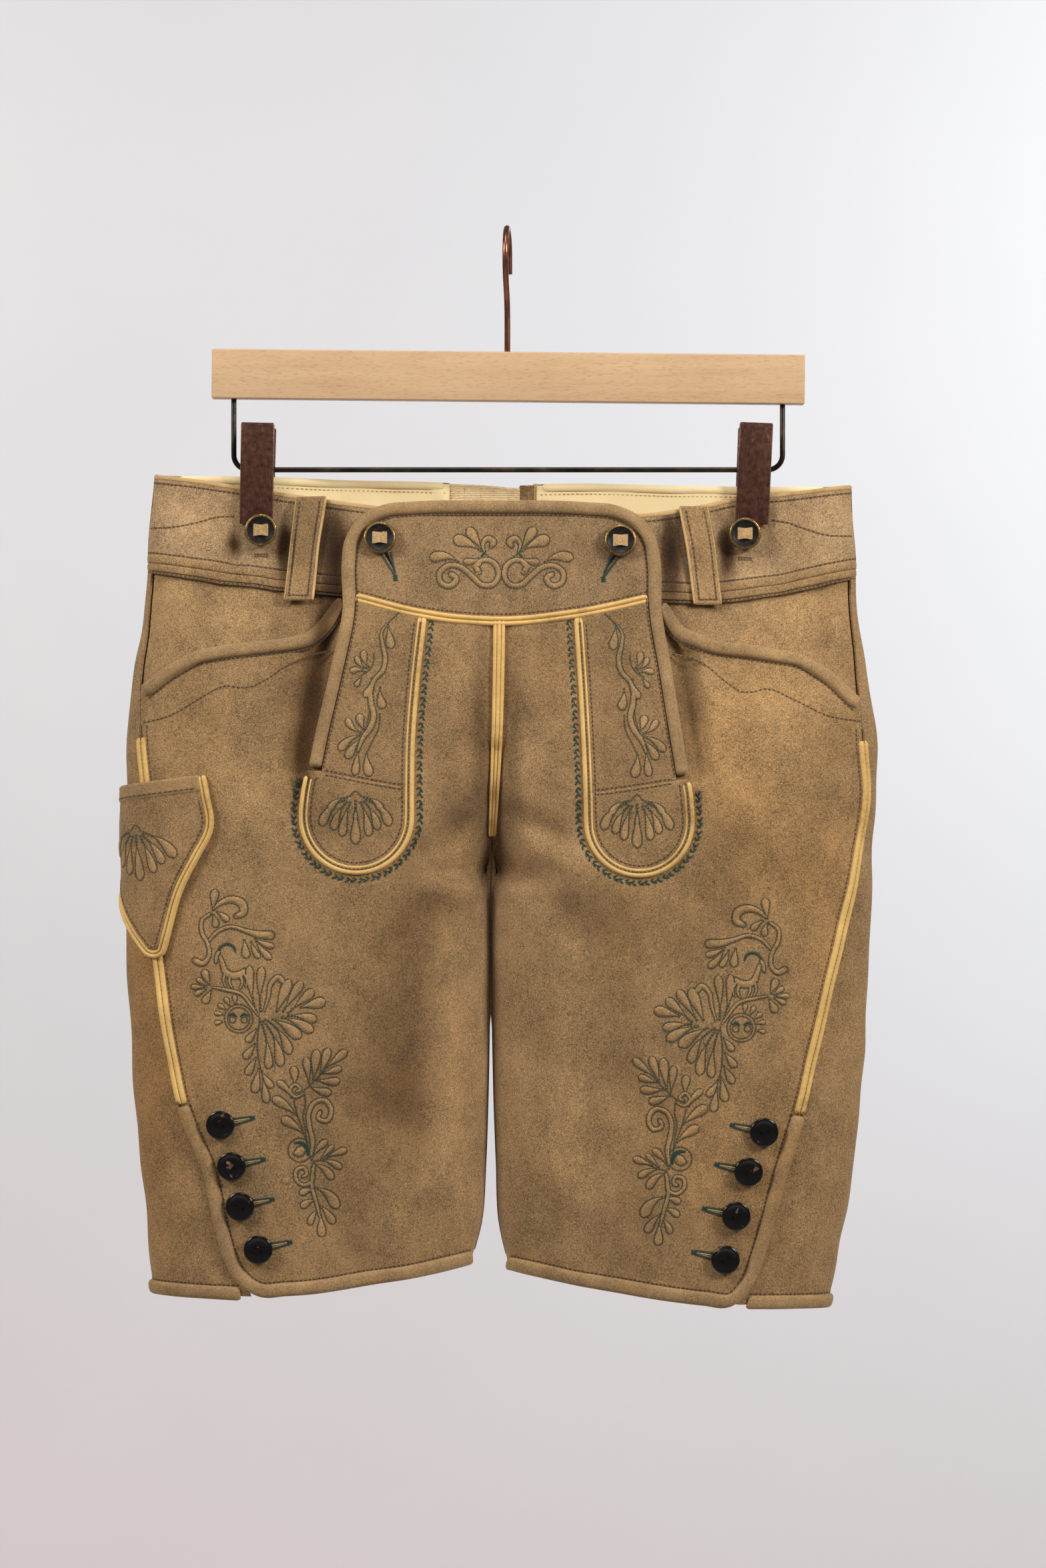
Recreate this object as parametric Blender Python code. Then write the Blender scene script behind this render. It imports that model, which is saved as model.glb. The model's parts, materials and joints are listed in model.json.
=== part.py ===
"""Short suede breeches with a drop front, hanging flat from a clip hanger.

Sizes are in millimetres and become metres when a mesh is made.  +Z is up and the front faces -Y.
The origin is the inside of the hook's crown, where the hanger rests on a rail.
Left and right are those of someone who looks at the front.
"""
import math

import bmesh
import bpy
import numpy as np
from mathutils import Matrix, Vector

MM = 0.001
LEFT = -1
RIGHT = 1
SIDES = {LEFT: "left", RIGHT: "right"}

# Clearances and cloth walls
SEAM_GAP = 0.3
LAY_GAP = 0.6
SUEDE = 1.6
BAND_WALL = 2.2
BACK_BAND_WALL = 1.8
FACING_WALL = 1.0
FACING_DEPTH = 0.8
STRIP_WALL = 1.2
PIPING_HEIGHT = 1.6
PIPING_WIDTH = 5.0
SIDE_PIPING_WIDTH = 6.6
BINDING_WIDTH = 8.2
BINDING_HEIGHT = 2.2

# The clips pinch the waist flat
CLIP_X = {LEFT: -161.5, RIGHT: 158.0}
CLIP_FRONT_DEPTH = 2.6
CLIP_BACK_DEPTH = 4.4
PINCH_FLAT = 17.0
PINCH_FADE = 24.0
PINCH_TOP = -195.0
PINCH_END = -272.0

# Where the legs part, and the least depth of the cloth just above
CROTCH = -425.0
CENTRE_DEPTH = 2.4

# The drop front stands on the leg panels by its own wall
FLAP_TOP_FACE = LAY_GAP + SUEDE
FLAP_END = -360.0
FLAP_DROP_START = -366.0
FLAP_DROP_END = -388.0
FLAP_BINDING_WIDTH = 8.6
FLAP_BINDING_HEIGHT = 3.6
FLAP_YOKE_TOP = -185.2


def smooth(keys, values, key):
    """Read a curve through the rows of a table, without corners."""
    key = np.clip(key, keys[0], keys[-1])
    row = np.clip(np.searchsorted(keys, key, side="right") - 1, 0, len(keys) - 2)
    slope = np.gradient(values, keys)
    step = keys[row + 1] - keys[row]
    t = (key - keys[row]) / step
    rise = values[row + 1] - values[row]
    start = slope[row] * step
    end = slope[row + 1] * step
    return values[row] + t * (start + t * (3 * rise - 2 * start - end + t * (start + end - 2 * rise)))


class Table:
    """Short rows of sizes with named columns, read by the first column."""

    def __init__(self, columns, rows):
        self.columns = columns
        self.data = np.array(sorted(rows), float)

    def at(self, name, key):
        return smooth(self.data[:, 0], self.data[:, self.columns.index(name)], key)

    def straight(self, name, key):
        return np.interp(key, self.data[:, 0], self.data[:, self.columns.index(name)])


# Outline and depth of the form, at heights from the waist to the hems.
# round_out and round_in are how far from the side fold and from the inner edge the full depth lies;
# valley is 0 where the front runs level across the middle and 1 where the legs are apart.
SECTIONS = Table(
    ("z", "outer_left", "inner_left", "inner_right", "outer_right",
     "front", "back", "round_out", "round_in", "valley"),
    (
        (-150, -227.0, -4.3, -3.7, 220.0, 11, 12, 28, 40, 0.00),
        (-200, -230.7, -4.6, -4.0, 223.9, 15, 16, 34, 40, 0.00),
        (-240, -233.5, -5.2, -4.6, 225.0, 21, 23, 44, 40, 0.00),
        (-280, -239.9, -5.7, -5.1, 230.9, 27, 31, 58, 42, 0.00),
        (-320, -245.0, -6.6, -6.0, 238.0, 31, 37, 72, 45, 0.06),
        (-360, -245.2, -8.4, -7.8, 237.6, 34, 40, 84, 50, 0.26),
        (-400, -245.3, -10.3, -9.7, 235.7, 35, 41, 90, 56, 0.72),
        (-425, -245.6, -11.2, -10.2, 234.9, 35, 40, 92, 62, 1.00),
        (-480, -244.9, -11.4, -10.0, 232.6, 35, 37, 95, 70, 1.00),
        (-520, -242.7, -11.8, -9.4, 230.7, 34, 35, 95, 75, 1.00),
        (-560, -240.2, -12.6, -8.5, 227.7, 33, 34, 92, 78, 1.00),
        (-600, -236.1, -14.0, -7.0, 223.4, 32, 32, 88, 78, 1.00),
        (-640, -232.6, -17.0, -5.0, 217.2, 31, 31, 85, 76, 1.00),
        (-665, -229.8, -23.5, 0.5, 212.5, 30, 30, 82, 74, 1.00),
        (-700, -226.5, -31.0, 8.0, 204.0, 29, 29, 80, 72, 1.00),
    ))

# The seam between the front and back panels, which comes forward to the leg placket
SIDE_SEAM = Table(
    ("z", "left", "right"),
    (
        (-210, -228.0, 220.0),
        (-240, -230.5, 221.0),
        (-283, -234.6, 225.0),
        (-327, -235.0, 227.8),
        (-362, -231.4, 230.0),
        (-408, -228.5, 223.8),
        (-454, -225.3, 213.5),
        (-496, -219.9, 203.2),
        (-530, -214.5, 195.5),
        (-565, -206.5, 187.0),
        (-602, -191.1, 175.8),
        (-638, -183.0, 165.8),
        (-664, -174.8, 158.0),
        (-678, -166.2, 151.8),
        (-695, -158.0, 143.0),
    ))
SIDE_PIPING_ENDS = {LEFT: (-327.0, -561.0), RIGHT: (-329.0, -567.0)}
PLACKET_TOP = {LEFT: -566.0, RIGHT: -572.0}

# Top and bottom of the waistband, in front and behind
WAIST = Table(
    ("x", "front_top", "front_bottom", "back_top", "back_bottom"),
    (
        (-230, -157.6, -213.7, -157.6, -213.7),
        (-172, -165.1, -221.5, -158.8, -214.8),
        (-143, -169.8, -225.0, -159.6, -215.2),
        (-104, -176.0, -229.2, -160.5, -216.0),
        (-60, -181.0, -231.0, -161.3, -217.0),
        (-4, -181.5, -231.8, -163.4, -218.0),
        (50, -182.0, -232.4, -162.6, -218.4),
        (88, -183.5, -233.0, -163.5, -219.0),
        (127, -177.2, -233.4, -164.8, -220.0),
        (146, -172.9, -232.0, -165.3, -220.4),
        (185, -168.8, -225.5, -165.3, -220.0),
        (222, -164.5, -217.8, -164.5, -217.8),
    ))

# Upper edge of the leg panels: the slanted pocket mouths, then the waist seam under the flap
FRONT_TOP = {
    LEFT: Table(("x", "z"), (
        (-237.0, -299.5), (-232.9, -293.3), (-219.5, -281.7), (-199.7, -271.3), (-178.7, -267.9),
        (-158.9, -265.3), (-129.2, -261.9), (-119.3, -253.7), (-114.2, -243.5), (-108.0, -236.0),
        (-98.0, -230.6), (0.0, -232.4))),
    RIGHT: Table(("x", "z"), (
        (-10.0, -232.4), (92.0, -234.0), (101.7, -239.0), (111.6, -257.1), (131.4, -265.3),
        (155.9, -267.9), (189.0, -273.5), (210.5, -286.8), (226.0, -302.3), (232.0, -310.0))),
}
POCKET_MOUTH_X = {LEFT: (-233.0, -111.5), RIGHT: (104.5, 224.5)}
POCKET_EDGE_WIDTH = 5.2
POCKET_EDGE_HEIGHT = 2.0
POCKET_UNDERLAP = 12.0
POCKET_FACING_LEVEL = -250.0
POCKET_FACING_END = {LEFT: -80.0, RIGHT: 75.0}

# Lower edge of the leg panels; the hem binding hangs a little below it
FRONT_HEM = {
    LEFT: Table(("x", "z"), (
        (-166.0, -681.2), (-133.5, -679.9), (-85.0, -672.9), (-24.0, -662.4))),
    RIGHT: Table(("x", "z"), (
        (0.0, -665.2), (59.4, -676.1), (85.0, -680.7), (105.0, -683.8), (132.0, -686.8), (152.0, -687.0))),
}
BACK_HEM = {
    LEFT: {"seam": -683.4, "fold": -681.0, "inner": -662.6},
    RIGHT: {"seam": -688.6, "fold": -690.0, "inner": -665.6},
}
HEM_CORNER_RADIUS = 9.0
HEM_END_STOP = 5.0

# Inner edge of the flap's binding, down both sides
FLAP_SIDE = Table(
    ("z", "left", "right"),
    (
        (-185.2, -70.0, 61.0),
        (-190.0, -83.6, 75.0),
        (-196.0, -90.8, 82.6),
        (-203.0, -94.4, 86.6),
        (-215.0, -96.4, 88.8),
        (-245.0, -96.2, 89.4),
        (-284.0, -103.4, 95.6),
        (-325.0, -112.8, 102.2),
        (-361.0, -120.4, 108.6),
    ))
FLAP_BINDING_PATH = (
    (-122.3, -346.0), (-118.0, -325.0), (-108.6, -284.0), (-101.2, -245.0), (-101.6, -215.0),
    (-99.8, -201.0), (-92.5, -189.0), (-79.0, -181.6), (-60.0, -179.6), (-4.0, -178.8),
    (51.0, -180.0), (70.0, -182.2), (84.5, -190.0), (91.8, -202.0), (94.0, -215.0),
    (94.6, -245.0), (100.8, -284.0), (107.3, -325.0), (111.6, -351.0))
YOKE_SEAM = Table(
    ("x", "z"),
    ((-97.0, -237.6), (-57.0, -247.7), (-4.9, -252.8), (42.8, -248.4), (90.0, -238.4)))
STRIP_BOTTOM = Table(
    ("x", "z"),
    ((-120.0, -348.4), (-66.0, -358.4), (54.0, -362.0), (110.0, -354.0)))

# The piping that runs down the inner edge of each strip and round its lobe
U_PIPING = {
    LEFT: {
        "inner": Table(("z", "x"), ((-249.0, -54.4), (-285.0, -58.5), (-324.0, -61.7), (-377.6, -62.6))),
        "outer": Table(("z", "x"), ((-352.0, -126.2), (-365.0, -128.6), (-377.6, -129.6))),
        "top": -253.6, "centre": (-96.1, -377.6), "radius": 33.5, "end": -357.0},
    RIGHT: {
        "inner": Table(("z", "x"), ((-249.0, 45.6), (-300.0, 49.0), (-349.0, 51.4), (-381.0, 52.3))),
        "outer": Table(("z", "x"), ((-352.0, 113.2), (-366.0, 115.4), (-381.0, 116.3))),
        "top": -254.0, "centre": (84.3, -381.0), "radius": 32.0, "end": -361.0},
}
CENTRE_PIPING = Table(("z", "width"), ((-257.0, 7.4), (-330.0, 6.6), (-366.0, 5.4), (-386.0, 3.6)))

# Knife pocket: a shield whose middle line lies at arc length axis from the side fold
KNIFE_POCKET = Table(
    ("z", "axis", "half_width"),
    (
        (-350.0, 20.0, 40.5),
        (-364.0, 20.0, 43.5),
        (-384.0, 20.5, 45.5),
        (-400.0, 21.5, 36.5),
        (-424.0, 23.5, 22.5),
        (-450.0, 28.5, 9.5),
        (-460.0, 31.0, 4.0),
        (-464.0, 32.0, 1.5),
    ))
KNIFE_TOP = -357.0
KNIFE_TOP_SLOPE = 0.12
KNIFE_TIP = -462.0
KNIFE_BAND = 8.6
KNIFE_LIFT = LAY_GAP + PIPING_HEIGHT + LAY_GAP
KNIFE_PIPING_WIDTH = 4.2

# Belt loops: centre line and width
BELT_LOOPS = {
    LEFT: {"top": (-125.4, -172.4), "bottom": (-133.6, -239.0), "width": 18.0},
    RIGHT: {"top": (119.0, -178.8), "bottom": (128.4, -241.6), "width": 16.6},
}
BELT_LOOP_WALL = 2.0
BELT_LOOP_LIFTS = (1.6, 2.6, 3.2, 3.0, 2.2, 1.2)

# Centre back adjuster, between the ends of the back waistband
ADJUSTER = (
    ("adjuster_loops", -37.4, -17.4),
    ("adjuster_tab", -17.0, 8.0),
    ("adjuster_lap", 8.4, 18.8),
)
BACK_BAND_END = {LEFT: -37.8, RIGHT: 19.2}

# Buttons, as sizes of a turned profile
LEG_BUTTON = {"radius": 9.2, "shank_radius": 2.2, "thick": 3.6, "dish": 0.8}
WAIST_BUTTON = {"radius": 10.4, "shank_radius": 1.6, "thick": 4.2, "dish": 1.4}
BUTTON_STANDOFF = 0.8
SEWN_SHANK = 1.0
BRACE_SHANK = 2.4
THONG = (9.6, 7.6, 1.4)
THONG_SINK = 0.3
LEG_BUTTONS = {
    LEFT: ((-182.4, -574.0), (-175.4, -600.4), (-170.0, -626.0), (-158.6, -653.4)),
    RIGHT: ((163.4, -578.6), (153.6, -603.8), (145.8, -632.0), (139.0, -659.8)),
}
WAIST_BUTTONS = (
    ("brace_button_left", -158.5, -193.1, 0.0, BRACE_SHANK),
    ("flap_button_left", -81.7, -199.3, FLAP_TOP_FACE, SEWN_SHANK),
    ("flap_button_right", 72.5, -201.2, FLAP_TOP_FACE, SEWN_SHANK),
    ("brace_button_right", 152.9, -195.4, 0.0, BRACE_SHANK),
)

# Hanger
HOOK_WIRE = 1.9
HOOK_INNER_RADIUS = 16.0
HOOK_TAIL = -26.0
HOOK_NECK = -58.0
BAR_SIZE = (381.8, 12.0, 31.8)
BAR_CENTRE = (0.65, 0.0, -94.1)
BAR_TILT = 0.58
BAR_BEVEL = 0.8
FRAME_WIRE = 1.7
FRAME_X = (-176.3, 177.4)
FRAME_Z = -153.9
FRAME_BEND = 9.5
CLIP_WIDTH = 21.6
CLIP_TOP = -125.2
CLIP_BOTTOM = -188.8
CLIP_PLATE = 1.2
CLIP_SPREAD = 13.0
CLIP_LEAN = {LEFT: 1.5, RIGHT: 2.6}
CLIP_ROWS = (-138.0, -146.0, -150.0, -157.8, -160.0, -176.0, CLIP_BOTTOM)
CLIP_BACK_DROP = 1.8
CLIP_EARS = (-158.0, -149.0)
CLIP_WIRE_GAP = 0.5
CLIP_RIM = 1.4
CLIP_JAW_RIM = 0.4

COLOURS = {
    "suede": ((150, 124, 85), 0.95, 0.0),
    "binding": ((168, 143, 104), 0.9, 0.0),
    "piping": ((222, 184, 108), 0.75, 0.0),
    "facing": ((228, 206, 150), 0.8, 0.0),
    "horn": ((22, 18, 16), 0.25, 0.0),
    "rimmed_horn": ((92, 66, 30), 0.35, 0.3),
    "beech": ((222, 178, 128), 0.55, 0.0),
    "bronze": ((50, 42, 34), 0.4, 1.0),
    "antique_copper": ((78, 50, 44), 0.45, 0.9),
    "copper": ((150, 90, 65), 0.3, 1.0),
}


# ---------------------------------------------------------------- the form

def side_column(side, edge):
    return edge + "_" + SIDES[side]


def quarter(t):
    """A quarter round: 0 at t = 0, 1 from t = 1 on."""
    return np.sqrt(np.clip(1 - (1 - np.clip(t, 0, 1)) ** 2, 0, 1))


def ease(t):
    t = np.clip(t, 0, 1)
    return t * t * (3 - 2 * t)


def pinch(side, x, z):
    """How much the clip on this side presses the form flat: 1 under the clip, 0 far from it."""
    away = np.maximum(0, np.abs(x - CLIP_X[side]) - PINCH_FLAT) / PINCH_FADE
    return np.exp(-away ** 2) * (1 - ease((PINCH_TOP - z) / (PINCH_TOP - PINCH_END)))


def depth(side, x, z, face):
    """Distance of the cloth's outer surface from the middle plane, in front or behind."""
    outer = SECTIONS.at(side_column(side, "outer"), z)
    inner = SECTIONS.at(side_column(side, "inner"), z)
    from_fold = side * (outer - x) / SECTIONS.at("round_out", z)
    from_inner = np.clip(side * (x - inner) / SECTIONS.at("round_in", z), 0, 1)
    valley = np.clip(SECTIONS.at("valley", z), 0, 1)
    closing = np.clip((valley - 0.85) / 0.15, 0, 1)
    inner_rise = (1 - closing) * np.sin(from_inner * math.pi / 2) ** 2 + closing * quarter(from_inner)
    full = SECTIONS.at(face, z)
    form = full * quarter(from_fold) * (1 - valley * (1 - inner_rise))
    least = CENTRE_DEPTH if z > CROTCH else 0.0
    form = np.where(from_inner < 1, np.maximum(form, least), form)
    flat = CLIP_FRONT_DEPTH if face == "front" else CLIP_BACK_DEPTH
    press = pinch(side, x, z) * quarter(from_fold)
    return form * (1 - press) + np.minimum(flat, form) * press


SECTION_POINTS = 90
section_store = {}


def section(side, z):
    """The cloth's outline at one height: from the inner edge in front, round the side fold, to the
    inner edge behind, with the arc length from the fold, which is positive in front."""
    key = (side, round(float(z), 4))
    if key not in section_store:
        outer = SECTIONS.at(side_column(side, "outer"), z)
        inner = SECTIONS.at(side_column(side, "inner"), z)
        share = (1 - np.cos(np.linspace(0, math.pi, SECTION_POINTS))) / 2
        x = inner + (outer - inner) * share
        front = np.column_stack((x, -depth(side, x, z, "front")))
        back = np.column_stack((x, depth(side, x, z, "back")))[::-1]
        outline = np.vstack((front, back[1:]))
        steps = np.linalg.norm(np.diff(outline, axis=0), axis=1)
        arc = np.concatenate(([0], np.cumsum(steps)))
        section_store[key] = (outline, arc[SECTION_POINTS - 1] - arc)
    return section_store[key]


def around(side, arc, z):
    """The point on the outer surface at an arc length from the side fold."""
    outline, arcs = section(side, z)
    x = np.interp(-arc, -arcs, outline[:, 0])
    y = np.interp(-arc, -arcs, outline[:, 1])
    return np.array((x, y, z))


def arc_of_front(side, x, z):
    """The arc length at which the front passes a given x."""
    outline, arcs = section(side, z)
    front_x = outline[:SECTION_POINTS, 0]
    return np.interp(side * x, side * front_x, arcs[:SECTION_POINTS])


def arc_of_back(side, x, z):
    outline, arcs = section(side, z)
    back_x = outline[SECTION_POINTS - 1:, 0][::-1]
    return np.interp(side * x, side * back_x, arcs[SECTION_POINTS - 1:][::-1])


def arc_ends(side, z):
    """The arc lengths of the inner edge in front and behind."""
    arcs = section(side, z)[1]
    return arcs[0], arcs[-1]


NORMAL_STEP = 0.8


def surface_around(side, arc, z):
    """A point of the surface and its outward normal, by arc length and height."""
    front_end, back_end = arc_ends(side, z)
    arc = np.clip(arc, back_end, front_end)
    along = around(side, arc + NORMAL_STEP, z) - around(side, arc - NORMAL_STEP, z)
    up = around(side, arc, z + NORMAL_STEP) - around(side, arc, z - NORMAL_STEP)
    normal = -side * np.cross(along, up)
    return around(side, arc, z), normal / np.linalg.norm(normal)


def front_depth(x, z, face="front"):
    middle = (SECTIONS.at("inner_left", z) + SECTIONS.at("inner_right", z)) / 2
    return float(depth(LEFT if x < middle else RIGHT, x, z, face))


FRONT_STEP = 2.0


def surface_front(x, z, face="front"):
    """A point of the front or the back and its outward normal, by x and height."""
    out = -1 if face == "front" else 1
    across = (front_depth(x + FRONT_STEP, z, face) - front_depth(x - FRONT_STEP, z, face)) / (2 * FRONT_STEP)
    down = (front_depth(x, z + FRONT_STEP, face) - front_depth(x, z - FRONT_STEP, face)) / (2 * FRONT_STEP)
    normal = np.array((-across, out, -down))
    return np.array((x, out * front_depth(x, z, face), z)), normal / np.linalg.norm(normal)


# ---------------------------------------------------------------- meshes and materials

def srgb_to_linear(value):
    value = value / 255
    return value / 12.92 if value <= 0.04045 else ((value + 0.055) / 1.055) ** 2.4


def material(name):
    found = bpy.data.materials.get(name)
    if found:
        return found
    colour, roughness, metallic = COLOURS[name]
    made = bpy.data.materials.new(name)
    made.use_nodes = True
    shader = made.node_tree.nodes["Principled BSDF"]
    shader.inputs["Base Color"].default_value = [srgb_to_linear(c) for c in colour] + [1]
    shader.inputs["Roughness"].default_value = roughness
    shader.inputs["Metallic"].default_value = metallic
    return made


def add_object(name, data, finish):
    made = bpy.data.objects.new(name, data)
    data.materials.append(material(finish))
    bpy.context.scene.collection.objects.link(made)
    return made


def add_bmesh(name, bm, finish, sharp_angle=40):
    bmesh.ops.recalc_face_normals(bm, faces=bm.faces)
    mesh = bpy.data.meshes.new(name)
    bm.to_mesh(mesh)
    bm.free()
    mesh.shade_smooth()
    mesh.set_sharp_from_angle(angle=math.radians(sharp_angle))
    return add_object(name, mesh, finish)


def cloth(name, grid, lift, wall, finish):
    """A closed sheet of cloth from rows of (point, normal), between lift and lift + wall.
    lift and wall are one number, or a number for each row and column."""
    rows = len(grid)
    columns = len(grid[0])
    lift = np.broadcast_to(lift, (rows, columns))
    wall = np.broadcast_to(wall, (rows, columns))
    bm = bmesh.new()
    layers = []
    for top in (0, 1):
        layers.append([[bm.verts.new(Vector(point + normal * (lift[r][c] + top * wall[r][c])) * MM)
                        for c, (point, normal) in enumerate(row)] for r, row in enumerate(grid)])
    for layer in layers:
        for r in range(rows - 1):
            for c in range(columns - 1):
                bm.faces.new((layer[r][c], layer[r][c + 1], layer[r + 1][c + 1], layer[r + 1][c]))
    rim = [(0, c) for c in range(columns)] + [(r, columns - 1) for r in range(1, rows)]
    rim += [(rows - 1, c) for c in range(columns - 2, -1, -1)] + [(r, 0) for r in range(rows - 2, 0, -1)]
    for (r0, c0), (r1, c1) in zip(rim, rim[1:] + rim[:1]):
        bm.faces.new((layers[0][r0][c0], layers[0][r1][c1], layers[1][r1][c1], layers[1][r0][c0]))
    return add_bmesh(name, bm, finish)


def settle(first_z, x_of_z, z_of_x, rounds=6):
    """The height on a line z(x) of a column whose x itself changes with height."""
    z = first_z
    for _ in range(rounds):
        z = float(z_of_x(x_of_z(z)))
    return z


def curve_through(points, spacing):
    """Even points on a smooth curve through a few given ones."""
    points = np.array(points, float)
    key = np.concatenate(([0], np.cumsum(np.linalg.norm(np.diff(points, axis=0), axis=1))))
    count = max(2, int(round(key[-1] / spacing)))
    read = np.linspace(0, key[-1], count + 1)
    return np.column_stack([smooth(key, points[:, i], read) for i in range(points.shape[1])])


RIBBON_ACROSS = np.array((-0.5, 0.0, 0.5))
RIBBON_PROFILE = np.array((0.5, 1.0, 0.5))


def ribbon(name, path, width, lift, height, finish, surface):
    """A piped or bound strip that follows a path on a surface, rounded across its width.
    width and lift are one number, or one for each point of the path."""
    path = np.array(path, float)
    width = np.broadcast_to(width, len(path))
    tangent = np.gradient(path, axis=0)
    tangent /= np.linalg.norm(tangent, axis=1)[:, None]
    beside = np.column_stack((-tangent[:, 1], tangent[:, 0]))
    grid = [[surface(*(path[i] + beside[i] * share * width[i])) for share in RIBBON_ACROSS]
            for i in range(len(path))]
    lifts = np.broadcast_to(np.reshape(lift, (-1, 1)), (len(path), len(RIBBON_ACROSS)))
    return cloth(name, grid, lifts, height * RIBBON_PROFILE[None, :].repeat(len(path), 0), finish)


def even(low, high, count):
    return np.linspace(low, high, count + 1)


def dense_ends(count):
    """Shares from 0 to 1, closer together at both ends."""
    return (1 - np.cos(np.linspace(0, math.pi, count + 1))) / 2


# ---------------------------------------------------------------- legs and seat

def seam_x(side, z):
    return float(SIDE_SEAM.at(SIDES[side], z))


def crotch_gap(z):
    """The seams stand a little wider where four panels meet."""
    return SEAM_GAP / 2 + 1.6 * math.exp(-((z - CROTCH) / 9.0) ** 2)


FRONT_COLUMNS = 12
FRONT_ROWS = even(0, 1, 11)


def front_columns(side):
    """Each column of the leg front: its x at any height, and the heights of its two ends."""
    columns = []
    for share in dense_ends(FRONT_COLUMNS):
        def x_at(z, share=share):
            inner = float(SECTIONS.at(side_column(side, "inner"), z))
            return seam_x(side, z) + (inner - seam_x(side, z)) * share
        top = settle(-260.0, x_at, lambda x: FRONT_TOP[side].straight("z", x)) - SEAM_GAP
        hem = settle(-675.0, x_at, lambda x: FRONT_HEM[side].at("z", x))
        columns.append((x_at, top, hem))
    return columns


def front_panel(side):
    """Leg front, from the side seam to the centre front seam and the inner leg."""
    grid = []
    columns = front_columns(side)
    for row in FRONT_ROWS:
        line = []
        for x_at, top, hem in columns:
            z = top + (hem - top) * row
            seam_arc = arc_of_front(side, seam_x(side, z), z) + SEAM_GAP / 2
            edge_arc = arc_ends(side, z)[0] - crotch_gap(z)
            arc = np.clip(arc_of_front(side, x_at(z), z), seam_arc, edge_arc)
            line.append(surface_around(side, arc, z))
        grid.append(line)
    return cloth("front_" + SIDES[side], grid, -SUEDE, SUEDE, "suede")


BACK_WRAP_COLUMNS = 4
BACK_COLUMNS = 11
BACK_UPPER_ROWS = 3


def back_hem(side, arc, z):
    """Lower edge of the back panel, by arc length."""
    ends = BACK_HEM[side]
    if arc >= 0:
        share = arc / arc_of_front(side, seam_x(side, z), z)
        return ends["fold"] + (ends["seam"] - ends["fold"]) * share
    return ends["fold"] + (ends["inner"] - ends["fold"]) * ease(arc / arc_ends(side, z)[1])


def back_panel(side):
    """Leg back: it starts at the side seam in front, goes round the fold and ends at the seat seam.
    Its rows meet those of the leg front along the side seam."""
    places = [("wrap", share) for share in np.sin(even(0, 1, BACK_WRAP_COLUMNS)[:-1] * math.pi / 2)]
    places += [("back", share) for share in dense_ends(BACK_COLUMNS)]
    columns = []
    for zone, share in places:
        def arc_at(z, zone=zone, share=share):
            if zone == "wrap":
                return (arc_of_front(side, seam_x(side, z), z) - SEAM_GAP / 2) * (1 - share)
            return (arc_ends(side, z)[1] + crotch_gap(z)) * share
        top = -216.0
        hem = -680.0
        edge = "front_bottom" if zone == "wrap" else "back_bottom"
        for _ in range(6):
            top = float(WAIST.at(edge, around(side, arc_at(top), top)[0])) - 2 * SEAM_GAP
            hem = back_hem(side, arc_at(hem), hem)
        columns.append((arc_at, top, hem))
    seam_top, seam_hem = columns[0][1:]
    front_top, front_hem = front_columns(side)[0][1:]
    heights = front_top + (front_hem - front_top) * FRONT_ROWS
    heights = np.concatenate((np.linspace(seam_top, front_top, BACK_UPPER_ROWS)[:-1], heights))
    rows = (heights - seam_top) / (seam_hem - seam_top)
    rows[-1] = 1
    grid = []
    for row in rows:
        line = []
        for arc_at, top, hem in columns:
            z = top + (hem - top) * row
            line.append(surface_around(side, arc_at(z), z))
        grid.append(line)
    return cloth("back_" + SIDES[side], grid, -SUEDE, SUEDE, "suede")


def pocket_facing(side):
    """The side piece that shows above the slanted pocket mouth; it runs on behind the leg front."""
    columns = [column for column in front_columns(side)
               if side * column[0](POCKET_FACING_LEVEL) > side * POCKET_FACING_END[side]]
    grid = []
    for row in even(0, 1, 3):
        line = []
        for x_at, mouth, _ in columns:
            top = float(WAIST.at("front_bottom", x_at(POCKET_FACING_LEVEL))) - LAY_GAP
            z = top + (mouth - POCKET_UNDERLAP - top) * row
            seam_arc = arc_of_front(side, seam_x(side, z), z) + SEAM_GAP / 2
            line.append(surface_around(side, max(arc_of_front(side, x_at(z), z), seam_arc), z))
        grid.append(line)
    return cloth("pocket_facing_" + SIDES[side], grid, -2 * SUEDE - FACING_DEPTH, SUEDE, "suede")


def pocket_edge(side):
    """Rolled edge along the pocket mouth."""
    low, high = POCKET_MOUTH_X[side]
    xs = even(low, high, 12)
    mouth = [(x, float(FRONT_TOP[side].straight("z", x)) - POCKET_EDGE_WIDTH / 2) for x in xs]
    path = curve_through(mouth, 11.0)
    return ribbon("pocket_edge_" + SIDES[side], path, POCKET_EDGE_WIDTH, LAY_GAP, POCKET_EDGE_HEIGHT,
                  "binding", surface_front)


# ---------------------------------------------------------------- waistband

BAND_ROWS = even(0, 1, 3)
BAND_MIDDLE = -190.0


def waistband_front(side):
    grid = []
    for row in BAND_ROWS:
        line = []
        for share in dense_ends(14):
            start = SEAM_GAP / 2
            arc = start + (arc_ends(side, BAND_MIDDLE)[0] - start) * share
            x = around(side, arc, BAND_MIDDLE)[0]
            top = float(WAIST.at("front_top", x))
            bottom = float(WAIST.at("front_bottom", x))
            z = top + (bottom - top) * row
            if share == 0:
                line.append(surface_around(side, SEAM_GAP / 2, z))
            else:
                line.append(surface_around(side, arc_of_front(side, x, z), z))
        grid.append(line)
    return cloth("waistband_front_" + SIDES[side], grid, -BAND_WALL, BAND_WALL, "suede")


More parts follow.
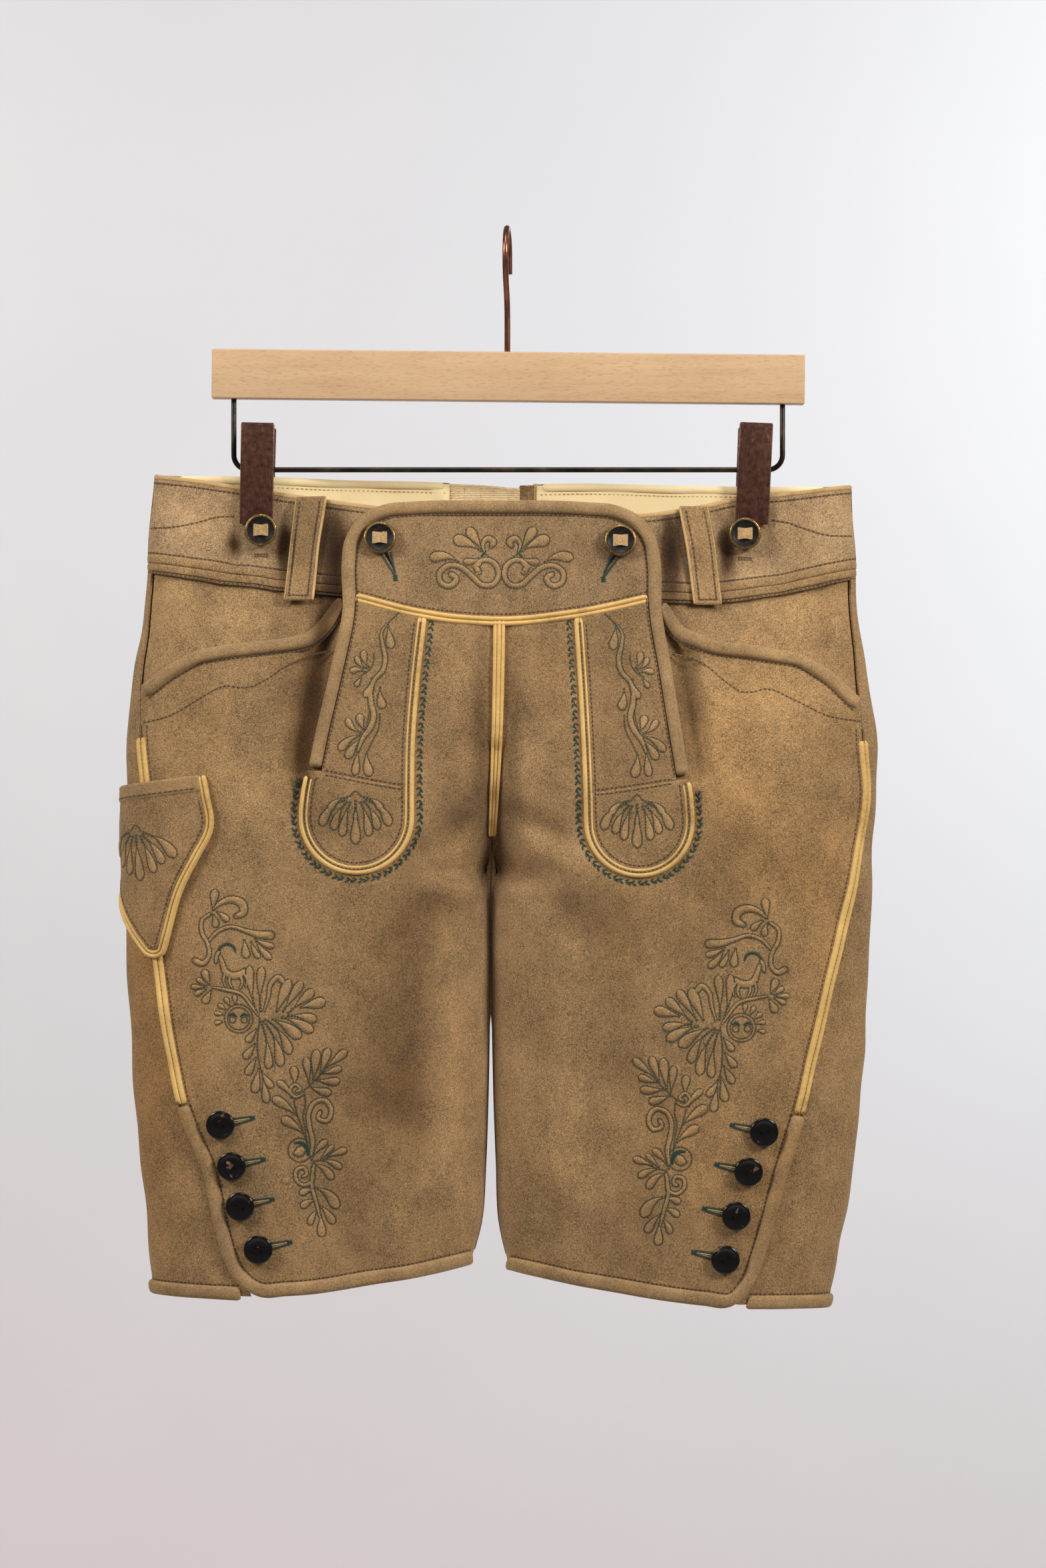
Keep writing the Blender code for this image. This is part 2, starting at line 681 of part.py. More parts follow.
def band_behind(side, drop=0.0, rise=0.0, first_column=0):
    """Rows of the back waistband, from the side fold to the centre back adjuster."""
    grid = []
    end = arc_of_back(side, BACK_BAND_END[side], BAND_MIDDLE)
    for row in BAND_ROWS:
        line = []
        for share in dense_ends(13)[first_column:]:
            arc = -SEAM_GAP / 2 + (end + SEAM_GAP / 2) * share
            x = around(side, arc, BAND_MIDDLE)[0]
            top = float(WAIST.at("back_top", x)) - drop
            z = top + (float(WAIST.at("back_bottom", x)) + rise - top) * row
            if share > 0:
                arc = arc_of_back(side, x, z)
            line.append(surface_around(side, arc, z))
        grid.append(line)
    return grid


def waistband_back(side):
    name = "waistband_back_" + SIDES[side]
    return cloth(name, band_behind(side), -BACK_BAND_WALL, BACK_BAND_WALL, "suede")


def waist_facing(side):
    """Pale facing inside the back waistband; it starts a little way from the side fold."""
    lift = -BACK_BAND_WALL - FACING_DEPTH - FACING_WALL
    grid = band_behind(side, 0.8, 2.5, 2)
    return cloth("waist_facing_" + SIDES[side], grid, lift, FACING_WALL, "facing")


def adjuster():
    """Centre back: ribbed loops, a ribbed tab and the suede lap, side by side in the gap."""
    for name, low, high in ADJUSTER:
        grid = []
        for row in even(0, 1, 2):
            line = []
            for x in even(low, high, 3):
                top = float(WAIST.at("back_top", x)) - 0.6
                bottom = float(WAIST.at("back_bottom", x))
                line.append(surface_front(x, top + (bottom - top) * row, "back"))
            grid.append(line)
        cloth(name, grid, -BACK_BAND_WALL, BACK_BAND_WALL, "suede" if name.endswith("lap") else "facing")


def belt_loop(side):
    sizes = BELT_LOOPS[side]
    rows = len(BELT_LOOP_LIFTS) - 1
    grid = []
    for row in even(0, 1, rows):
        x = sizes["top"][0] + (sizes["bottom"][0] - sizes["top"][0]) * row
        z = sizes["top"][1] + (sizes["bottom"][1] - sizes["top"][1]) * row
        grid.append([surface_front(x + share * sizes["width"], z) for share in (-0.5, 0.0, 0.5)])
    lifts = np.array(BELT_LOOP_LIFTS)[:, None]
    return cloth("belt_loop_" + SIDES[side], grid, lifts, BELT_LOOP_WALL, "suede")


# ---------------------------------------------------------------- drop front

def flap_lift(z):
    """How far the flap's face stands off the leg panels: it sinks to them below the side slits."""
    drop = ease((FLAP_DROP_START - np.asarray(z, float)) / (FLAP_DROP_START - FLAP_DROP_END))
    return FLAP_TOP_FACE * (1 - drop)


def flap_limit(side, z):
    return float(FLAP_SIDE.at(SIDES[side], z))


def flap_panel(side):
    """The middle of the flap, from the centre seam to the binding, below the yoke."""
    grid = []
    for row in even(0, 1, 7):
        line = []
        for share in even(0, 1, 6):
            z = -300.0
            for _ in range(6):
                inner = float(SECTIONS.at(side_column(side, "inner"), z))
                x = inner + (flap_limit(side, z) - inner) * share
                top = float(YOKE_SEAM.at("z", x)) - SEAM_GAP
                z = top + (FLAP_END - top) * row
            line.append(surface_front(x, z))
        grid.append(line)
    return cloth("flap_panel_" + SIDES[side], grid, LAY_GAP, SUEDE, "suede")


def flap_yoke():
    grid = []
    for row in even(0, 1, 5):
        line = []
        for share in even(0, 1, 12):
            z = -215.0
            for _ in range(8):
                left = flap_limit(LEFT, z)
                x = left + (flap_limit(RIGHT, z) - left) * share
                bottom = float(YOKE_SEAM.at("z", x)) + SEAM_GAP
                z = FLAP_YOKE_TOP + (bottom - FLAP_YOKE_TOP) * row
            line.append(surface_front(x, z))
        grid.append(line)
    return cloth("flap_yoke", grid, LAY_GAP, SUEDE, "suede")


def flap_binding():
    path = curve_through(FLAP_BINDING_PATH, 12.0)
    return ribbon("flap_binding", path, FLAP_BINDING_WIDTH, LAY_GAP, FLAP_BINDING_HEIGHT,
                  "binding", surface_front)


def yoke_piping():
    path = [(x, float(YOKE_SEAM.at("z", x))) for x in even(-92.8, 85.8, 14)]
    return ribbon("yoke_piping", path, PIPING_WIDTH, FLAP_TOP_FACE + LAY_GAP, PIPING_HEIGHT,
                  "piping", surface_front)


def strip_edges(side, z):
    """The strip and its lobe lie between the binding, or the piping's outer leg, and its inner leg."""
    clear = PIPING_WIDTH / 2 + SEAM_GAP
    piping = U_PIPING[side]
    inner = float(piping["inner"].at("x", z)) + side * clear
    if z > piping["end"]:
        return inner, flap_limit(side, z)
    return inner, float(piping["outer"].at("x", z)) - side * clear


def flap_strip(side):
    grid = []
    for row in even(0, 1, 7):
        line = []
        for share in even(0, 1, 3):
            z = -300.0
            for _ in range(6):
                inner, outer = strip_edges(side, max(z, U_PIPING[side]["end"] + 0.1))
                x = inner + (outer - inner) * share
                top = float(YOKE_SEAM.at("z", x)) - PIPING_WIDTH / 2 - SEAM_GAP
                z = top + (float(STRIP_BOTTOM.straight("z", x)) - top) * row
            line.append(surface_front(x, z))
        grid.append(line)
    return cloth("flap_strip_" + SIDES[side], grid, FLAP_TOP_FACE + LAY_GAP, STRIP_WALL, "suede")


def lobe_rows(side):
    """Heights and half widths of the lobe: straight sides, then a half round."""
    piping = U_PIPING[side]
    radius = piping["radius"] - PIPING_WIDTH / 2 - SEAM_GAP
    centre_x, centre_z = piping["centre"]
    for angle in even(0, 76, 5):
        turn = math.radians(angle)
        half = radius * math.cos(turn)
        yield centre_z - radius * math.sin(turn), centre_x - half, centre_x + half


def flap_lobe(side):
    piping = U_PIPING[side]
    clear = PIPING_WIDTH / 2 + SEAM_GAP
    centre_z = piping["centre"][1]
    grid = []
    for share_down in even(0, 1, 2)[:-1]:
        line = []
        inner = float(piping["inner"].at("x", centre_z)) + side * clear
        outer = float(piping["outer"].at("x", piping["end"])) - side * clear
        low, high = sorted((inner, outer))
        for share in even(0, 1, 6):
            x = low + (high - low) * share
            top = float(STRIP_BOTTOM.straight("z", x)) - SEAM_GAP
            line.append(surface_front(x, top + (centre_z - top) * share_down))
        grid.append(line)
    for z, low, high in lobe_rows(side):
        grid.append([surface_front(x, z) for x in even(low, high, 6)])
    lifts = [[float(flap_lift(point[2])) + LAY_GAP for point, _ in line] for line in grid]
    return cloth("flap_lobe_" + SIDES[side], grid, lifts, STRIP_WALL, "suede")


def u_path(side):
    """Down the strip's inner edge, round the lobe and up to the end of the flap's binding."""
    piping = U_PIPING[side]
    centre_x, centre_z = piping["centre"]
    path = [(float(piping["inner"].at("x", z)), z) for z in even(piping["top"], centre_z, 10)[:-1]]
    for angle in even(0, 180, 12):
        turn = math.radians(angle)
        path.append((centre_x - side * piping["radius"] * math.cos(turn),
                     centre_z - piping["radius"] * math.sin(turn)))
    path += [(float(piping["outer"].at("x", z)), z) for z in even(centre_z, piping["end"], 2)[1:]]
    return path


def strip_piping(side):
    path = u_path(side)
    lifts = [float(flap_lift(z)) + LAY_GAP for _, z in path]
    return ribbon("strip_piping_" + SIDES[side], path, PIPING_WIDTH, lifts, PIPING_HEIGHT,
                  "piping", surface_front)


def centre_piping():
    zs = even(CENTRE_PIPING.data[-1, 0], CENTRE_PIPING.data[0, 0], 11)
    path = [(float(SECTIONS.at("inner_left", z) + SECTIONS.at("inner_right", z)) / 2, z) for z in zs]
    lifts = [float(flap_lift(z)) + LAY_GAP for z in zs]
    widths = [float(CENTRE_PIPING.at("width", z)) for z in zs]
    return ribbon("centre_piping", path, widths, lifts, PIPING_HEIGHT, "piping", surface_front)


# ---------------------------------------------------------------- knife pocket and side trim

def knife_place(share, row, top_drop, bottom):
    """Arc length and height of a place on the pocket: share runs from edge to edge, row down."""
    z = -400.0
    for _ in range(10):
        offset = share * float(KNIFE_POCKET.at("half_width", z))
        top = KNIFE_TOP + KNIFE_TOP_SLOPE * offset - top_drop
        z = top + (bottom(top) - top) * row
    return float(KNIFE_POCKET.at("axis", z)) + offset, z


def knife_sheet(name, rows, top_drop, bottom, wall, finish):
    grid = [[surface_around(LEFT, *knife_place(share, row, top_drop, bottom)) for share in even(-1, 1, 8)]
            for row in rows]
    return cloth(name, grid, KNIFE_LIFT, wall, finish)


def knife_pocket():
    """Shield-shaped knife pocket with a folded band on top and piping round its edge."""
    rows = even(0, 1, 8)
    drop = KNIFE_BAND + SEAM_GAP
    knife_sheet("knife_pocket", rows, drop, lambda top: KNIFE_TIP, SUEDE, "suede")
    knife_sheet("knife_pocket_band", even(0, 1, 1), 0.0, lambda top: top - KNIFE_BAND, SUEDE + 0.6, "binding")
    down = [knife_place(-1, row, 0.0, lambda top: KNIFE_TIP) for row in rows]
    up = [knife_place(1, row, 0.0, lambda top: KNIFE_TIP) for row in rows[::-1]]
    edge = np.array(down + up)
    tangent = np.gradient(edge, axis=0)
    tangent /= np.linalg.norm(tangent, axis=1)[:, None]
    reach = KNIFE_PIPING_WIDTH / 2 + 2 * LAY_GAP
    path = edge + np.column_stack((tangent[:, 1], -tangent[:, 0])) * reach
    ribbon("knife_pocket_piping", path, KNIFE_PIPING_WIDTH, KNIFE_LIFT, PIPING_HEIGHT, "piping",
           lambda arc, z: surface_around(LEFT, arc, z))


def seam_path(side, top, bottom, count):
    """Points (arc length, height) along the side seam."""
    return [(float(arc_of_front(side, seam_x(side, z), z)), z) for z in even(top, bottom, count)]


def side_piping(side):
    path = seam_path(side, *SIDE_PIPING_ENDS[side], 15)
    ribbon("side_piping_" + SIDES[side], path, SIDE_PIPING_WIDTH, LAY_GAP, PIPING_HEIGHT, "piping",
           lambda arc, z: surface_around(side, arc, z))


def placket_binding(side):
    """Binding down the placket, round its corner and along the front hem to the inner leg."""
    hem = FRONT_HEM[side]
    corner_x = seam_x(side, -678.0)
    corner_z = float(hem.at("z", corner_x)) + 1.0
    path = seam_path(side, PLACKET_TOP[side], corner_z + 1.2 * HEM_CORNER_RADIUS, 9)
    inner_x = float(SECTIONS.at(side_column(side, "inner"), -664.0))
    start_x = corner_x - side * HEM_CORNER_RADIUS
    for share in even(0, 1, 14):
        x = start_x + (inner_x - start_x) * math.sin(share * math.pi / 2)
        z = float(hem.at("z", x)) + 1.0
        path.append((min(float(arc_of_front(side, x, z)), arc_ends(side, z)[0] - HEM_END_STOP), z))
    path = curve_through(path, 11.0)
    ribbon("placket_binding_" + SIDES[side], path, BINDING_WIDTH, LAY_GAP, BINDING_HEIGHT, "binding",
           lambda arc, z: surface_around(side, arc, z))


def back_hem_binding(side):
    """Binding along the back hem, from beside the placket round the fold to the inner leg."""
    path = []
    z = BACK_HEM[side]["seam"]
    start = float(arc_of_front(side, seam_x(side, z), z)) - BINDING_WIDTH / 2 - 2.5
    end = arc_ends(side, BACK_HEM[side]["inner"])[1] + HEM_END_STOP
    stops = (start, 20.0, -34.0, end + 60.0, end)
    counts = (3, 9, 7, 6)
    arcs = [np.linspace(low, high, count + 1)[:-1] for low, high, count in zip(stops, stops[1:], counts)]
    for arc in np.concatenate(arcs + [[end]]):
        path.append((arc, back_hem(side, arc, z) + 1.0))
    ribbon("back_hem_binding_" + SIDES[side], path, BINDING_WIDTH, LAY_GAP, BINDING_HEIGHT, "binding",
           lambda arc, height: surface_around(side, arc, height))


# ---------------------------------------------------------------- buttons

def turned(name, profile, place, finish, steps):
    """A body turned from a profile of (radius, height), standing along a surface normal."""
    bm = bmesh.new()
    verts = [bm.verts.new((radius * MM, 0, height * MM)) for radius, height in profile]
    edges = [bm.edges.new(pair) for pair in zip(verts, verts[1:])]
    bmesh.ops.spin(bm, geom=verts + edges, cent=(0, 0, 0), axis=(0, 0, 1), angle=2 * math.pi,
                   steps=steps, use_duplicate=False)
    bmesh.ops.remove_doubles(bm, verts=bm.verts, dist=0.00001)
    made = add_bmesh(name, bm, finish)
    made.matrix_world = place
    return made


def stand_on(point, normal, lift):
    """Local +Z along the normal, local +Y upward, at a height over the surface."""
    z_axis = Vector(normal)
    x_axis = Vector((0, 0, 1)).cross(z_axis) * -1
    x_axis.normalize()
    y_axis = z_axis.cross(x_axis)
    turn = Matrix((x_axis, y_axis, z_axis)).transposed().to_4x4()
    return Matrix.Translation(Vector(point + normal * lift) * MM) @ turn


def button_profile(shank, radius, shank_radius, thick, dish):
    """Shank, flat back, rounded rim and a dished face."""
    return ((0, -shank), (shank_radius, -shank), (shank_radius, 0), (radius * 0.86, 0),
            (radius, thick * 0.28), (radius, thick * 0.72), (radius * 0.9, thick),
            (radius * 0.78, thick - dish * 0.4), (radius * 0.7, thick - dish), (0, thick - dish))


def leg_buttons(side):
    profile = button_profile(SEWN_SHANK, **LEG_BUTTON)
    for number, (x, z) in enumerate(LEG_BUTTONS[side], 1):
        point, normal = surface_around(side, float(arc_of_front(side, x, z)), z)
        place = stand_on(point, normal, BUTTON_STANDOFF + SEWN_SHANK)
        turned("leg_button_%s_%d" % (SIDES[side], number), profile, place, "horn", 16)


def waist_button(name, x, z, over, shank):
    """Rimmed button with a suede thong across its face."""
    profile = button_profile(shank, **WAIST_BUTTON)
    place = stand_on(*surface_front(x, z), over + BUTTON_STANDOFF + shank)
    button = turned(name, profile, place, "rimmed_horn", 18)
    width, height, wall = THONG
    bm = bmesh.new()
    face = WAIST_BUTTON["thick"] - WAIST_BUTTON["dish"]
    seat = Matrix.Translation((0, 0, (face + wall / 2 - THONG_SINK) * MM))
    bmesh.ops.create_cube(bm, size=MM, matrix=seat @ Matrix.Diagonal((width, height, wall, 1)))
    thong = add_bmesh(name + ".thong", bm, "suede")
    thong.matrix_world = place
    thong.hide_render = True
    thong.display_type = "WIRE"
    union = button.modifiers.new("thong", "BOOLEAN")
    union.operation = "UNION"
    union.object = thong


# ---------------------------------------------------------------- hanger

def tube(name, points, radius, finish, sides=2):
    data = bpy.data.curves.new(name, "CURVE")
    data.dimensions = "3D"
    data.bevel_depth = radius * MM
    data.bevel_resolution = sides
    data.use_fill_caps = True
    spline = data.splines.new("POLY")
    spline.points.add(len(points) - 1)
    for spot, point in zip(spline.points, points):
        spot.co = (*(Vector(point) * MM), 1)
    return add_object(name, data, finish)


def hook():
    """Swivel hook in the plane x = 0: it rises in front of the rail and ends behind it."""
    radius = HOOK_INNER_RADIUS + HOOK_WIRE
    centre_z = HOOK_WIRE - radius
    points = [(0, radius - 1.2, HOOK_TAIL), (0, radius - 0.3, (HOOK_TAIL + centre_z) / 2)]
    for angle in even(0, 180, 16):
        turn = math.radians(angle)
        points.append((0, radius * math.cos(turn), centre_z + radius * math.sin(turn)))
    for share in even(0, 1, 10)[1:]:
        points.append((0, -radius * (1 - float(ease(share))), centre_z + (HOOK_NECK - centre_z) * share))
    bar_top = BAR_CENTRE[2] + BAR_SIZE[2] / 2
    points.append((0, 0, bar_top + SEAM_GAP))
    return tube("hanger_hook", points, HOOK_WIRE, "copper", 3)


def bar():
    bm = bmesh.new()
    bmesh.ops.create_cube(bm, size=MM, matrix=Matrix.Diagonal((*BAR_SIZE, 1)))
    made = add_bmesh("hanger_bar", bm, "beech")
    made.location = Vector(BAR_CENTRE) * MM
    made.rotation_euler = (0, math.radians(BAR_TILT), 0)
    bevel = made.modifiers.new("edges", "BEVEL")
    bevel.width = BAR_BEVEL * MM
    bevel.segments = 2
    return made


def wire_frame():
    """U-shaped wire under the bar."""
    left, right = FRAME_X
    slope = math.tan(math.radians(BAR_TILT))
    under = BAR_CENTRE[2] - BAR_SIZE[2] / 2 / math.cos(math.radians(BAR_TILT)) - SEAM_GAP
    points = [(left, 0, under - slope * (left - BAR_CENTRE[0]) - FRAME_WIRE * slope)]
    for centre_x, start in ((left + FRAME_BEND, 180), (right - FRAME_BEND, 270)):
        for angle in even(start, start + 90, 6):
            turn = math.radians(angle)
            points.append((centre_x + FRAME_BEND * math.cos(turn), 0,
                           FRAME_Z + FRAME_BEND + FRAME_BEND * math.sin(turn)))
    points.append((right, 0, under - slope * (right - BAR_CENTRE[0]) - FRAME_WIRE * slope))
    return tube("hanger_wire", points, FRAME_WIRE, "bronze")


def flange_depth(z, inside):
    """How near the middle plane a flange ends: its ear reaches in to the wire, the rest is a low rim."""
    if z < CLIP_EARS[0]:
        return inside - CLIP_JAW_RIM
    if z < CLIP_EARS[1]:
        return FRAME_WIRE + CLIP_WIRE_GAP
    return inside - CLIP_RIM


def clip_leaf(side, face):
    """One leaf of a clip: a plate with side flanges, pressed on the waist at its lower end."""
    if face == "front":
        out, press, top = -1, CLIP_FRONT_DEPTH, CLIP_TOP
    else:
        out, press, top = 1, CLIP_BACK_DEPTH, CLIP_TOP - CLIP_BACK_DROP
    press += 1.5 * LAY_GAP
    half = CLIP_WIDTH / 2
    bm = bmesh.new()
    rings = []
    for z in (top, *CLIP_ROWS):
        share = (z - CLIP_BOTTOM) / (CLIP_TOP - CLIP_BOTTOM)
        inside = press + (CLIP_SPREAD - press) * share
        flange = flange_depth(z, inside)
        centre = CLIP_X[side] + CLIP_LEAN[side] * (share - 0.2)
        outline = ((-half, flange), (-half, inside + CLIP_PLATE), (half, inside + CLIP_PLATE),
                   (half, flange), (half - CLIP_PLATE, flange), (half - CLIP_PLATE, inside),
                   (CLIP_PLATE - half, inside), (CLIP_PLATE - half, flange))
        rings.append([bm.verts.new(Vector((centre + x, out * y, z)) * MM) for x, y in outline])
    for ring, following in zip(rings, rings[1:]):
        for i in range(len(ring)):
            j = (i + 1) % len(ring)
            bm.faces.new((ring[i], ring[j], following[j], following[i]))
    bm.faces.new(rings[0])
    bm.faces.new(rings[-1])
    bmesh.ops.triangulate(bm, faces=[f for f in bm.faces if len(f.verts) > 4])
    return add_bmesh("clip_%s_%s" % (SIDES[side], face), bm, "antique_copper", 30)


# ---------------------------------------------------------------- assembly

def clear_scene():
    for found in list(bpy.data.objects):
        bpy.data.objects.remove(found, do_unlink=True)


def main():
    clear_scene()
    for side in SIDES:
        front_panel(side)
        back_panel(side)
        pocket_facing(side)
        pocket_edge(side)
        waistband_front(side)
        waistband_back(side)
        waist_facing(side)
        belt_loop(side)
        flap_panel(side)
        flap_strip(side)
        flap_lobe(side)
        strip_piping(side)
        side_piping(side)
        placket_binding(side)
        back_hem_binding(side)
        leg_buttons(side)
        clip_leaf(side, "front")
        clip_leaf(side, "back")
    adjuster()
    flap_yoke()
    flap_binding()
    yoke_piping()
    centre_piping()
    knife_pocket()
    for row in WAIST_BUTTONS:
        waist_button(*row)
    hook()
    bar()
    wire_frame()


main()
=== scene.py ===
"""Dresses a pair of short suede breeches, hanging from a clip hanger, in its cloth and trim.

The form's sizes are in millimetres, as a cutter would note them; a mesh is made in metres.
+Z is up and the front faces -Y.  Left and right are those of someone who looks at the front.
"""
import json
import math

import bmesh
import bpy
import numpy as np
from mathutils import Matrix, Vector

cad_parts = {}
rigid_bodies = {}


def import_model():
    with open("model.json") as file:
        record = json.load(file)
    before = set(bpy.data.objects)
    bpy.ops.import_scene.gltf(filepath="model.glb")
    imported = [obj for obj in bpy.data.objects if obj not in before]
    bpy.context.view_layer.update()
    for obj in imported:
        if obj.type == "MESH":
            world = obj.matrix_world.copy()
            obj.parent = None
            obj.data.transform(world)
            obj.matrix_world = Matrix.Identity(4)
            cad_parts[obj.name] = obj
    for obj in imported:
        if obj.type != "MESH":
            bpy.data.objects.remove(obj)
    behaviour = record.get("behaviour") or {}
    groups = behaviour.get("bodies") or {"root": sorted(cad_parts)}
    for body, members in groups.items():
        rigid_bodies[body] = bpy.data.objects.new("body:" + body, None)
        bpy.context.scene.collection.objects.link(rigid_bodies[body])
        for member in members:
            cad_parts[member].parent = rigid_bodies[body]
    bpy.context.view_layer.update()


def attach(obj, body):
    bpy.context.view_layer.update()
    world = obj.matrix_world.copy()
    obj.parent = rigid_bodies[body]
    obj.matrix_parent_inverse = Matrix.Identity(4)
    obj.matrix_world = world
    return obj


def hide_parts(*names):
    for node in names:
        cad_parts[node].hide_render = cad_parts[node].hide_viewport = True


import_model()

bl_info = {
    "name": "Suede breeches on a clip hanger",
    "version": (1, 0, 0),
    "blender": (4, 5, 0),
    "location": "3D View > Sidebar > Breeches",
    "description": "Suede shells, piping, embroidery, horn buttons and a beech hanger for the packed breeches",
    "category": "Add Mesh",
}

MM = 0.001
LEFT = -1
RIGHT = 1
SIDES = {LEFT: "left", RIGHT: "right"}

# Walls of cloth and the gaps between its layers
SUEDE = 1.6
BAND_WALL = 2.2
BACK_BAND_WALL = 1.8
STRIP_WALL = 1.2
LAY_GAP = 0.6
SEAM_GAP = 0.3
FLAP_FACE = LAY_GAP + SUEDE
STRIP_FACE = FLAP_FACE + LAY_GAP + STRIP_WALL

# The clips pinch the waist flat
CLIP_X = {LEFT: -161.5, RIGHT: 158.0}
CLIP_FRONT_DEPTH = 2.6
CLIP_BACK_DEPTH = 4.4
PINCH_FLAT = 17.0
PINCH_FADE = 24.0
PINCH_TOP = -195.0
PINCH_END = -272.0
CROTCH = -425.0
CENTRE_DEPTH = 2.4


def smooth(keys, values, key):
    """Read a curve through the rows of a table, without corners."""
    key = np.clip(key, keys[0], keys[-1])
    row = np.clip(np.searchsorted(keys, key, side="right") - 1, 0, len(keys) - 2)
    slope = np.gradient(values, keys)
    step = keys[row + 1] - keys[row]
    t = (key - keys[row]) / step
    rise = values[row + 1] - values[row]
    start = slope[row] * step
    end = slope[row + 1] * step
    return values[row] + t * (start + t * (3 * rise - 2 * start - end + t * (start + end - 2 * rise)))


class Table:
    """Short rows of sizes with named columns, read by the first column."""

    def __init__(self, columns, rows):
        self.columns = columns
        self.data = np.array(sorted(rows), float)

    def at(self, name, key):
        return smooth(self.data[:, 0], self.data[:, self.columns.index(name)], key)

    def straight(self, name, key):
        return np.interp(key, self.data[:, 0], self.data[:, self.columns.index(name)])


# Outline and depth of the form, at heights from the waist to the hems.
# round_out and round_in are how far from the side fold and from the inner edge the full depth lies;
# valley is 0 where the front runs level across the middle and 1 where the legs are apart.
SECTIONS = Table(
    ("z", "outer_left", "inner_left", "inner_right", "outer_right",
     "front", "back", "round_out", "round_in", "valley"),
    (
        (-150, -227.0, -4.3, -3.7, 220.0, 11, 12, 28, 40, 0.00),
        (-200, -230.7, -4.6, -4.0, 223.9, 15, 16, 34, 40, 0.00),
        (-240, -233.5, -5.2, -4.6, 225.0, 21, 23, 44, 40, 0.00),
        (-280, -239.9, -5.7, -5.1, 230.9, 27, 31, 58, 42, 0.00),
        (-320, -245.0, -6.6, -6.0, 238.0, 31, 37, 72, 45, 0.06),
        (-360, -245.2, -8.4, -7.8, 237.6, 34, 40, 84, 50, 0.26),
        (-400, -245.3, -10.3, -9.7, 235.7, 35, 41, 90, 56, 0.72),
        (-425, -245.6, -11.2, -10.2, 234.9, 35, 40, 92, 62, 1.00),
        (-480, -244.9, -11.4, -10.0, 232.6, 35, 37, 95, 70, 1.00),
        (-520, -242.7, -11.8, -9.4, 230.7, 34, 35, 95, 75, 1.00),
        (-560, -240.2, -12.6, -8.5, 227.7, 33, 34, 92, 78, 1.00),
        (-600, -236.1, -14.0, -7.0, 223.4, 32, 32, 88, 78, 1.00),
        (-640, -232.6, -17.0, -5.0, 217.2, 31, 31, 85, 76, 1.00),
        (-665, -229.8, -23.5, 0.5, 212.5, 30, 30, 82, 74, 1.00),
        (-700, -226.5, -31.0, 8.0, 204.0, 29, 29, 80, 72, 1.00),
    ))

# The seam between the front and back panels, which comes forward to the leg placket
SIDE_SEAM = Table(
    ("z", "left", "right"),
    (
        (-210, -228.0, 220.0),
        (-240, -230.5, 221.0),
        (-283, -234.6, 225.0),
        (-327, -235.0, 227.8),
        (-362, -231.4, 230.0),
        (-408, -228.5, 223.8),
        (-454, -225.3, 213.5),
        (-496, -219.9, 203.2),
        (-530, -214.5, 195.5),
        (-565, -206.5, 187.0),
        (-602, -191.1, 175.8),
        (-638, -183.0, 165.8),
        (-664, -174.8, 158.0),
        (-678, -166.2, 151.8),
        (-695, -158.0, 143.0),
    ))
SIDE_PIPING_ENDS = {LEFT: (-327.0, -561.0), RIGHT: (-329.0, -567.0)}
PLACKET_TOP = {LEFT: -566.0, RIGHT: -572.0}

# Top and bottom of the waistband, in front and behind
WAIST = Table(
    ("x", "front_top", "front_bottom", "back_top", "back_bottom"),
    (
        (-230, -157.6, -213.7, -157.6, -213.7),
        (-172, -165.1, -221.5, -158.8, -214.8),
        (-143, -169.8, -225.0, -159.6, -215.2),
        (-104, -176.0, -229.2, -160.5, -216.0),
        (-60, -181.0, -231.0, -161.3, -217.0),
        (-4, -181.5, -231.8, -163.4, -218.0),
        (50, -182.0, -232.4, -162.6, -218.4),
        (88, -183.5, -233.0, -163.5, -219.0),
        (127, -177.2, -233.4, -164.8, -220.0),
        (146, -172.9, -232.0, -165.3, -220.4),
        (185, -168.8, -225.5, -165.3, -220.0),
        (222, -164.5, -217.8, -164.5, -217.8),
    ))
BAND_MIDDLE = -190.0
BACK_BAND_END = {LEFT: -37.8, RIGHT: 19.2}

# Upper edge of the leg panels: the slanted pocket mouths, then the waist seam under the flap
FRONT_TOP = {
    LEFT: Table(("x", "z"), (
        (-237.0, -299.5), (-232.9, -293.3), (-219.5, -281.7), (-199.7, -271.3), (-178.7, -267.9),
        (-158.9, -265.3), (-129.2, -261.9), (-119.3, -253.7), (-114.2, -243.5), (-108.0, -236.0),
        (-98.0, -230.6), (0.0, -232.4))),
    RIGHT: Table(("x", "z"), (
        (-10.0, -232.4), (92.0, -234.0), (101.7, -239.0), (111.6, -257.1), (131.4, -265.3),
        (155.9, -267.9), (189.0, -273.5), (210.5, -286.8), (226.0, -302.3), (232.0, -310.0))),
}
POCKET_MOUTH_X = {LEFT: (-234.5, -107.0), RIGHT: (100.5, 226.5)}
POCKET_ROLL_WIDTH = 8.4
POCKET_UNDERLAP = 12.0

# Lower edge of the leg panels; the hem binding hangs a little below it
FRONT_HEM = {
    LEFT: Table(("x", "z"), (
        (-166.0, -681.2), (-133.5, -679.9), (-85.0, -672.9), (-24.0, -662.4))),
    RIGHT: Table(("x", "z"), (
        (0.0, -665.2), (59.4, -676.1), (85.0, -680.7), (105.0, -683.8), (132.0, -686.8), (152.0, -687.0))),
}
BACK_HEM = {
    LEFT: {"seam": -683.4, "fold": -681.0, "inner": -662.6},
    RIGHT: {"seam": -688.6, "fold": -690.0, "inner": -665.6},
}
HEM_CORNER_RADIUS = 9.0
HEM_END_STOP = 5.0
BINDING_WIDTH = 8.6

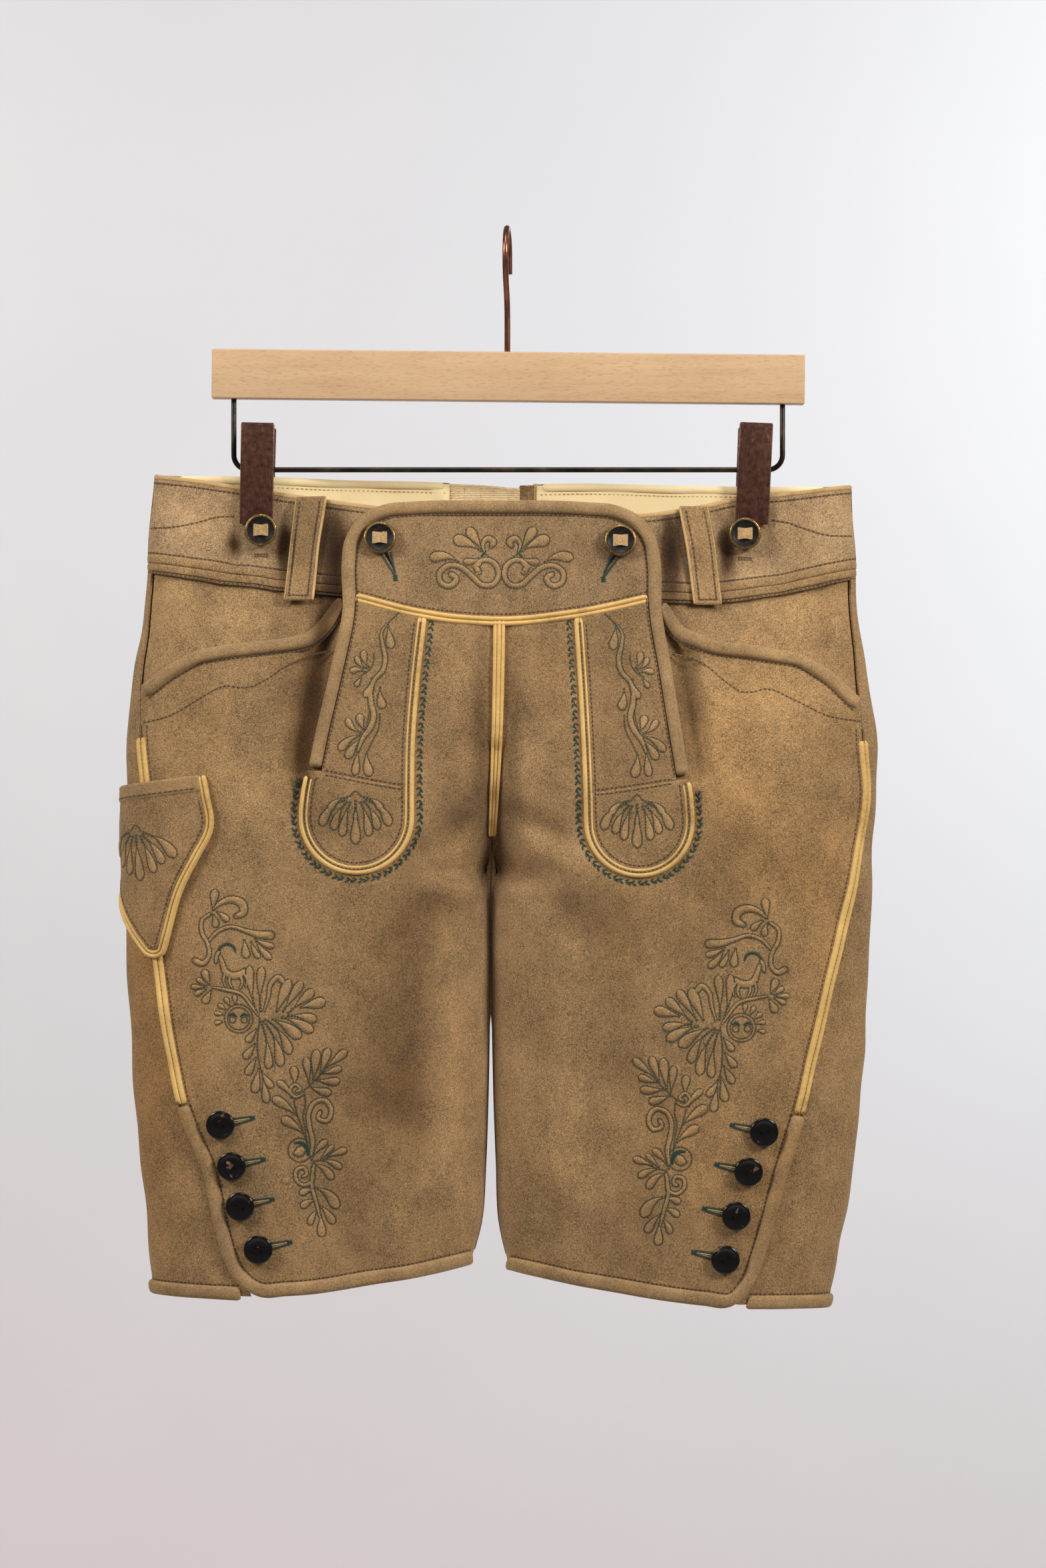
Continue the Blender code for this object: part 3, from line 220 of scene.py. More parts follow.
# Inner edge of the flap's binding, down both sides
FLAP_SIDE = Table(
    ("z", "left", "right"),
    (
        (-185.2, -70.0, 61.0),
        (-190.0, -83.6, 75.0),
        (-196.0, -90.8, 82.6),
        (-203.0, -94.4, 86.6),
        (-215.0, -96.4, 88.8),
        (-245.0, -96.2, 89.4),
        (-284.0, -103.4, 95.6),
        (-325.0, -112.8, 102.2),
        (-361.0, -120.4, 108.6),
    ))
FLAP_BINDING_PATH = (
    (-122.3, -346.0), (-118.0, -325.0), (-108.6, -284.0), (-101.2, -245.0), (-101.6, -215.0),
    (-99.8, -201.0), (-92.5, -189.0), (-79.0, -181.6), (-60.0, -179.6), (-4.0, -178.8),
    (51.0, -180.0), (70.0, -182.2), (84.5, -190.0), (91.8, -202.0), (94.0, -215.0),
    (94.6, -245.0), (100.8, -284.0), (107.3, -325.0), (111.6, -351.0))
FLAP_BINDING_WIDTH = 8.8
FLAP_YOKE_TOP = -185.2
FLAP_DROP_START = -366.0
FLAP_DROP_END = -388.0
YOKE_SEAM = Table(
    ("x", "z"),
    ((-97.0, -237.6), (-57.0, -247.7), (-4.9, -252.8), (42.8, -248.4), (90.0, -238.4)))
STRIP_BOTTOM = Table(
    ("x", "z"),
    ((-120.0, -348.4), (-66.0, -358.4), (54.0, -362.0), (110.0, -354.0)))

# The piping that runs down the inner edge of each strip and round its lobe
U_PIPING = {
    LEFT: {
        "inner": Table(("z", "x"), ((-249.0, -54.4), (-285.0, -58.5), (-324.0, -61.7), (-377.6, -62.6))),
        "outer": Table(("z", "x"), ((-352.0, -126.2), (-365.0, -128.6), (-377.6, -129.6))),
        "top": -253.6, "centre": (-96.1, -377.6), "radius": 33.5, "end": -352.0},
    RIGHT: {
        "inner": Table(("z", "x"), ((-249.0, 45.6), (-300.0, 49.0), (-349.0, 51.4), (-381.0, 52.3))),
        "outer": Table(("z", "x"), ((-352.0, 113.2), (-366.0, 115.4), (-381.0, 116.3))),
        "top": -254.0, "centre": (84.3, -381.0), "radius": 32.0, "end": -356.0},
}
PIPING_WIDTH = 6.0
CENTRE_PIPING = Table(("z", "width"), ((-255.0, 7.6), (-330.0, 7.0), (-366.0, 6.0), (-392.0, 4.4)))

# Knife pocket: a shield whose middle line lies at arc length axis from the side fold
KNIFE_POCKET = Table(
    ("z", "axis", "half_width"),
    (
        (-350.0, 20.0, 40.5),
        (-364.0, 20.0, 43.5),
        (-384.0, 20.5, 45.5),
        (-400.0, 21.5, 36.5),
        (-424.0, 23.5, 22.5),
        (-450.0, 28.5, 9.5),
        (-460.0, 31.0, 4.0),
        (-464.0, 32.0, 1.5),
    ))
KNIFE_TOP = -357.0
KNIFE_TOP_SLOPE = 0.12
KNIFE_TIP = -462.0
KNIFE_BAND = 8.6
KNIFE_LIFT = 2.8
KNIFE_PIPING_WIDTH = 4.6

BELT_LOOPS = {
    LEFT: {"top": (-125.4, -172.4), "bottom": (-133.6, -239.0), "width": 18.0},
    RIGHT: {"top": (119.0, -178.8), "bottom": (128.4, -241.6), "width": 16.6},
}
BELT_LOOP_LIFTS = (1.6, 2.6, 3.2, 3.0, 2.2, 1.2)
BELT_LOOP_WALL = 2.0

LEG_BUTTONS = {
    LEFT: ((-182.4, -574.0), (-175.4, -600.4), (-170.0, -626.0), (-158.6, -653.4)),
    RIGHT: ((163.4, -578.6), (153.6, -603.8), (145.8, -632.0), (139.0, -659.8)),
}
WAIST_BUTTONS = {
    "brace_button_left": (-158.5, -193.1),
    "flap_button_left": (-81.7, -199.3),
    "flap_button_right": (72.5, -201.2),
    "brace_button_right": (152.9, -195.4),
}


# ---------------------------------------------------------------- the form

def quarter(t):
    """A quarter round: 0 at t = 0, 1 from t = 1 on."""
    return np.sqrt(np.clip(1 - (1 - np.clip(t, 0, 1)) ** 2, 0, 1))


def ease(t):
    t = np.clip(t, 0, 1)
    return t * t * (3 - 2 * t)


def bell(distance, half):
    return np.exp(-(distance / half) ** 2)


def pinch(side, x, z):
    """How much the clip on this side presses the form flat: 1 under the clip, 0 far from it."""
    away = np.maximum(0, np.abs(x - CLIP_X[side]) - PINCH_FLAT) / PINCH_FADE
    return np.exp(-away ** 2) * (1 - ease((PINCH_TOP - z) / (PINCH_TOP - PINCH_END)))


def depth(side, x, z, face):
    """Distance of the cloth's outer surface from the middle plane, in front or behind."""
    outer = SECTIONS.at("outer_" + SIDES[side], z)
    inner = SECTIONS.at("inner_" + SIDES[side], z)
    from_fold = side * (outer - x) / SECTIONS.at("round_out", z)
    from_inner = np.clip(side * (x - inner) / SECTIONS.at("round_in", z), 0, 1)
    valley = np.clip(SECTIONS.at("valley", z), 0, 1)
    closing = np.clip((valley - 0.85) / 0.15, 0, 1)
    inner_rise = (1 - closing) * np.sin(from_inner * math.pi / 2) ** 2 + closing * quarter(from_inner)
    form = SECTIONS.at(face, z) * quarter(from_fold) * (1 - valley * (1 - inner_rise))
    least = np.where(z > CROTCH, CENTRE_DEPTH, 0.0)
    form = np.where(from_inner < 1, np.maximum(form, least), form)
    flat = CLIP_FRONT_DEPTH if face == "front" else CLIP_BACK_DEPTH
    press = pinch(side, x, z) * quarter(from_fold)
    return form * (1 - press) + np.minimum(flat, form) * press


NET_TOP = -146.0
NET_STEP = 2.0
NET_ROWS = 282
NET_HALF = 160


def unit(vectors):
    return vectors / np.maximum(np.linalg.norm(vectors, axis=-1, keepdims=True), 1e-9)


class Net:
    """One side's outer surface as a fine net: rows by height, columns by share of the way round.
    Arc length runs from the side fold, positive in front."""

    def __init__(self, side):
        self.side = side
        share = np.linspace(0, 1, NET_HALF + 1)
        spots = (1 - np.cos(np.linspace(0, math.pi, 90))) / 2
        self.points = np.zeros((NET_ROWS, 2 * NET_HALF + 1, 3))
        self.ends = np.zeros((NET_ROWS, 2))
        for row in range(NET_ROWS):
            z = NET_TOP - NET_STEP * row
            outer = SECTIONS.at("outer_" + SIDES[side], z)
            inner = SECTIONS.at("inner_" + SIDES[side], z)
            x = outer + (inner - outer) * spots
            for which, face, out in ((0, "front", -1), (1, "back", 1)):
                y = out * depth(side, x, z, face)
                arc = np.concatenate(([0], np.cumsum(np.hypot(np.diff(x), np.diff(y)))))
                columns = NET_HALF + (np.arange(NET_HALF + 1) * (1 if which == 0 else -1))
                self.points[row, columns, 0] = np.interp(share * arc[-1], arc, x)
                self.points[row, columns, 1] = np.interp(share * arc[-1], arc, y)
                self.points[row, columns, 2] = z
                self.ends[row, which] = arc[-1]
        across = np.gradient(self.points, axis=1)
        down = np.gradient(self.points, axis=0)
        self.normals = unit(side * np.cross(across, down))

    def row_of(self, z):
        return np.clip((NET_TOP - np.asarray(z, float)) / NET_STEP, 0, NET_ROWS - 1.001)

    def end(self, z, face):
        return np.interp(self.row_of(z), np.arange(NET_ROWS), self.ends[:, 0 if face == "front" else 1])

    def read(self, arc, z):
        """Points and outward normals."""
        arc, z = np.broadcast_arrays(np.asarray(arc, float), np.asarray(z, float))
        share = np.where(arc >= 0, arc / self.end(z, "front"), arc / self.end(z, "back"))
        column = np.clip(NET_HALF * (1 + share), 0, 2 * NET_HALF - 0.001)
        row = self.row_of(z)
        c = column.astype(int)
        r = row.astype(int)
        u = (column - c)[..., None]
        v = (row - r)[..., None]
        read = []
        for grid in (self.points, self.normals):
            upper = grid[r, c] * (1 - u) + grid[r, c + 1] * u
            lower = grid[r + 1, c] * (1 - u) + grid[r + 1, c + 1] * u
            read.append(upper * (1 - v) + lower * v)
        read[0][..., 2] = z
        return read[0], unit(read[1])

    def arc_of(self, x, z, face="front"):
        """The arc length at which the front, or the back, passes a given x."""
        x, z = np.broadcast_arrays(np.asarray(x, float), np.asarray(z, float))
        sign = 1 if face == "front" else -1
        low = np.zeros(x.shape)
        high = self.end(z, face).copy()
        for _ in range(20):
            middle = (low + high) / 2
            passed = self.side * (self.read(sign * middle, z)[0][..., 0] - x) > 0
            low = np.where(passed, middle, low)
            high = np.where(passed, high, middle)
        return sign * (low + high) / 2


NETS = {side: Net(side) for side in SIDES}


def band_x(side, arc):
    """x of places on the level of the waistband's middle, given by arc length."""
    return NETS[side].read(arc, np.full(arc.shape, BAND_MIDDLE))[0][:, 0]


# ---------------------------------------------------------------- folds, painted shade and patina

# Soft folds: from (x0, z0) to (x1, z1), half width and height; a trough has a negative height
FOLDS = {
    "front": (
        # x0, z0, x1, z1, half, height
        (-123, -262, -146, -352, 10, 1.6), (120, -266, 136, -352, 10, 2.5),
        (-7, -336, -9, -384, 5, -4.5), (-9, -392, -11, -430, 6, -5.0),
        (-24, -348, -26, -402, 10, 3.2), (10, -348, 14, -402, 10, 3.2),
        (-14, -366, -52, -398, 7, -3.4), (-56, -384, -30, -426, 12, 2.8),
        (-14, -410, -64, -452, 11, -3.0), (2, -372, 34, -392, 7, -3.2),
        (4, -410, 56, -452, 12, -3.0), (26, -398, 68, -420, 13, 2.6),
        (-60, -438, -66, -560, 15, -2.8), (-94, -420, -108, -520, 18, 2.5),
        (-34, -470, -40, -610, 13, 2.6), (-120, -560, -96, -664, 15, -2.6),
        (-72, -590, -64, -668, 12, 2.3), (40, -470, 36, -606, 14, 2.8),
        (66, -440, 72, -548, 16, -2.6), (96, -570, 74, -676, 14, -2.5),
        (44, -600, 46, -668, 11, 1.9), (150, -400, 128, -470, 18, -2.3),
        (-178, -296, -168, -372, 16, 2.3), (-206, -300, -176, -330, 12, -1.9),
        (178, -300, 166, -380, 18, 2.6), (200, -236, 202, -266, 7, -2.6),
        (176, -228, 170, -260, 9, -1.6), (-186, -226, -192, -262, 9, -1.8),
        (-150, -226, -146, -258, 8, -1.6), (-196, -182, -186, -214, 8, 1.4),
        (-177, -184, -175, -212, 6, -2.4), (-143, -188, -146, -208, 5, -2.2),
        (139, -188, 141, -208, 5, -2.2), (168, -186, 166, -210, 6, -2.2),
        (186, -186, 178, -214, 8, -1.3), (-128, -186, -132, -214, 7, -1.4),
        (-30, -212, 24, -232, 22, 0.9), (-40, -262, -46, -330, 9, -0.9),
        (28, -268, 34, -342, 10, -0.9),
    ),
    "back": (
        (-6, -236, -8, -330, 10, -2.2), (-60, -236, -90, -330, 15, 2.4),
        (50, -240, 84, -336, 15, 2.2), (-128, -228, -140, -300, 12, -2.2),
        (124, -230, 138, -304, 12, -2.4), (-22, -350, -96, -398, 14, -4.3),
        (10, -352, 84, -404, 14, -4.3), (-30, -384, -110, -446, 15, 3.1),
        (18, -386, 104, -452, 15, 3.3), (-40, -440, -60, -560, 14, -3.1),
        (34, -444, 52, -566, 15, -3.1), (-104, -430, -120, -560, 18, 2.8),
        (98, -436, 112, -560, 18, 2.8), (-150, -540, -130, -668, 16, -2.8),
        (140, -548, 124, -672, 16, -2.8), (-78, -590, -70, -668, 12, 2.3),
        (72, -590, 64, -668, 12, 2.3), (-190, -300, -176, -420, 18, -2.5),
        (186, -310, 170, -424, 18, -2.6),
    ),
}
# Beside the flap the leg panels sink away from its binding
FLAP_TROUGHS = (
    (-114, -236, -136, -345, 8.0, -6.5), (106, -240, 123, -348, 7.5, -5.5), (-5, -254, -8, -392, 6.5, -1.8),
    (-30, -262, -34, -344, 14, 1.3), (22, -262, 24, -344, 14, 1.3),
)
# Uneven waves of the hide: length across, length down, phase and height
WAVES = ((61, 97, 0.4, 0.34), (38, -74, 2.1, 0.22), (83, 52, 4.0, 0.30), (29, 41, 1.3, 0.10))


def ridges(rows, x, z):
    """Summed height of soft ridges and troughs, each along its own line."""
    total = np.zeros(np.shape(x))
    for x0, z0, x1, z1, half, height in rows:
        length = math.hypot(x1 - x0, z1 - z0)
        along = ((x - x0) * (x1 - x0) + (z - z0) * (z1 - z0)) / length
        off_line = ((x - x0) * (z1 - z0) - (z - z0) * (x1 - x0)) / length
        past = np.maximum(0, np.maximum(-along, along - length))
        total += height * bell(off_line, half) * bell(past, 1.2 * half)
    return total


def folds(points, face):
    """Height of the folds at points of the front or the back."""
    x = points[..., 0]
    z = points[..., 2]
    total = ridges(FOLDS[face], x, z)
    for across, down, phase, height in WAVES:
        total += height * np.sin(2 * math.pi * (x / across + z / down) + phase)
    return total


# Painted shadows and patches of the hide's own tone: centre x and z, reach across and down, how much lighter, how
# much warmer
SHADE_AND_PATCHES = {
    # The strongly dark rows are painted shadows: beside the flap's binding, between the belt loops and the flap,
    # round the buttons and beside the centre piping
    "front": (
        (-182, -246, 34, 26, 0.25, 0.10), (-118, -262, 7, 24, -1.3, 0.2), (-124, -302, 8, 26, -1.4, 0.2),
        (-205, -330, 30, 40, 0.15, 0.35), (-160, -385, 40, 40, 0.12, 0.05), (-46, -452, 20, 60, -0.28, 0.1),
        (-30, -352, 20, 34, -0.30, 0.0), (-30, -290, 18, 34, 0.18, 0.05), (-70, -560, 34, 44, -0.42, 0.1),
        (-34, -600, 16, 60, 0.15, 0.05), (-226, -560, 34, 130, 0.0, 0.85), (-150, -640, 44, 30, -0.05, 0.15),
        (-8, -400, 12, 34, -0.4, 0.0), (22, -395, 20, 30, 0.05, 0.0), (36, -470, 26, 60, -0.18, 0.0),
        (92, -445, 40, 30, -0.12, 0.3), (142, -330, 26, 48, 0.40, 0.55), (180, -300, 34, 30, 0.35, 0.25),
        (160, -400, 40, 44, 0.10, 0.65), (115, -300, 11, 46, -0.7, 0.1), (212, -470, 30, 110, 0.22, 0.85),
        (120, -590, 50, 44, 0.08, 0.5), (60, -640, 60, 34, -0.15, 0.0), (16, -560, 14, 90, 0.14, 0.0),
        (196, -620, 34, 56, 0.0, 0.95), (-200, -190, 30, 14, 0.30, 0.0), (-146, -206, 20, 14, -0.30, 0.0),
        (190, -190, 34, 14, 0.32, 0.0), (146, -208, 22, 14, -0.22, 0.0), (186, -250, 30, 18, 0.35, 0.15),
        (128, -236, 14, 10, -0.4, 0.0), (-126, -246, 14, 12, -0.35, 0.0), (20, -280, 22, 30, -0.12, 0.05),
        (-90, -480, 32, 74, -0.28, 0.15), (-131, -342, 8, 24, -1.2, 0.2), (-136, -300, 16, 50, -0.35, 0.2),
        (-110, -236, 9, 12, -1.2, 0.2), (-111, -206, 9, 26, -2.9, 0.2), (105, -208, 7, 26, -2.9, 0.2),
        (-17, -316, 6, 56, -0.75, 0.0), (3, -316, 6, 56, -0.6, 0.0), (-66, -574, 24, 80, -0.2, 0.0),
        (-143, -206, 6, 18, -1.9, 0.2), (142, -208, 5, 18, -2.0, 0.2), (-176, -202, 4.5, 7, -1.9, 0.2),
        (-60, -215, 30, 12, -0.10, 0.0), (44, -210, 30, 14, -0.22, 0.0), (-6, -200, 24, 10, -0.15, 0.0),
    ),
    "back": (
        (-90, -300, 50, 50, -0.30, 0.10), (86, -300, 50, 50, -0.25, 0.15), (-150, -420, 50, 60, 0.20, 0.30),
        (146, -430, 50, 60, 0.22, 0.30), (-10, -380, 24, 60, -0.50, 0.0), (-60, -560, 40, 60, 0.14, 0.0),
        (70, -570, 40, 60, -0.18, 0.1), (-200, -300, 30, 60, 0.15, 0.2), (200, -310, 30, 60, 0.15, 0.2),
        (-240, -560, 34, 120, -0.1, 1.5), (-236, -420, 30, 60, -0.05, 1.2), (236, -560, 30, 110, 0.0, 0.3),
        (-140, -640, 60, 30, -0.10, 0.3), (140, -640, 60, 30, 0.10, 0.35), (0, -190, 90, 16, -0.15, 0.0),
    ),
}


def shade_and_patina(points, face):
    """How much lighter and how much warmer the hide is at each point: painted shade and highlight from the folds,
    painted shadows, and the hide's own patches of tone.
    """
    # Painted shade in the troughs of the folds and painted highlight on their ridges
    light = 0.085 * np.clip(ridges(FOLDS[face], points[..., 0], points[..., 2]), -4, 3)
    warm = np.zeros(points.shape[:-1])
    for x, z, across, down, lighter, warmer in SHADE_AND_PATCHES[face]:
        reach = np.exp(-((points[..., 0] - x) / across) ** 2 - ((points[..., 2] - z) / down) ** 2)
        light += lighter * reach
        warm += warmer * reach
    return light, warm


# ---------------------------------------------------------------- surfaces
# A surface reads two arrays of places, and gives points and outward normals.

def round_side(side, lift=0.0):
    """The form of one side, by arc length from the side fold and height."""
    def surface(arc, z):
        points, normals = NETS[side].read(arc, z)
        # A fold doesn't push the turned edges of the inner leg apart
        inner = bell(points[..., 0] + 10.7, 24.0) * (points[..., 2] < CROTCH + 60)
        facing = 1 - inner * (1 - np.abs(normals[..., 1]))
        front = folds(points, "front") * facing
        back = folds(points, "back") * facing
        share = ease((np.asarray(arc, float) + 16) / 32)
        raised = lift(points[..., 0], points[..., 2]) if callable(lift) else lift
        height = raised + front * share + back * (1 - share)
        return points + normals * height[..., None], normals
    return surface


def by_x(side, lift=0.0):
    """The front of one side, by x and height, true right up to the side fold."""
    around = round_side(side, lift)

    def surface(x, z):
        return around(NETS[side].arc_of(x, z), z)
    return surface


# Step at which the slope of the front and the back is read
SLOPE_STEP = 2.0


def centre_line(z):
    """x of the line down the middle, between the legs."""
    return (SECTIONS.at("inner_left", z) + SECTIONS.at("inner_right", z)) / 2


def middle_depth(x, z, face):
    return np.where(x < centre_line(z), depth(LEFT, x, z, face), depth(RIGHT, x, z, face))


def level(face="front", lift=0.0):
    """The front or the back, by x and height, also across the middle."""
    out = -1 if face == "front" else 1

    def surface(x, z):
        x, z = np.broadcast_arrays(np.asarray(x, float), np.asarray(z, float))
        step = SLOPE_STEP
        across = (middle_depth(x + step, z, face) - middle_depth(x - step, z, face)) / (2 * step)
        down = (middle_depth(x, z + step, face) - middle_depth(x, z - step, face)) / (2 * step)
        points = np.stack((x, out * middle_depth(x, z, face), z), axis=-1)
        normals = unit(np.stack((-across, np.full(x.shape, float(out)), -down), axis=-1))
        raised = lift(x, z) if callable(lift) else lift
        return points + normals * (folds(points, face) + raised)[..., None], normals
    return surface


def flap_lift(z):
    """How far the flap's face stands off the leg panels: it sinks to them below the side slits."""
    return FLAP_FACE * (1 - ease((FLAP_DROP_START - z) / (FLAP_DROP_START - FLAP_DROP_END)))


def flap_rise(x, z):
    """How far the leg fronts stand out where they run on up into the flap."""
    inside = np.zeros(np.shape(x))
    for side, name in SIDES.items():
        limit = side * FLAP_SIDE.at(name, z)
        inner = side * U_PIPING[side]["inner"].at("x", z)
        inside = np.where(side * x > 0, ease((limit - 3 - side * x) / (limit - 3 - inner)), inside)
    below_yoke = ease((YOKE_SEAM.at("z", x) + 2.0 - z) / 4.0)
    return flap_lift(z) * inside * below_yoke


# ---------------------------------------------------------------- meshes

# Edges of cloth that turn more sharply than this, in degrees, are shaded as corners
CLOTH_SHARP = 65


def ride_as(made, slot, *nodes):
    """The piece rides on the one body and may stand for nodes of the frame, which it hides; slot is not used."""
    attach(made, "root")
    if nodes:
        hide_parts(*nodes)


class Heap:
    """Parts of one mesh, put together from arrays."""

    def __init__(self):
        self.points = []
        self.faces = []
        self.light = []
        self.warm = []
        self.places = []
        self.count = 0

    def add(self, points, faces, light=0.0, warm=0.0, places=None):
        points = np.asarray(points, float).reshape(-1, 3)
        self.points.append(points)
        self.faces += [tuple(int(i) + self.count for i in face) for face in faces]
        self.light.append(np.broadcast_to(light, len(points)))
        self.warm.append(np.broadcast_to(warm, len(points)))
        self.places.append(np.zeros((len(points), 2)) if places is None else np.reshape(places, (-1, 2)))
        self.count += len(points)

    def make(self, name, finish, *nodes):
        """The finished piece, in metres, on the one body; it stands for the nodes that it names."""
        mesh = bpy.data.meshes.new(name)
        mesh.from_pydata((np.concatenate(self.points) * MM).tolist(), [], self.faces)
        for attribute, values in (("light", self.light), ("warm", self.warm)):
            layer = mesh.attributes.new(attribute, "FLOAT", "POINT")
            layer.data.foreach_set("value", np.concatenate(values).astype(np.float32))
        corners = np.zeros(len(mesh.loops), np.int32)
        mesh.loops.foreach_get("vertex_index", corners)
        layer = mesh.uv_layers.new(name="place")
        layer.data.foreach_set("uv", (np.concatenate(self.places) * MM)[corners].astype(np.float32).ravel())
        mesh.shade_smooth()
        mesh.set_sharp_from_angle(angle=math.radians(CLOTH_SHARP))
        made = bpy.data.objects.new(name, mesh)
        bpy.context.scene.collection.objects.link(made)
        made.data.materials.append(finish_of(finish))
        ride_as(made, slot_of(finish), *nodes)


class Seam(Heap):
    """Stitches, and a strip along them painted darker: painted shade in the groove that they pull into the hide."""

    def __init__(self, dark=0.4):
        super().__init__()
        self.groove = Heap()
        # How much darker the groove strip is painted: painted shade
        self.dark = dark

    def make(self, name, finish, *nodes):
        self.groove.make(name + "_groove", "suede")
        super().make(name, finish, *nodes)


def grid_faces(rows, columns, start=0, flip=False):
    index = start + np.arange(rows * columns).reshape(rows, columns)
    quads = np.stack((index[:-1, :-1], index[:-1, 1:], index[1:, 1:], index[1:, :-1]), -1).reshape(-1, 4)
    return quads[:, ::-1] if flip else quads


def rim_of(rows, columns):
    index = np.arange(rows * columns).reshape(rows, columns)
    return np.concatenate((index[0, :-1], index[:-1, -1], index[-1, :0:-1], index[:0:-1, 0]))


def shell(heap, a, z, surface, wall, face="front", lighter=0.0, warmer=0.0, roll=0.35, shaded_and_patched=True):
    """A sheet of cloth with a rounded edge: its outer face on the surface, its inner face a wall below.
    a and z are grids of places."""
    outer, normals = surface(a, z)
    inner = outer - normals * wall
    winding = np.cross(np.diff(outer, axis=1)[:-1], np.diff(outer, axis=0)[:, :-1])
    outward = (winding * normals[:-1, :-1]).sum() > 0
    rows, columns = a.shape
    count = rows * columns
    rim = rim_of(rows, columns)
    centre = np.roll(rim, -1), np.roll(rim, 1)
    flat_outer = outer.reshape(-1, 3)
    flat_inner = inner.reshape(-1, 3)
    along = unit(flat_outer[centre[0]] - flat_outer[centre[1]])
    aside = unit(np.cross(along, normals.reshape(-1, 3)[rim]))
    middle = (flat_outer[rim] + flat_inner[rim]) / 2
    to_middle = flat_outer.mean(0) - middle
    aside *= np.where((aside * to_middle).sum(-1, keepdims=True) > 0, -1, 1)
    middle = middle + aside * roll * wall
    faces = [*grid_faces(rows, columns, 0, not outward), *grid_faces(rows, columns, count, outward)]
    ring = 2 * count + np.arange(len(rim))
    for i in range(len(rim)):
        j = (i + 1) % len(rim)
        upper = (rim[i], ring[i], ring[j], rim[j])
        lower = (ring[i], count + rim[i], count + rim[j], ring[j])
        faces += [upper, lower] if outward else [upper[::-1], lower[::-1]]
    points = np.concatenate((flat_outer, flat_inner, middle))
    # Painted shade and highlight, and the hide's own patches, go into the light and warm attributes
    light, warm = shade_and_patina(points, face) if shaded_and_patched else (0.0, 0.0)
    place = np.stack((a, z), -1).reshape(-1, 2)
    heap.add(points, faces, light + lighter, warm + warmer, np.concatenate((place, place, place[rim])))


def beside(path):
    """Unit steps along a path on the surface and at right angles to it."""
    along = np.gradient(path, axis=0)
    along /= np.maximum(np.linalg.norm(along, axis=1)[:, None], 1e-9)
    return along, np.column_stack((-along[:, 1], along[:, 0]))


def run_of(path):
    """Length along a path up to each of its points."""
    return np.concatenate(([0], np.cumsum(np.linalg.norm(np.diff(path, axis=0), axis=1))))


def points_at(places, run, path):
    """Points on a path at places given as lengths along it."""
    return np.column_stack([np.interp(places, run, path[:, i]) for i in range(path.shape[1])])


def even_path(points, spacing, keep=1):
    """Even points on a smooth curve through a few given ones."""
    points = np.array(points, float)
    apart = np.linalg.norm(np.diff(points[:, :2], axis=0), axis=1) > 0.02
    points = points[np.concatenate(([True], apart))]
    key = run_of(points)
    fine = np.linspace(0, key[-1], max(8, int(key[-1] / 0.7)))
    curve = np.column_stack([smooth(key, points[:, i], fine) for i in range(points.shape[1])])
    run = run_of(curve)
    count = max(keep, int(round(run[-1] / spacing)))
    return points_at(np.linspace(0, run[-1], count + 1), run, curve)


def volume(points, faces):
    """Volume inside a closed mesh; it is negative where the faces point inwards."""
    points = points - points.mean(0)
    triangles = [(face[0], face[i], face[i + 1]) for face in faces for i in range(1, len(face) - 1)]
    a, b, c = (points[np.array(triangles)[:, i]] for i in range(3))
    return (a * np.cross(b, c)).sum()


# Cross sections of what is laid on: share of the width, share of the height
ROLLED = ((-0.5, 0.0), (-0.47, 0.42), (-0.38, 0.78), (-0.2, 0.97), (0.0, 1.0),
          (0.2, 0.97), (0.38, 0.78), (0.47, 0.42), (0.5, 0.0))
DOUBLE = ((-0.5, 0.0), (-0.46, 0.6), (-0.34, 0.95), (-0.16, 1.0), (-0.04, 0.72), (0.03, 0.3),
          (0.1, 0.62), (0.24, 0.78), (0.38, 0.66), (0.46, 0.4), (0.5, 0.0))
TRIPLE = ((-0.5, 0.0), (-0.45, 0.55), (-0.33, 0.8), (-0.22, 0.5), (-0.18, 0.25), (-0.12, 0.7), (0.0, 0.95),
          (0.12, 0.7), (0.18, 0.25), (0.22, 0.5), (0.33, 0.8), (0.45, 0.55), (0.5, 0.0))
GROOVE = ((-0.5, 0.0), (-0.22, 1.0), (0.22, 1.0), (0.5, 0.0))
DOMED = ((-0.5, 0.0), (-0.36, 0.5), (-0.18, 0.85), (0.0, 1.0), (0.18, 0.85), (0.36, 0.5), (0.5, 0.0))


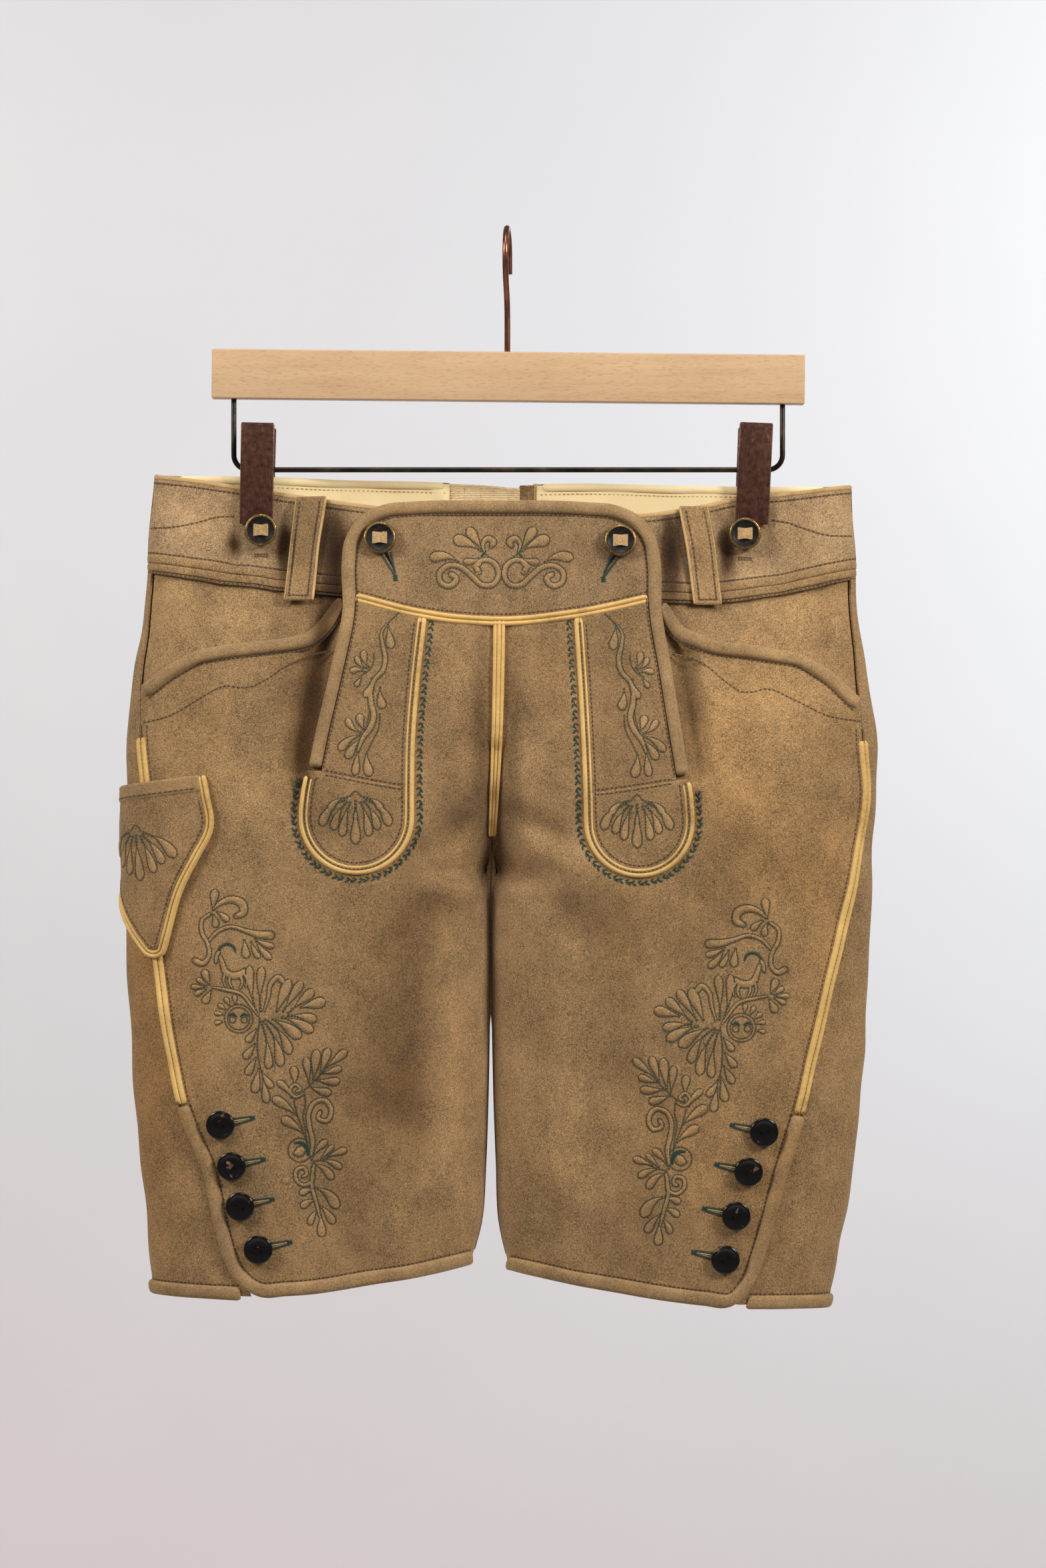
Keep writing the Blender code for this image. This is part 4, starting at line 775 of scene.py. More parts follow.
def laid(heap, path, surface, width, height, profile=ROLLED, lift=0.0, sink=0.4, blunt=1.2, light=0.0,
         face="front", shaded_and_patched=True):
    """A cord, a binding or a padded shape along a path: a closed tube with the given cross section."""
    path = np.array(path, float)
    count = len(path)
    width = np.broadcast_to(np.asarray(width, float), count)
    height = np.broadcast_to(np.asarray(height, float), count)
    lift = np.broadcast_to(np.asarray(lift, float), count)
    _, aside = beside(path)
    run = run_of(path)
    ends = np.minimum(run, run[-1] - run)
    full = quarter((ends + 0.15) / blunt) if blunt else np.ones(count)
    shares = np.array([share for share, _ in profile])
    heights = np.array([share for _, share in profile])
    spread = shares[None, :] * (width * (0.55 + 0.45 * full))[:, None]
    places = path[:, None, :] + aside[:, None, :] * spread[..., None]
    points, normals = surface(places[..., 0], places[..., 1])
    up = lift[:, None] + heights[None, :] * (height * full)[:, None]
    top = points + normals * up[..., None]
    low = lift[:, None] - sink
    floor = points[:, [-1, 0]] + normals[:, [-1, 0]] * low[..., None]
    ring = np.concatenate((top, floor), axis=1)
    columns = ring.shape[1]
    index = np.arange(count * columns).reshape(count, columns)
    following = np.roll(index, -1, axis=1)
    faces = np.stack((index[:-1], following[:-1], following[1:], index[1:]), -1).reshape(-1, 4).tolist()
    faces += [tuple(index[0][::-1]), tuple(index[-1])]
    flat = ring.reshape(-1, 3)
    # The faces are turned round where the surface's own places run the other way
    if volume(flat, faces) < 0:
        faces = [tuple(reversed(face)) for face in faces]
    # Painted shade and highlight, and the hide's own patches
    painted_and_patch_light, warm = shade_and_patina(flat, face) if shaded_and_patched else (0.0, 0.0)
    place = np.stack((np.repeat(run[:, None], columns, 1),
                      np.concatenate((shares, (0.5, -0.5))) * width[:, None]), axis=-1)
    heap.add(flat, faces, light + painted_and_patch_light, warm, place)


# One stitch: along its length, radius and height over the cloth, all as shares
LONG_STITCH = ((-0.5, 0.35, -0.75), (-0.26, 1.0, 0.1), (0.26, 1.0, 0.1), (0.5, 0.35, -0.75))
SHORT_STITCH = ((-0.5, 0.62, -0.1), (0.0, 1.0, 0.35), (0.5, 0.62, -0.1))
STITCH_SIDES = 4
STITCH_SCATTER = 0.05
GROOVE_WIDTH = 1.3
# Fine stitches along the groove of a piping
FINE = {"pitch": 2.6, "length": 2.0, "radius": 0.28}


def add_stitches(heap, centres, alongs, normals, length, radius, shape):
    """Many stitches at once, each a small closed body that dips into the cloth at both ends."""
    count = len(centres)
    if not count:
        return
    across = unit(np.cross(alongs, normals))
    length = np.broadcast_to(length, count)
    angles = (np.arange(STITCH_SIDES) + 0.5) * 2 * math.pi / STITCH_SIDES
    rings = []
    for along_share, girth, height in shape:
        for angle in angles:
            spot = centres + alongs * (along_share * length)[:, None]
            spot = spot + across * (radius * girth * math.cos(angle))
            rings.append(spot + normals * (radius * (height + girth * math.sin(angle))))
    points = np.stack(rings, axis=1)
    faces = []
    for ring in range(len(shape) - 1):
        here, there = ring * STITCH_SIDES, (ring + 1) * STITCH_SIDES
        for i in range(STITCH_SIDES):
            j = (i + 1) % STITCH_SIDES
            faces.append((there + i, there + j, here + j, here + i))
    last = (len(shape) - 1) * STITCH_SIDES
    faces += [(0, 1, 2, 3), (last + 3, last + 2, last + 1, last)]
    per = points.shape[1]
    index = (np.array(faces)[None] + (np.arange(count) * per)[:, None, None]).reshape(-1, 4)
    heap.add(points, index.tolist())


def stitch_path(heap, path, surface, lift=0.0, pitch=2.9, length=2.4, radius=0.38, shape=LONG_STITCH, seed=1,
                pulled=True):
    """A row of running stitches along a path on a surface, pulled into the cloth or lying on it."""
    path = np.array(path, float)
    if pulled and isinstance(heap, Seam):
        line = even_path(path, 1.6, 2)
        # The groove strip is painted darker by its light attribute: painted shade
        laid(heap.groove, line, surface, GROOVE_WIDTH, 0.07, GROOVE, lift=lift + 0.05, sink=0.3, blunt=0,
             light=-heap.dark)
    run = run_of(path)
    count = max(1, int(round(run[-1] / pitch)))
    step = run[-1] / count
    draw = np.random.default_rng(seed)
    at = (np.arange(count) + 0.5) * step
    half = np.minimum(length, 0.9 * step) / 2
    before = points_at(at - half, run, path)
    after = points_at(at + half, run, path)
    before = before + draw.normal(0, STITCH_SCATTER, before.shape)
    after = after + draw.normal(0, STITCH_SCATTER, after.shape)
    start, normal_start = surface(before[:, 0], before[:, 1])
    end, normal_end = surface(after[:, 0], after[:, 1])
    normals = unit(normal_start + normal_end)
    centres = (start + end) / 2 + normals * (lift if np.isscalar(lift) else 0)
    lengths = np.linalg.norm(end - start, axis=1)
    add_stitches(heap, centres, unit(end - start), normals, lengths * 1.05, radius, shape)


def close_stitches(threads, path, surface, widths, radius=0.4):
    """Stitches side by side across a path, on the cloth."""
    _, aside = beside(path)
    for spot, across, reach in zip(path, aside, widths):
        ends = [spot - across * reach / 2, spot + across * reach / 2]
        stitch_path(threads, ends, surface, pitch=reach + 1, length=reach, radius=radius, shape=SHORT_STITCH,
                    pulled=False)


# ---------------------------------------------------------------- finishes

class Finish:
    """The nodes of one material, put together by short calls."""

    def __init__(self, name, roughness=0.5, metallic=0.0, specular=0.5, sheen=0.0, sheen_tint=(1, 1, 1),
                 coat=0.0, coat_roughness=0.1):
        self.material = bpy.data.materials.new(name)
        self.material.use_nodes = True
        self.nodes = self.material.node_tree.nodes
        self.links = self.material.node_tree.links
        self.shader = self.nodes["Principled BSDF"]
        for socket, value in (("Roughness", roughness), ("Metallic", metallic), ("Specular IOR Level", specular),
                              ("Sheen Weight", sheen), ("Sheen Roughness", 0.6), ("Sheen Tint", (*sheen_tint, 1)),
                              ("Coat Weight", coat), ("Coat Roughness", coat_roughness)):
            self.shader.inputs[socket].default_value = value
        self.place = self.add("ShaderNodeTexCoord").outputs["Object"]

    def add(self, kind, inputs=(), **settings):
        node = self.nodes.new(kind)
        for key, value in settings.items():
            setattr(node, key, value)
        for key, value in dict(inputs).items():
            if isinstance(value, bpy.types.NodeSocket):
                self.links.new(value, node.inputs[key])
            else:
                node.inputs[key].default_value = value
        return node

    def attribute(self, name):
        return self.add("ShaderNodeAttribute", attribute_name=name).outputs["Fac"]

    def stretched(self, scale, turn=(0, 0, 0)):
        inputs = {"Vector": self.place, "Scale": scale, "Rotation": turn}
        return self.add("ShaderNodeMapping", inputs).outputs["Vector"]

    def noise(self, size, detail=2.0, roughness=0.5, place=None):
        """Noise whose patches are about size millimetres across."""
        inputs = {"Vector": place or self.place, "Scale": 1000.0 / size, "Detail": detail, "Roughness": roughness}
        return self.add("ShaderNodeTexNoise", inputs).outputs["Fac"]

    def spread(self, value, low, high, to_low=0.0, to_high=1.0):
        inputs = {"Value": value, "From Min": low, "From Max": high, "To Min": to_low, "To Max": to_high}
        return self.add("ShaderNodeMapRange", inputs).outputs["Result"]

    def math(self, operation, first, second=0.0):
        return self.add("ShaderNodeMath", {0: first, 1: second}, operation=operation).outputs[0]

    def total(self, *terms):
        result = terms[0]
        for term in terms[1:]:
            result = self.math("ADD", result, term)
        return result

    def times(self, value, factor):
        return self.math("MULTIPLY", value, factor)

    def swing(self, pattern, amount, low=0.3, high=0.7):
        """A pattern's swing to both sides of zero, as a share of the tone."""
        return self.times(self.spread(pattern, low, high, -1, 1), amount)

    def mix(self, factor, first, second, blend="MIX"):
        inputs = {0: factor, 6: first if isinstance(first, bpy.types.NodeSocket) else (*first, 1),
                  7: second if isinstance(second, bpy.types.NodeSocket) else (*second, 1)}
        return self.add("ShaderNodeMix", inputs, data_type="RGBA", blend_type=blend).outputs[2]

    def steps(self, value, *colours):
        """A run of colours at even steps from 0 to 1."""
        ramp = self.add("ShaderNodeValToRGB", {"Fac": value})
        marks = ramp.color_ramp.elements
        while len(marks) < len(colours):
            marks.new(0.5)
        for i, colour in enumerate(colours):
            marks[i].position = i / (len(colours) - 1)
            marks[i].color = (*colour, 1)
        return ramp.outputs["Color"]

    def shades(self, value, base, *rows):
        """A run of shades of one colour: how much lighter and how much warmer each one is."""
        return self.steps(value, *(shade(base, *row) for row in rows))

    def tinted(self, colour, value, full, tint, start=0.0):
        """The colour times a tint, the more so the further the value runs from start to full."""
        return self.mix(self.spread(value, start, full), colour, self.mix(1.0, colour, tint, "MULTIPLY"))

    def bump(self, height, depth, strength=1.0, under=None):
        inputs = {"Height": height, "Distance": depth * MM, "Strength": strength}
        if under is not None:
            inputs["Normal"] = under
        return self.add("ShaderNodeBump", inputs).outputs["Normal"]

    def end(self, colour, normal=None, roughness=None):
        self.links.new(colour, self.shader.inputs["Base Color"])
        if normal is not None:
            self.links.new(normal, self.shader.inputs["Normal"])
        if roughness is not None:
            self.links.new(roughness, self.shader.inputs["Roughness"])
        return self.material


def srgb(red, green, blue):
    """Linear colour from the 0 to 255 values of a colour picker."""
    return tuple(v / 12.92 if v <= 0.04045 else ((v + 0.055) / 1.055) ** 2.4
                 for v in (red / 255, green / 255, blue / 255))


def sizes():
    return bpy.context.scene.breeches


def colour(name):
    return tuple(getattr(sizes(), name))[:3]


def shade(base, factor, warm=1.0):
    return (min(1, base[0] * factor * warm), min(1, base[1] * factor), min(1, base[2] * factor / warm))


# Painted shade: the hide's colour is darkened in two stages where its light attribute runs below zero; painted
# highlight and rubbed wear make it lighter where it runs above
SHADED = (0.27, 0.21, 0.165)
DEEPLY_SHADED = (0.28, 0.2, 0.16)
LIT_AND_RUBBED = (1.75, 1.75, 1.7)
# Hide that is warmer or cooler than most of it
WARMER = (1.09, 0.97, 0.78)
COOLER = (0.97, 1.03, 1.22)


def suede(name, hide_colour, tint, contrast, bump_depth):
    """Brushed hide: napped, faintly mottled and worn, with a salt-and-pepper grain, and painted shade and highlight
    from its light attribute.
    """
    base = shade(colour(hide_colour), *tint)
    finish = Finish(name, roughness=1.0, specular=0.1, sheen=0.22, sheen_tint=(1.0, 0.86, 0.66))
    patches = finish.swing(finish.noise(64, 2.5, 0.55), 0.11, 0.28, 0.72)
    mottle = finish.swing(finish.noise(24, 3.0, 0.55), 0.1)
    smear = finish.swing(finish.noise(8, 3, 0.6, finish.stretched((1, 1, 0.6))), 0.08)
    grain_size = sizes().nap * 1000
    fine = finish.noise(grain_size, 3.0, 0.7)
    coarse = finish.noise(2.4 * grain_size, 2.0, 0.6)
    grain = finish.swing(fine, contrast, 0.36, 0.64)
    clumps = finish.swing(coarse, 0.22 * contrast, 0.34, 0.66)
    tone = finish.total(0.5, patches, mottle, smear, grain, clumps)
    hide = finish.shades(tone, base, (0.34, 0.94), (0.66, 0.97), (1,), (1.34,), (1.7,))
    # Painted shade and painted highlight, from the light attribute
    light = finish.attribute("light")
    hide = finish.tinted(hide, light, -1.2, SHADED)
    hide = finish.tinted(hide, light, -2.4, DEEPLY_SHADED, -1.2)
    hide = finish.tinted(hide, light, 1, LIT_AND_RUBBED)
    warm = finish.math("ADD", finish.attribute("warm"), finish.spread(finish.noise(46, 2), 0.5, 0.75, 0, 0.25))
    hide = finish.tinted(hide, warm, 1.3, WARMER)
    hide = finish.tinted(hide, warm, -1, COOLER)
    nap = finish.bump(fine, bump_depth, 0.6)
    nap = finish.bump(finish.noise(5.5, 3, 0.6), 0.5, 0.3, nap)
    return finish.end(hide, nap)


def piping_leather():
    """Straw-coloured smooth leather, creased across and rubbed darker in places."""
    base = colour("piping")
    finish = Finish("piping_leather", roughness=0.62, specular=0.3, sheen=0.08)
    # The light attribute adds painted shade and highlight to the rubbed tone
    rubbed = finish.total(0.5, finish.swing(finish.noise(24, 3), 0.34),
                          finish.swing(finish.noise(2.4, 3, 0.65), 0.22),
                          finish.times(finish.attribute("light"), 0.5))
    hide = finish.shades(rubbed, base, (0.55, 1.1), (0.86, 1.03), (1,), (1.12,))
    creases = finish.bump(finish.noise(1.6, 3, 0.6), 0.35, 0.5)
    return finish.end(hide, creases, finish.spread(finish.noise(6, 2), 0.3, 0.7, 0.5, 0.78))


def raw_edge():
    """Cut edge of the hide: pale, fibrous and uneven."""
    base = colour("cut_edge")
    finish = Finish("cut_hide_edge", roughness=0.95, specular=0.1, sheen=0.2)
    fibres = finish.noise(0.9, 3, 0.7)
    tone = finish.total(0.5, finish.swing(fibres, 0.3), finish.swing(finish.noise(14, 2), 0.35))
    hide = finish.shades(tone, base, (0.5, 1.05), (0.85,), (1,), (1.1,))
    return finish.end(hide, finish.bump(fibres, 0.4, 0.8))


def cream_facing():
    """Cream twill, a little yellowed, with fine diagonal ribs."""
    base = colour("lining")
    finish = Finish("cream_twill", roughness=0.9, specular=0.15, sheen=0.15)
    turned = finish.stretched((1, 1, 1), (0, math.radians(52), 0))
    ribs = finish.add("ShaderNodeTexWave", {"Vector": turned, "Scale": 330.0, "Distortion": 0.6,
                                            "Detail": 1.0}, bands_direction="X").outputs["Fac"]
    tone = finish.total(0.97, finish.swing(ribs, 0.04, 0, 1), finish.swing(finish.noise(18, 3), 0.2),
                        finish.swing(finish.noise(1.0, 3), 0.12))
    cloth = finish.shades(tone, base, (0.6, 1.05), (0.88, 1.02), (1,), (1.1,))
    wrinkles = finish.bump(finish.noise(6, 3, 0.6, finish.stretched((1.0, 1.0, 0.5))), 0.8, 0.45)
    return finish.end(cloth, finish.bump(ribs, 0.1, 0.4, wrinkles))


def rib_knit():
    """Cream cord with fine level ribs."""
    base = colour("lining")
    finish = Finish("ribbed_cord", roughness=0.9, specular=0.15, sheen=0.2)
    ribs = finish.add("ShaderNodeTexWave", {"Vector": finish.place, "Scale": 270.0, "Distortion": 1.2,
                                            "Detail": 1.0, "Detail Scale": 3.0}, bands_direction="Z").outputs["Fac"]
    dashes = finish.noise(1.2, 2, 0.5, finish.stretched((0.6, 1, 1.3)))
    tone = finish.total(0.55, finish.swing(ribs, 0.16, 0, 1), finish.swing(dashes, 0.22, 0.36, 0.64),
                        finish.swing(finish.noise(7, 2), 0.16))
    cloth = finish.shades(tone, base, (0.5, 1.08), (0.82, 1.03), (0.98,), (1.1,))
    return finish.end(cloth, finish.bump(ribs, 0.4, 0.8))


def thread(name, dye, lightness, gloss):
    """Twisted thread with a soft shine."""
    finish = Finish(name, roughness=0.6, specular=0.25 + gloss, sheen=0.1)
    twist = finish.noise(0.55, 2, 0.6)
    tone = finish.total(0.5, finish.swing(twist, 0.35), finish.swing(finish.noise(12, 2), 0.2))
    yarn = finish.shades(tone, shade(colour(dye), lightness), (0.45,), (0.8,), (1,), (1.5,))
    return finish.end(yarn, finish.bump(twist, 0.12, 0.6))


def dark_horn():
    """Polished dark horn with brown clouds and fine streaks."""
    base = colour("horn")
    finish = Finish("dark_horn", roughness=0.2, specular=0.42, coat=0.25, coat_roughness=0.05)
    cloud = finish.noise(9, 3, 0.6)
    streak = finish.noise(3, 3, 0.6, finish.stretched((1.0, 1.0, 0.25)))
    tone = finish.total(finish.spread(cloud, 0.56, 0.78, 0, 0.65), finish.spread(streak, 0.62, 0.8, 0, 0.35))
    horn = finish.shades(tone, base, (1,), (1,), (3.0, 1.3))
    bare = finish.spread(finish.noise(6.0, 2, 0.5), 0.645, 0.68)
    fibres = finish.noise(1.3, 4, 0.7, finish.stretched((1.0, 1.0, 0.4)))
    scar = finish.steps(finish.spread(fibres, 0.3, 0.7), srgb(36, 26, 21), srgb(92, 68, 50), srgb(164, 136, 108))
    horn = finish.mix(bare, horn, scar)
    return finish.end(horn, finish.bump(finish.noise(2.2, 2), 0.04, 0.4), finish.spread(bare, 0, 1, 0.12, 0.5))


def clouded(name, pattern, colours, relief, gloss=None, **looks):
    """Metal or lacquer in three tones that follow one pattern: rubbed, cloudy or drawn out along the piece.
    pattern: size, detail, roughness, stretch, and what is dark and light in it; relief: size (0 is the same
    pattern), depth and strength of the bump; gloss: roughness of the dark and of the light parts."""
    size, detail, rough, stretch, low, high = pattern
    finish = Finish(name, **looks)
    cloud = finish.noise(size, detail, rough, finish.stretched(stretch) if stretch else None)
    tone = finish.steps(finish.spread(cloud, low, high), *colours)
    grain, deep, strength = relief
    bump = finish.bump(finish.noise(grain, 2) if grain else cloud, deep, strength)
    return finish.end(tone, bump, finish.spread(cloud, 0.3, 0.7, *gloss) if gloss else None)


def amber_rim():
    """Dark amber rim, turned and lacquered."""
    return clouded("amber_rim", (4, 3, 0.6, None, 0.3, 0.7), (srgb(46, 33, 22), srgb(84, 61, 34), srgb(128, 96, 52)),
                   (1.2, 0.06, 0.5), roughness=0.3, specular=0.5, coat=0.3)


def brass():
    """Rubbed brass bead round a button's core."""
    return clouded("rubbed_brass", (1.6, 3, 0.65, None, 0.3, 0.7),
                   (srgb(84, 62, 34), srgb(140, 110, 62), srgb(196, 164, 104)),
                   (0, 0.05, 0.6), (0.5, 0.25), roughness=0.36, metallic=0.85)


def black_core():
    return clouded("black_button_core", (3, 3, 0.6, None, 0.3, 0.7),
                   (srgb(14, 13, 13), srgb(30, 27, 25), srgb(48, 42, 37)),
                   (0, 0.05, 0.5), roughness=0.3, specular=0.4)


def beech():
    """Satin beech: straight grain along the bar and short dark flecks."""
    base = colour("beech")
    finish = Finish("satin_beech", roughness=0.42, specular=0.4, coat=0.12, coat_roughness=0.3)
    along = finish.stretched((0.055, 1.0, 1.0))
    flecks_place = finish.stretched((0.14, 1.0, 1.0))
    bands = finish.noise(5.0, 3, 0.55, along)
    fibres = finish.noise(0.7, 2, 0.6, along)
    flecks = finish.spread(finish.noise(0.62, 1, 0.4, flecks_place), 0.60, 0.67)
    tone = finish.total(0.5, finish.swing(bands, 0.26), finish.swing(fibres, 0.14),
                        finish.swing(finish.noise(90, 2), 0.16, 0.35, 0.65))
    wood = finish.shades(tone, base, (0.78, 1.06), (0.93, 1.02), (1,), (1.08, 0.99))
    wood = finish.mix(finish.times(flecks, 0.38), wood, shade(base, 0.5, 1.22))
    return finish.end(wood, finish.bump(fibres, 0.05, 0.4), finish.spread(fibres, 0.3, 0.7, 0.36, 0.5))


def dark_bronze():
    return clouded("dark_bronze_wire", (7, 3, 0.6, (0.4, 1, 0.4), 0.3, 0.75),
                   (srgb(36, 31, 28), srgb(58, 49, 41), srgb(94, 78, 62)),
                   (1.5, 0.03, 0.5), (0.28, 0.45), roughness=0.34, metallic=0.75)


def antique_copper():
    """Hammered and brushed copper, nearly black in its hollows."""
    base = colour("clip")
    finish = Finish("antique_copper", roughness=0.45, metallic=0.8)
    brushed = finish.noise(1.1, 3, 0.7, finish.stretched((1.6, 1, 0.32)))
    dents = finish.noise(3.2, 2, 0.5)
    tone = finish.total(0.42, finish.swing(brushed, 0.30), finish.swing(dents, 0.22))
    scratches = finish.noise(2.0, 3, 0.75, finish.stretched((2.4, 1, 0.14), (0, math.radians(24), 0)))
    metal = finish.shades(tone, base, (0.3,), (0.75,), (1.25,), (2.6, 1.1))
    metal = finish.mix(finish.spread(scratches, 0.62, 0.72, 0, 0.6), metal, shade(base, 3.6, 1.1))
    hollows = finish.bump(dents, 0.35, 0.7)
    return finish.end(metal, finish.bump(brushed, 0.08, 0.6, hollows), finish.spread(brushed, 0.3, 0.7, 0.62, 0.36))


def worn_copper():
    """Bright copper where edges are rubbed."""
    return clouded("worn_copper_edge", (2.4, 3, 0.65, None, 0.25, 0.7),
                   (srgb(110, 70, 54), srgb(196, 138, 112), srgb(236, 190, 162)),
                   (0, 0.08, 0.5), roughness=0.36, metallic=0.9)


def copper_wire():
    base = colour("hook")
    return clouded("copper_wire", (3.0, 3, 0.6, (1, 1, 0.25), 0.25, 0.75),
                   (shade(base, 0.62), base, shade(base, 1.25)),
                   (0, 0.02, 0.4), (0.2, 0.34), roughness=0.32, metallic=0.9)


# Each finish: the slot that its pieces take, what makes it and what the maker is told
FINISHES = {
    "suede": ("suede", suede, "deer_suede", "suede", (1.0,), 0.42, 0.55),
    "binding": ("binding", suede, "binding_suede", "binding", (1.0,), 0.26, 0.5),
    "puff": ("suede", suede, "puffed_suede", "suede", (1.02,), 0.32, 0.4),
    "thong": ("suede", suede, "thong_suede", "suede", (1.75, 0.97), 0.3, 0.5),
    "piping": ("piping", piping_leather),
    "edge": ("piping", raw_edge),
    "facing": ("facing", cream_facing),
    "rib_knit": ("rib_knit", rib_knit),
    "seam_thread": ("suede", thread, "seam_thread", "seam_thread", 1.0, 0.0),
    "green_thread": ("suede", thread, "green_thread", "embroidery", 1.0, 0.1),
    "yellow_thread": ("piping", thread, "yellow_thread", "piping", 0.8, 0.05),
    "horn": ("horn", dark_horn),
    "amber": ("rimmed_horn", amber_rim),
    "brass": ("rimmed_horn", brass),
    "core": ("rimmed_horn", black_core),
    "beech": ("beech", beech),
    "bronze": ("bronze", dark_bronze),
    "clip": ("antique_copper", antique_copper),
    "clip_edge": ("antique_copper", worn_copper),
    "copper": ("copper", copper_wire),
}
MADE = {}


def finish_of(name):
    """Each material is made once and then shared."""
    if name not in MADE:
        _, make, *told = FINISHES[name]
        MADE[name] = make(*told)
    return MADE[name]


def slot_of(name):
    return FINISHES[name][0]


# ---------------------------------------------------------------- legs and seat

PANEL_STEP = 3.0
FRONT_WIDTH = 225.0
# First guesses for the ends of a column, and the rounds in which they settle
FIRST_TOP = -260.0
FIRST_HEM = -600.0
SETTLING_ROUNDS = 8
# Tone of the yoke, the strips and the lobes, which are a little darker than the legs
GREY_YOKE = -0.2


def crotch_gap(z):
    """The seams stand a little wider where four panels meet."""
    return SEAM_GAP / 2 + 0.7 * bell(z - CROTCH, 9.0)


def shares_for(length, step=PANEL_STEP, edge=0.7):
    """Even shares across a width, with a closer pair at both ends."""
    count = max(2, int(round(length / step)))
    inner = np.linspace(0, 1, count + 1)
    close = edge / length
    return np.unique(np.concatenate((inner, (close, 2.4 * close, 1 - 2.4 * close, 1 - close))))


def settle(first, x_of, z_of):
    """Heights on a line z(x) of columns whose x itself changes with height."""
    z = first
    for _ in range(SETTLING_ROUNDS):
        z = z_of(x_of(z))
    return z


def rows_between(top, bottom, step=PANEL_STEP):
    """A grid of heights: every column runs from its top to its bottom."""
    rows = shares_for(float(np.max(np.abs(top - bottom))), step)
    return top[None, :] + (bottom - top)[None, :] * rows[:, None]


def front_x(side, z, share):
    seam = SIDE_SEAM.at(SIDES[side], z)
    return seam + (SECTIONS.at("inner_" + SIDES[side], z) - seam) * share


def front_grid(side, top_line, bottom_line, shares):
    """Arc lengths and heights of a panel between the side seam and the middle."""
    net = NETS[side]

    def x_of(z):
        return front_x(side, z, shares)

    top = settle(np.full(shares.shape, FIRST_TOP), x_of, top_line)
    bottom = settle(np.full(shares.shape, FIRST_HEM), x_of, bottom_line)
    z = rows_between(top, bottom)
    x = front_x(side, z, shares[None, :])
    seam_arc = net.arc_of(SIDE_SEAM.at(SIDES[side], z), z) + SEAM_GAP / 2
    edge_arc = net.end(z, "front") - crotch_gap(z)
    return np.clip(net.arc_of(x, z), seam_arc, edge_arc), z


def leg_front_lift(x, z):
    return flap_rise(x, z) + ridges(FLAP_TROUGHS, x, z)


def leg_front(side):
    heap = Heap()
    arc, z = front_grid(side, lambda x: FRONT_TOP[side].straight("z", x) - SEAM_GAP,
                        lambda x: FRONT_HEM[side].at("z", x), shares_for(FRONT_WIDTH))
    shell(heap, arc, z, round_side(side, leg_front_lift), SUEDE)
    heap.make("leg_front_" + SIDES[side], "suede", "front_" + SIDES[side], "flap_panel_" + SIDES[side])


def back_hem(side, arc, z):
    """Lower edge of the back panel, by arc length."""
    ends = BACK_HEM[side]
    seam_arc = NETS[side].arc_of(SIDE_SEAM.at(SIDES[side], z), z)
    wrap = ends["fold"] + (ends["seam"] - ends["fold"]) * arc / seam_arc
    behind = ends["fold"] + (ends["inner"] - ends["fold"]) * ease(-arc / NETS[side].end(z, "back"))
    return np.where(arc >= 0, wrap, behind)


def leg_back(side):
    """Leg back: it starts at the side seam in front, goes round the fold and ends at the seat seam."""
    net = NETS[side]
    around_fold = 1 - shares_for(48.0, 2.4)
    behind = shares_for(262.0)[1:]
    wraps = np.concatenate((np.ones(len(around_fold)), np.zeros(len(behind)))) > 0
    shares = np.concatenate((around_fold, behind))

    def arc_of(z):
        seam_arc = net.arc_of(SIDE_SEAM.at(SIDES[side], z), z) - SEAM_GAP / 2
        return np.where(wraps, seam_arc * shares, -(net.end(z, "back") - crotch_gap(z)) * shares)

    top = np.full(shares.shape, -216.0)
    hem = np.full(shares.shape, -680.0)
    for _ in range(SETTLING_ROUNDS):
        x = net.read(arc_of(top), top)[0][:, 0]
        top = np.where(wraps, WAIST.at("front_bottom", x), WAIST.at("back_bottom", x)) - 2 * SEAM_GAP
        hem = back_hem(side, arc_of(hem), hem)
    z = rows_between(top, hem)
    heap = Heap()
    shell(heap, arc_of(z), z, round_side(side), SUEDE, "back")
    heap.make("leg_back_" + SIDES[side], "suede", "back_" + SIDES[side])


def inseam(side):
    """Turned edges of the inner leg seam; those of both legs touch down to the middle of the thigh."""
    z = np.linspace(CROTCH + 26, FRONT_HEM[side].at("z", -8.0) + 6, 150)
    swell = 1.6 * bell(z - CROTCH - 3, 16.0)
    apart = SECTIONS.at("inner_right", z) - SECTIONS.at("inner_left", z)
    radius = 0.5 + np.clip(0.56 * apart - 0.5, 0, None) * ease((z + 514) / 12)
    turns = np.linspace(0, 2 * math.pi, 9)[:-1]
    radius = (radius + swell)[:, None]
    across = (SECTIONS.at("inner_" + SIDES[side], z) + side * swell)[:, None] + radius * np.cos(turns)
    ring = np.stack(np.broadcast_arrays(across, radius * np.sin(turns) - 0.9 * swell[:, None], z[:, None]), axis=-1)
    index = np.arange(ring.shape[0] * 8).reshape(-1, 8)
    following = np.roll(index, -1, axis=1)
    faces = np.stack((index[:-1], index[1:], following[1:], following[:-1]), -1).reshape(-1, 4).tolist()
    heap = Heap()
    # light=-0.5 paints the turned edges darker: painted shade between the legs
    heap.add(ring, [*faces, tuple(index[0]), tuple(index[-1][::-1])], light=-0.5)
    heap.make("inseam_" + SIDES[side], "suede")


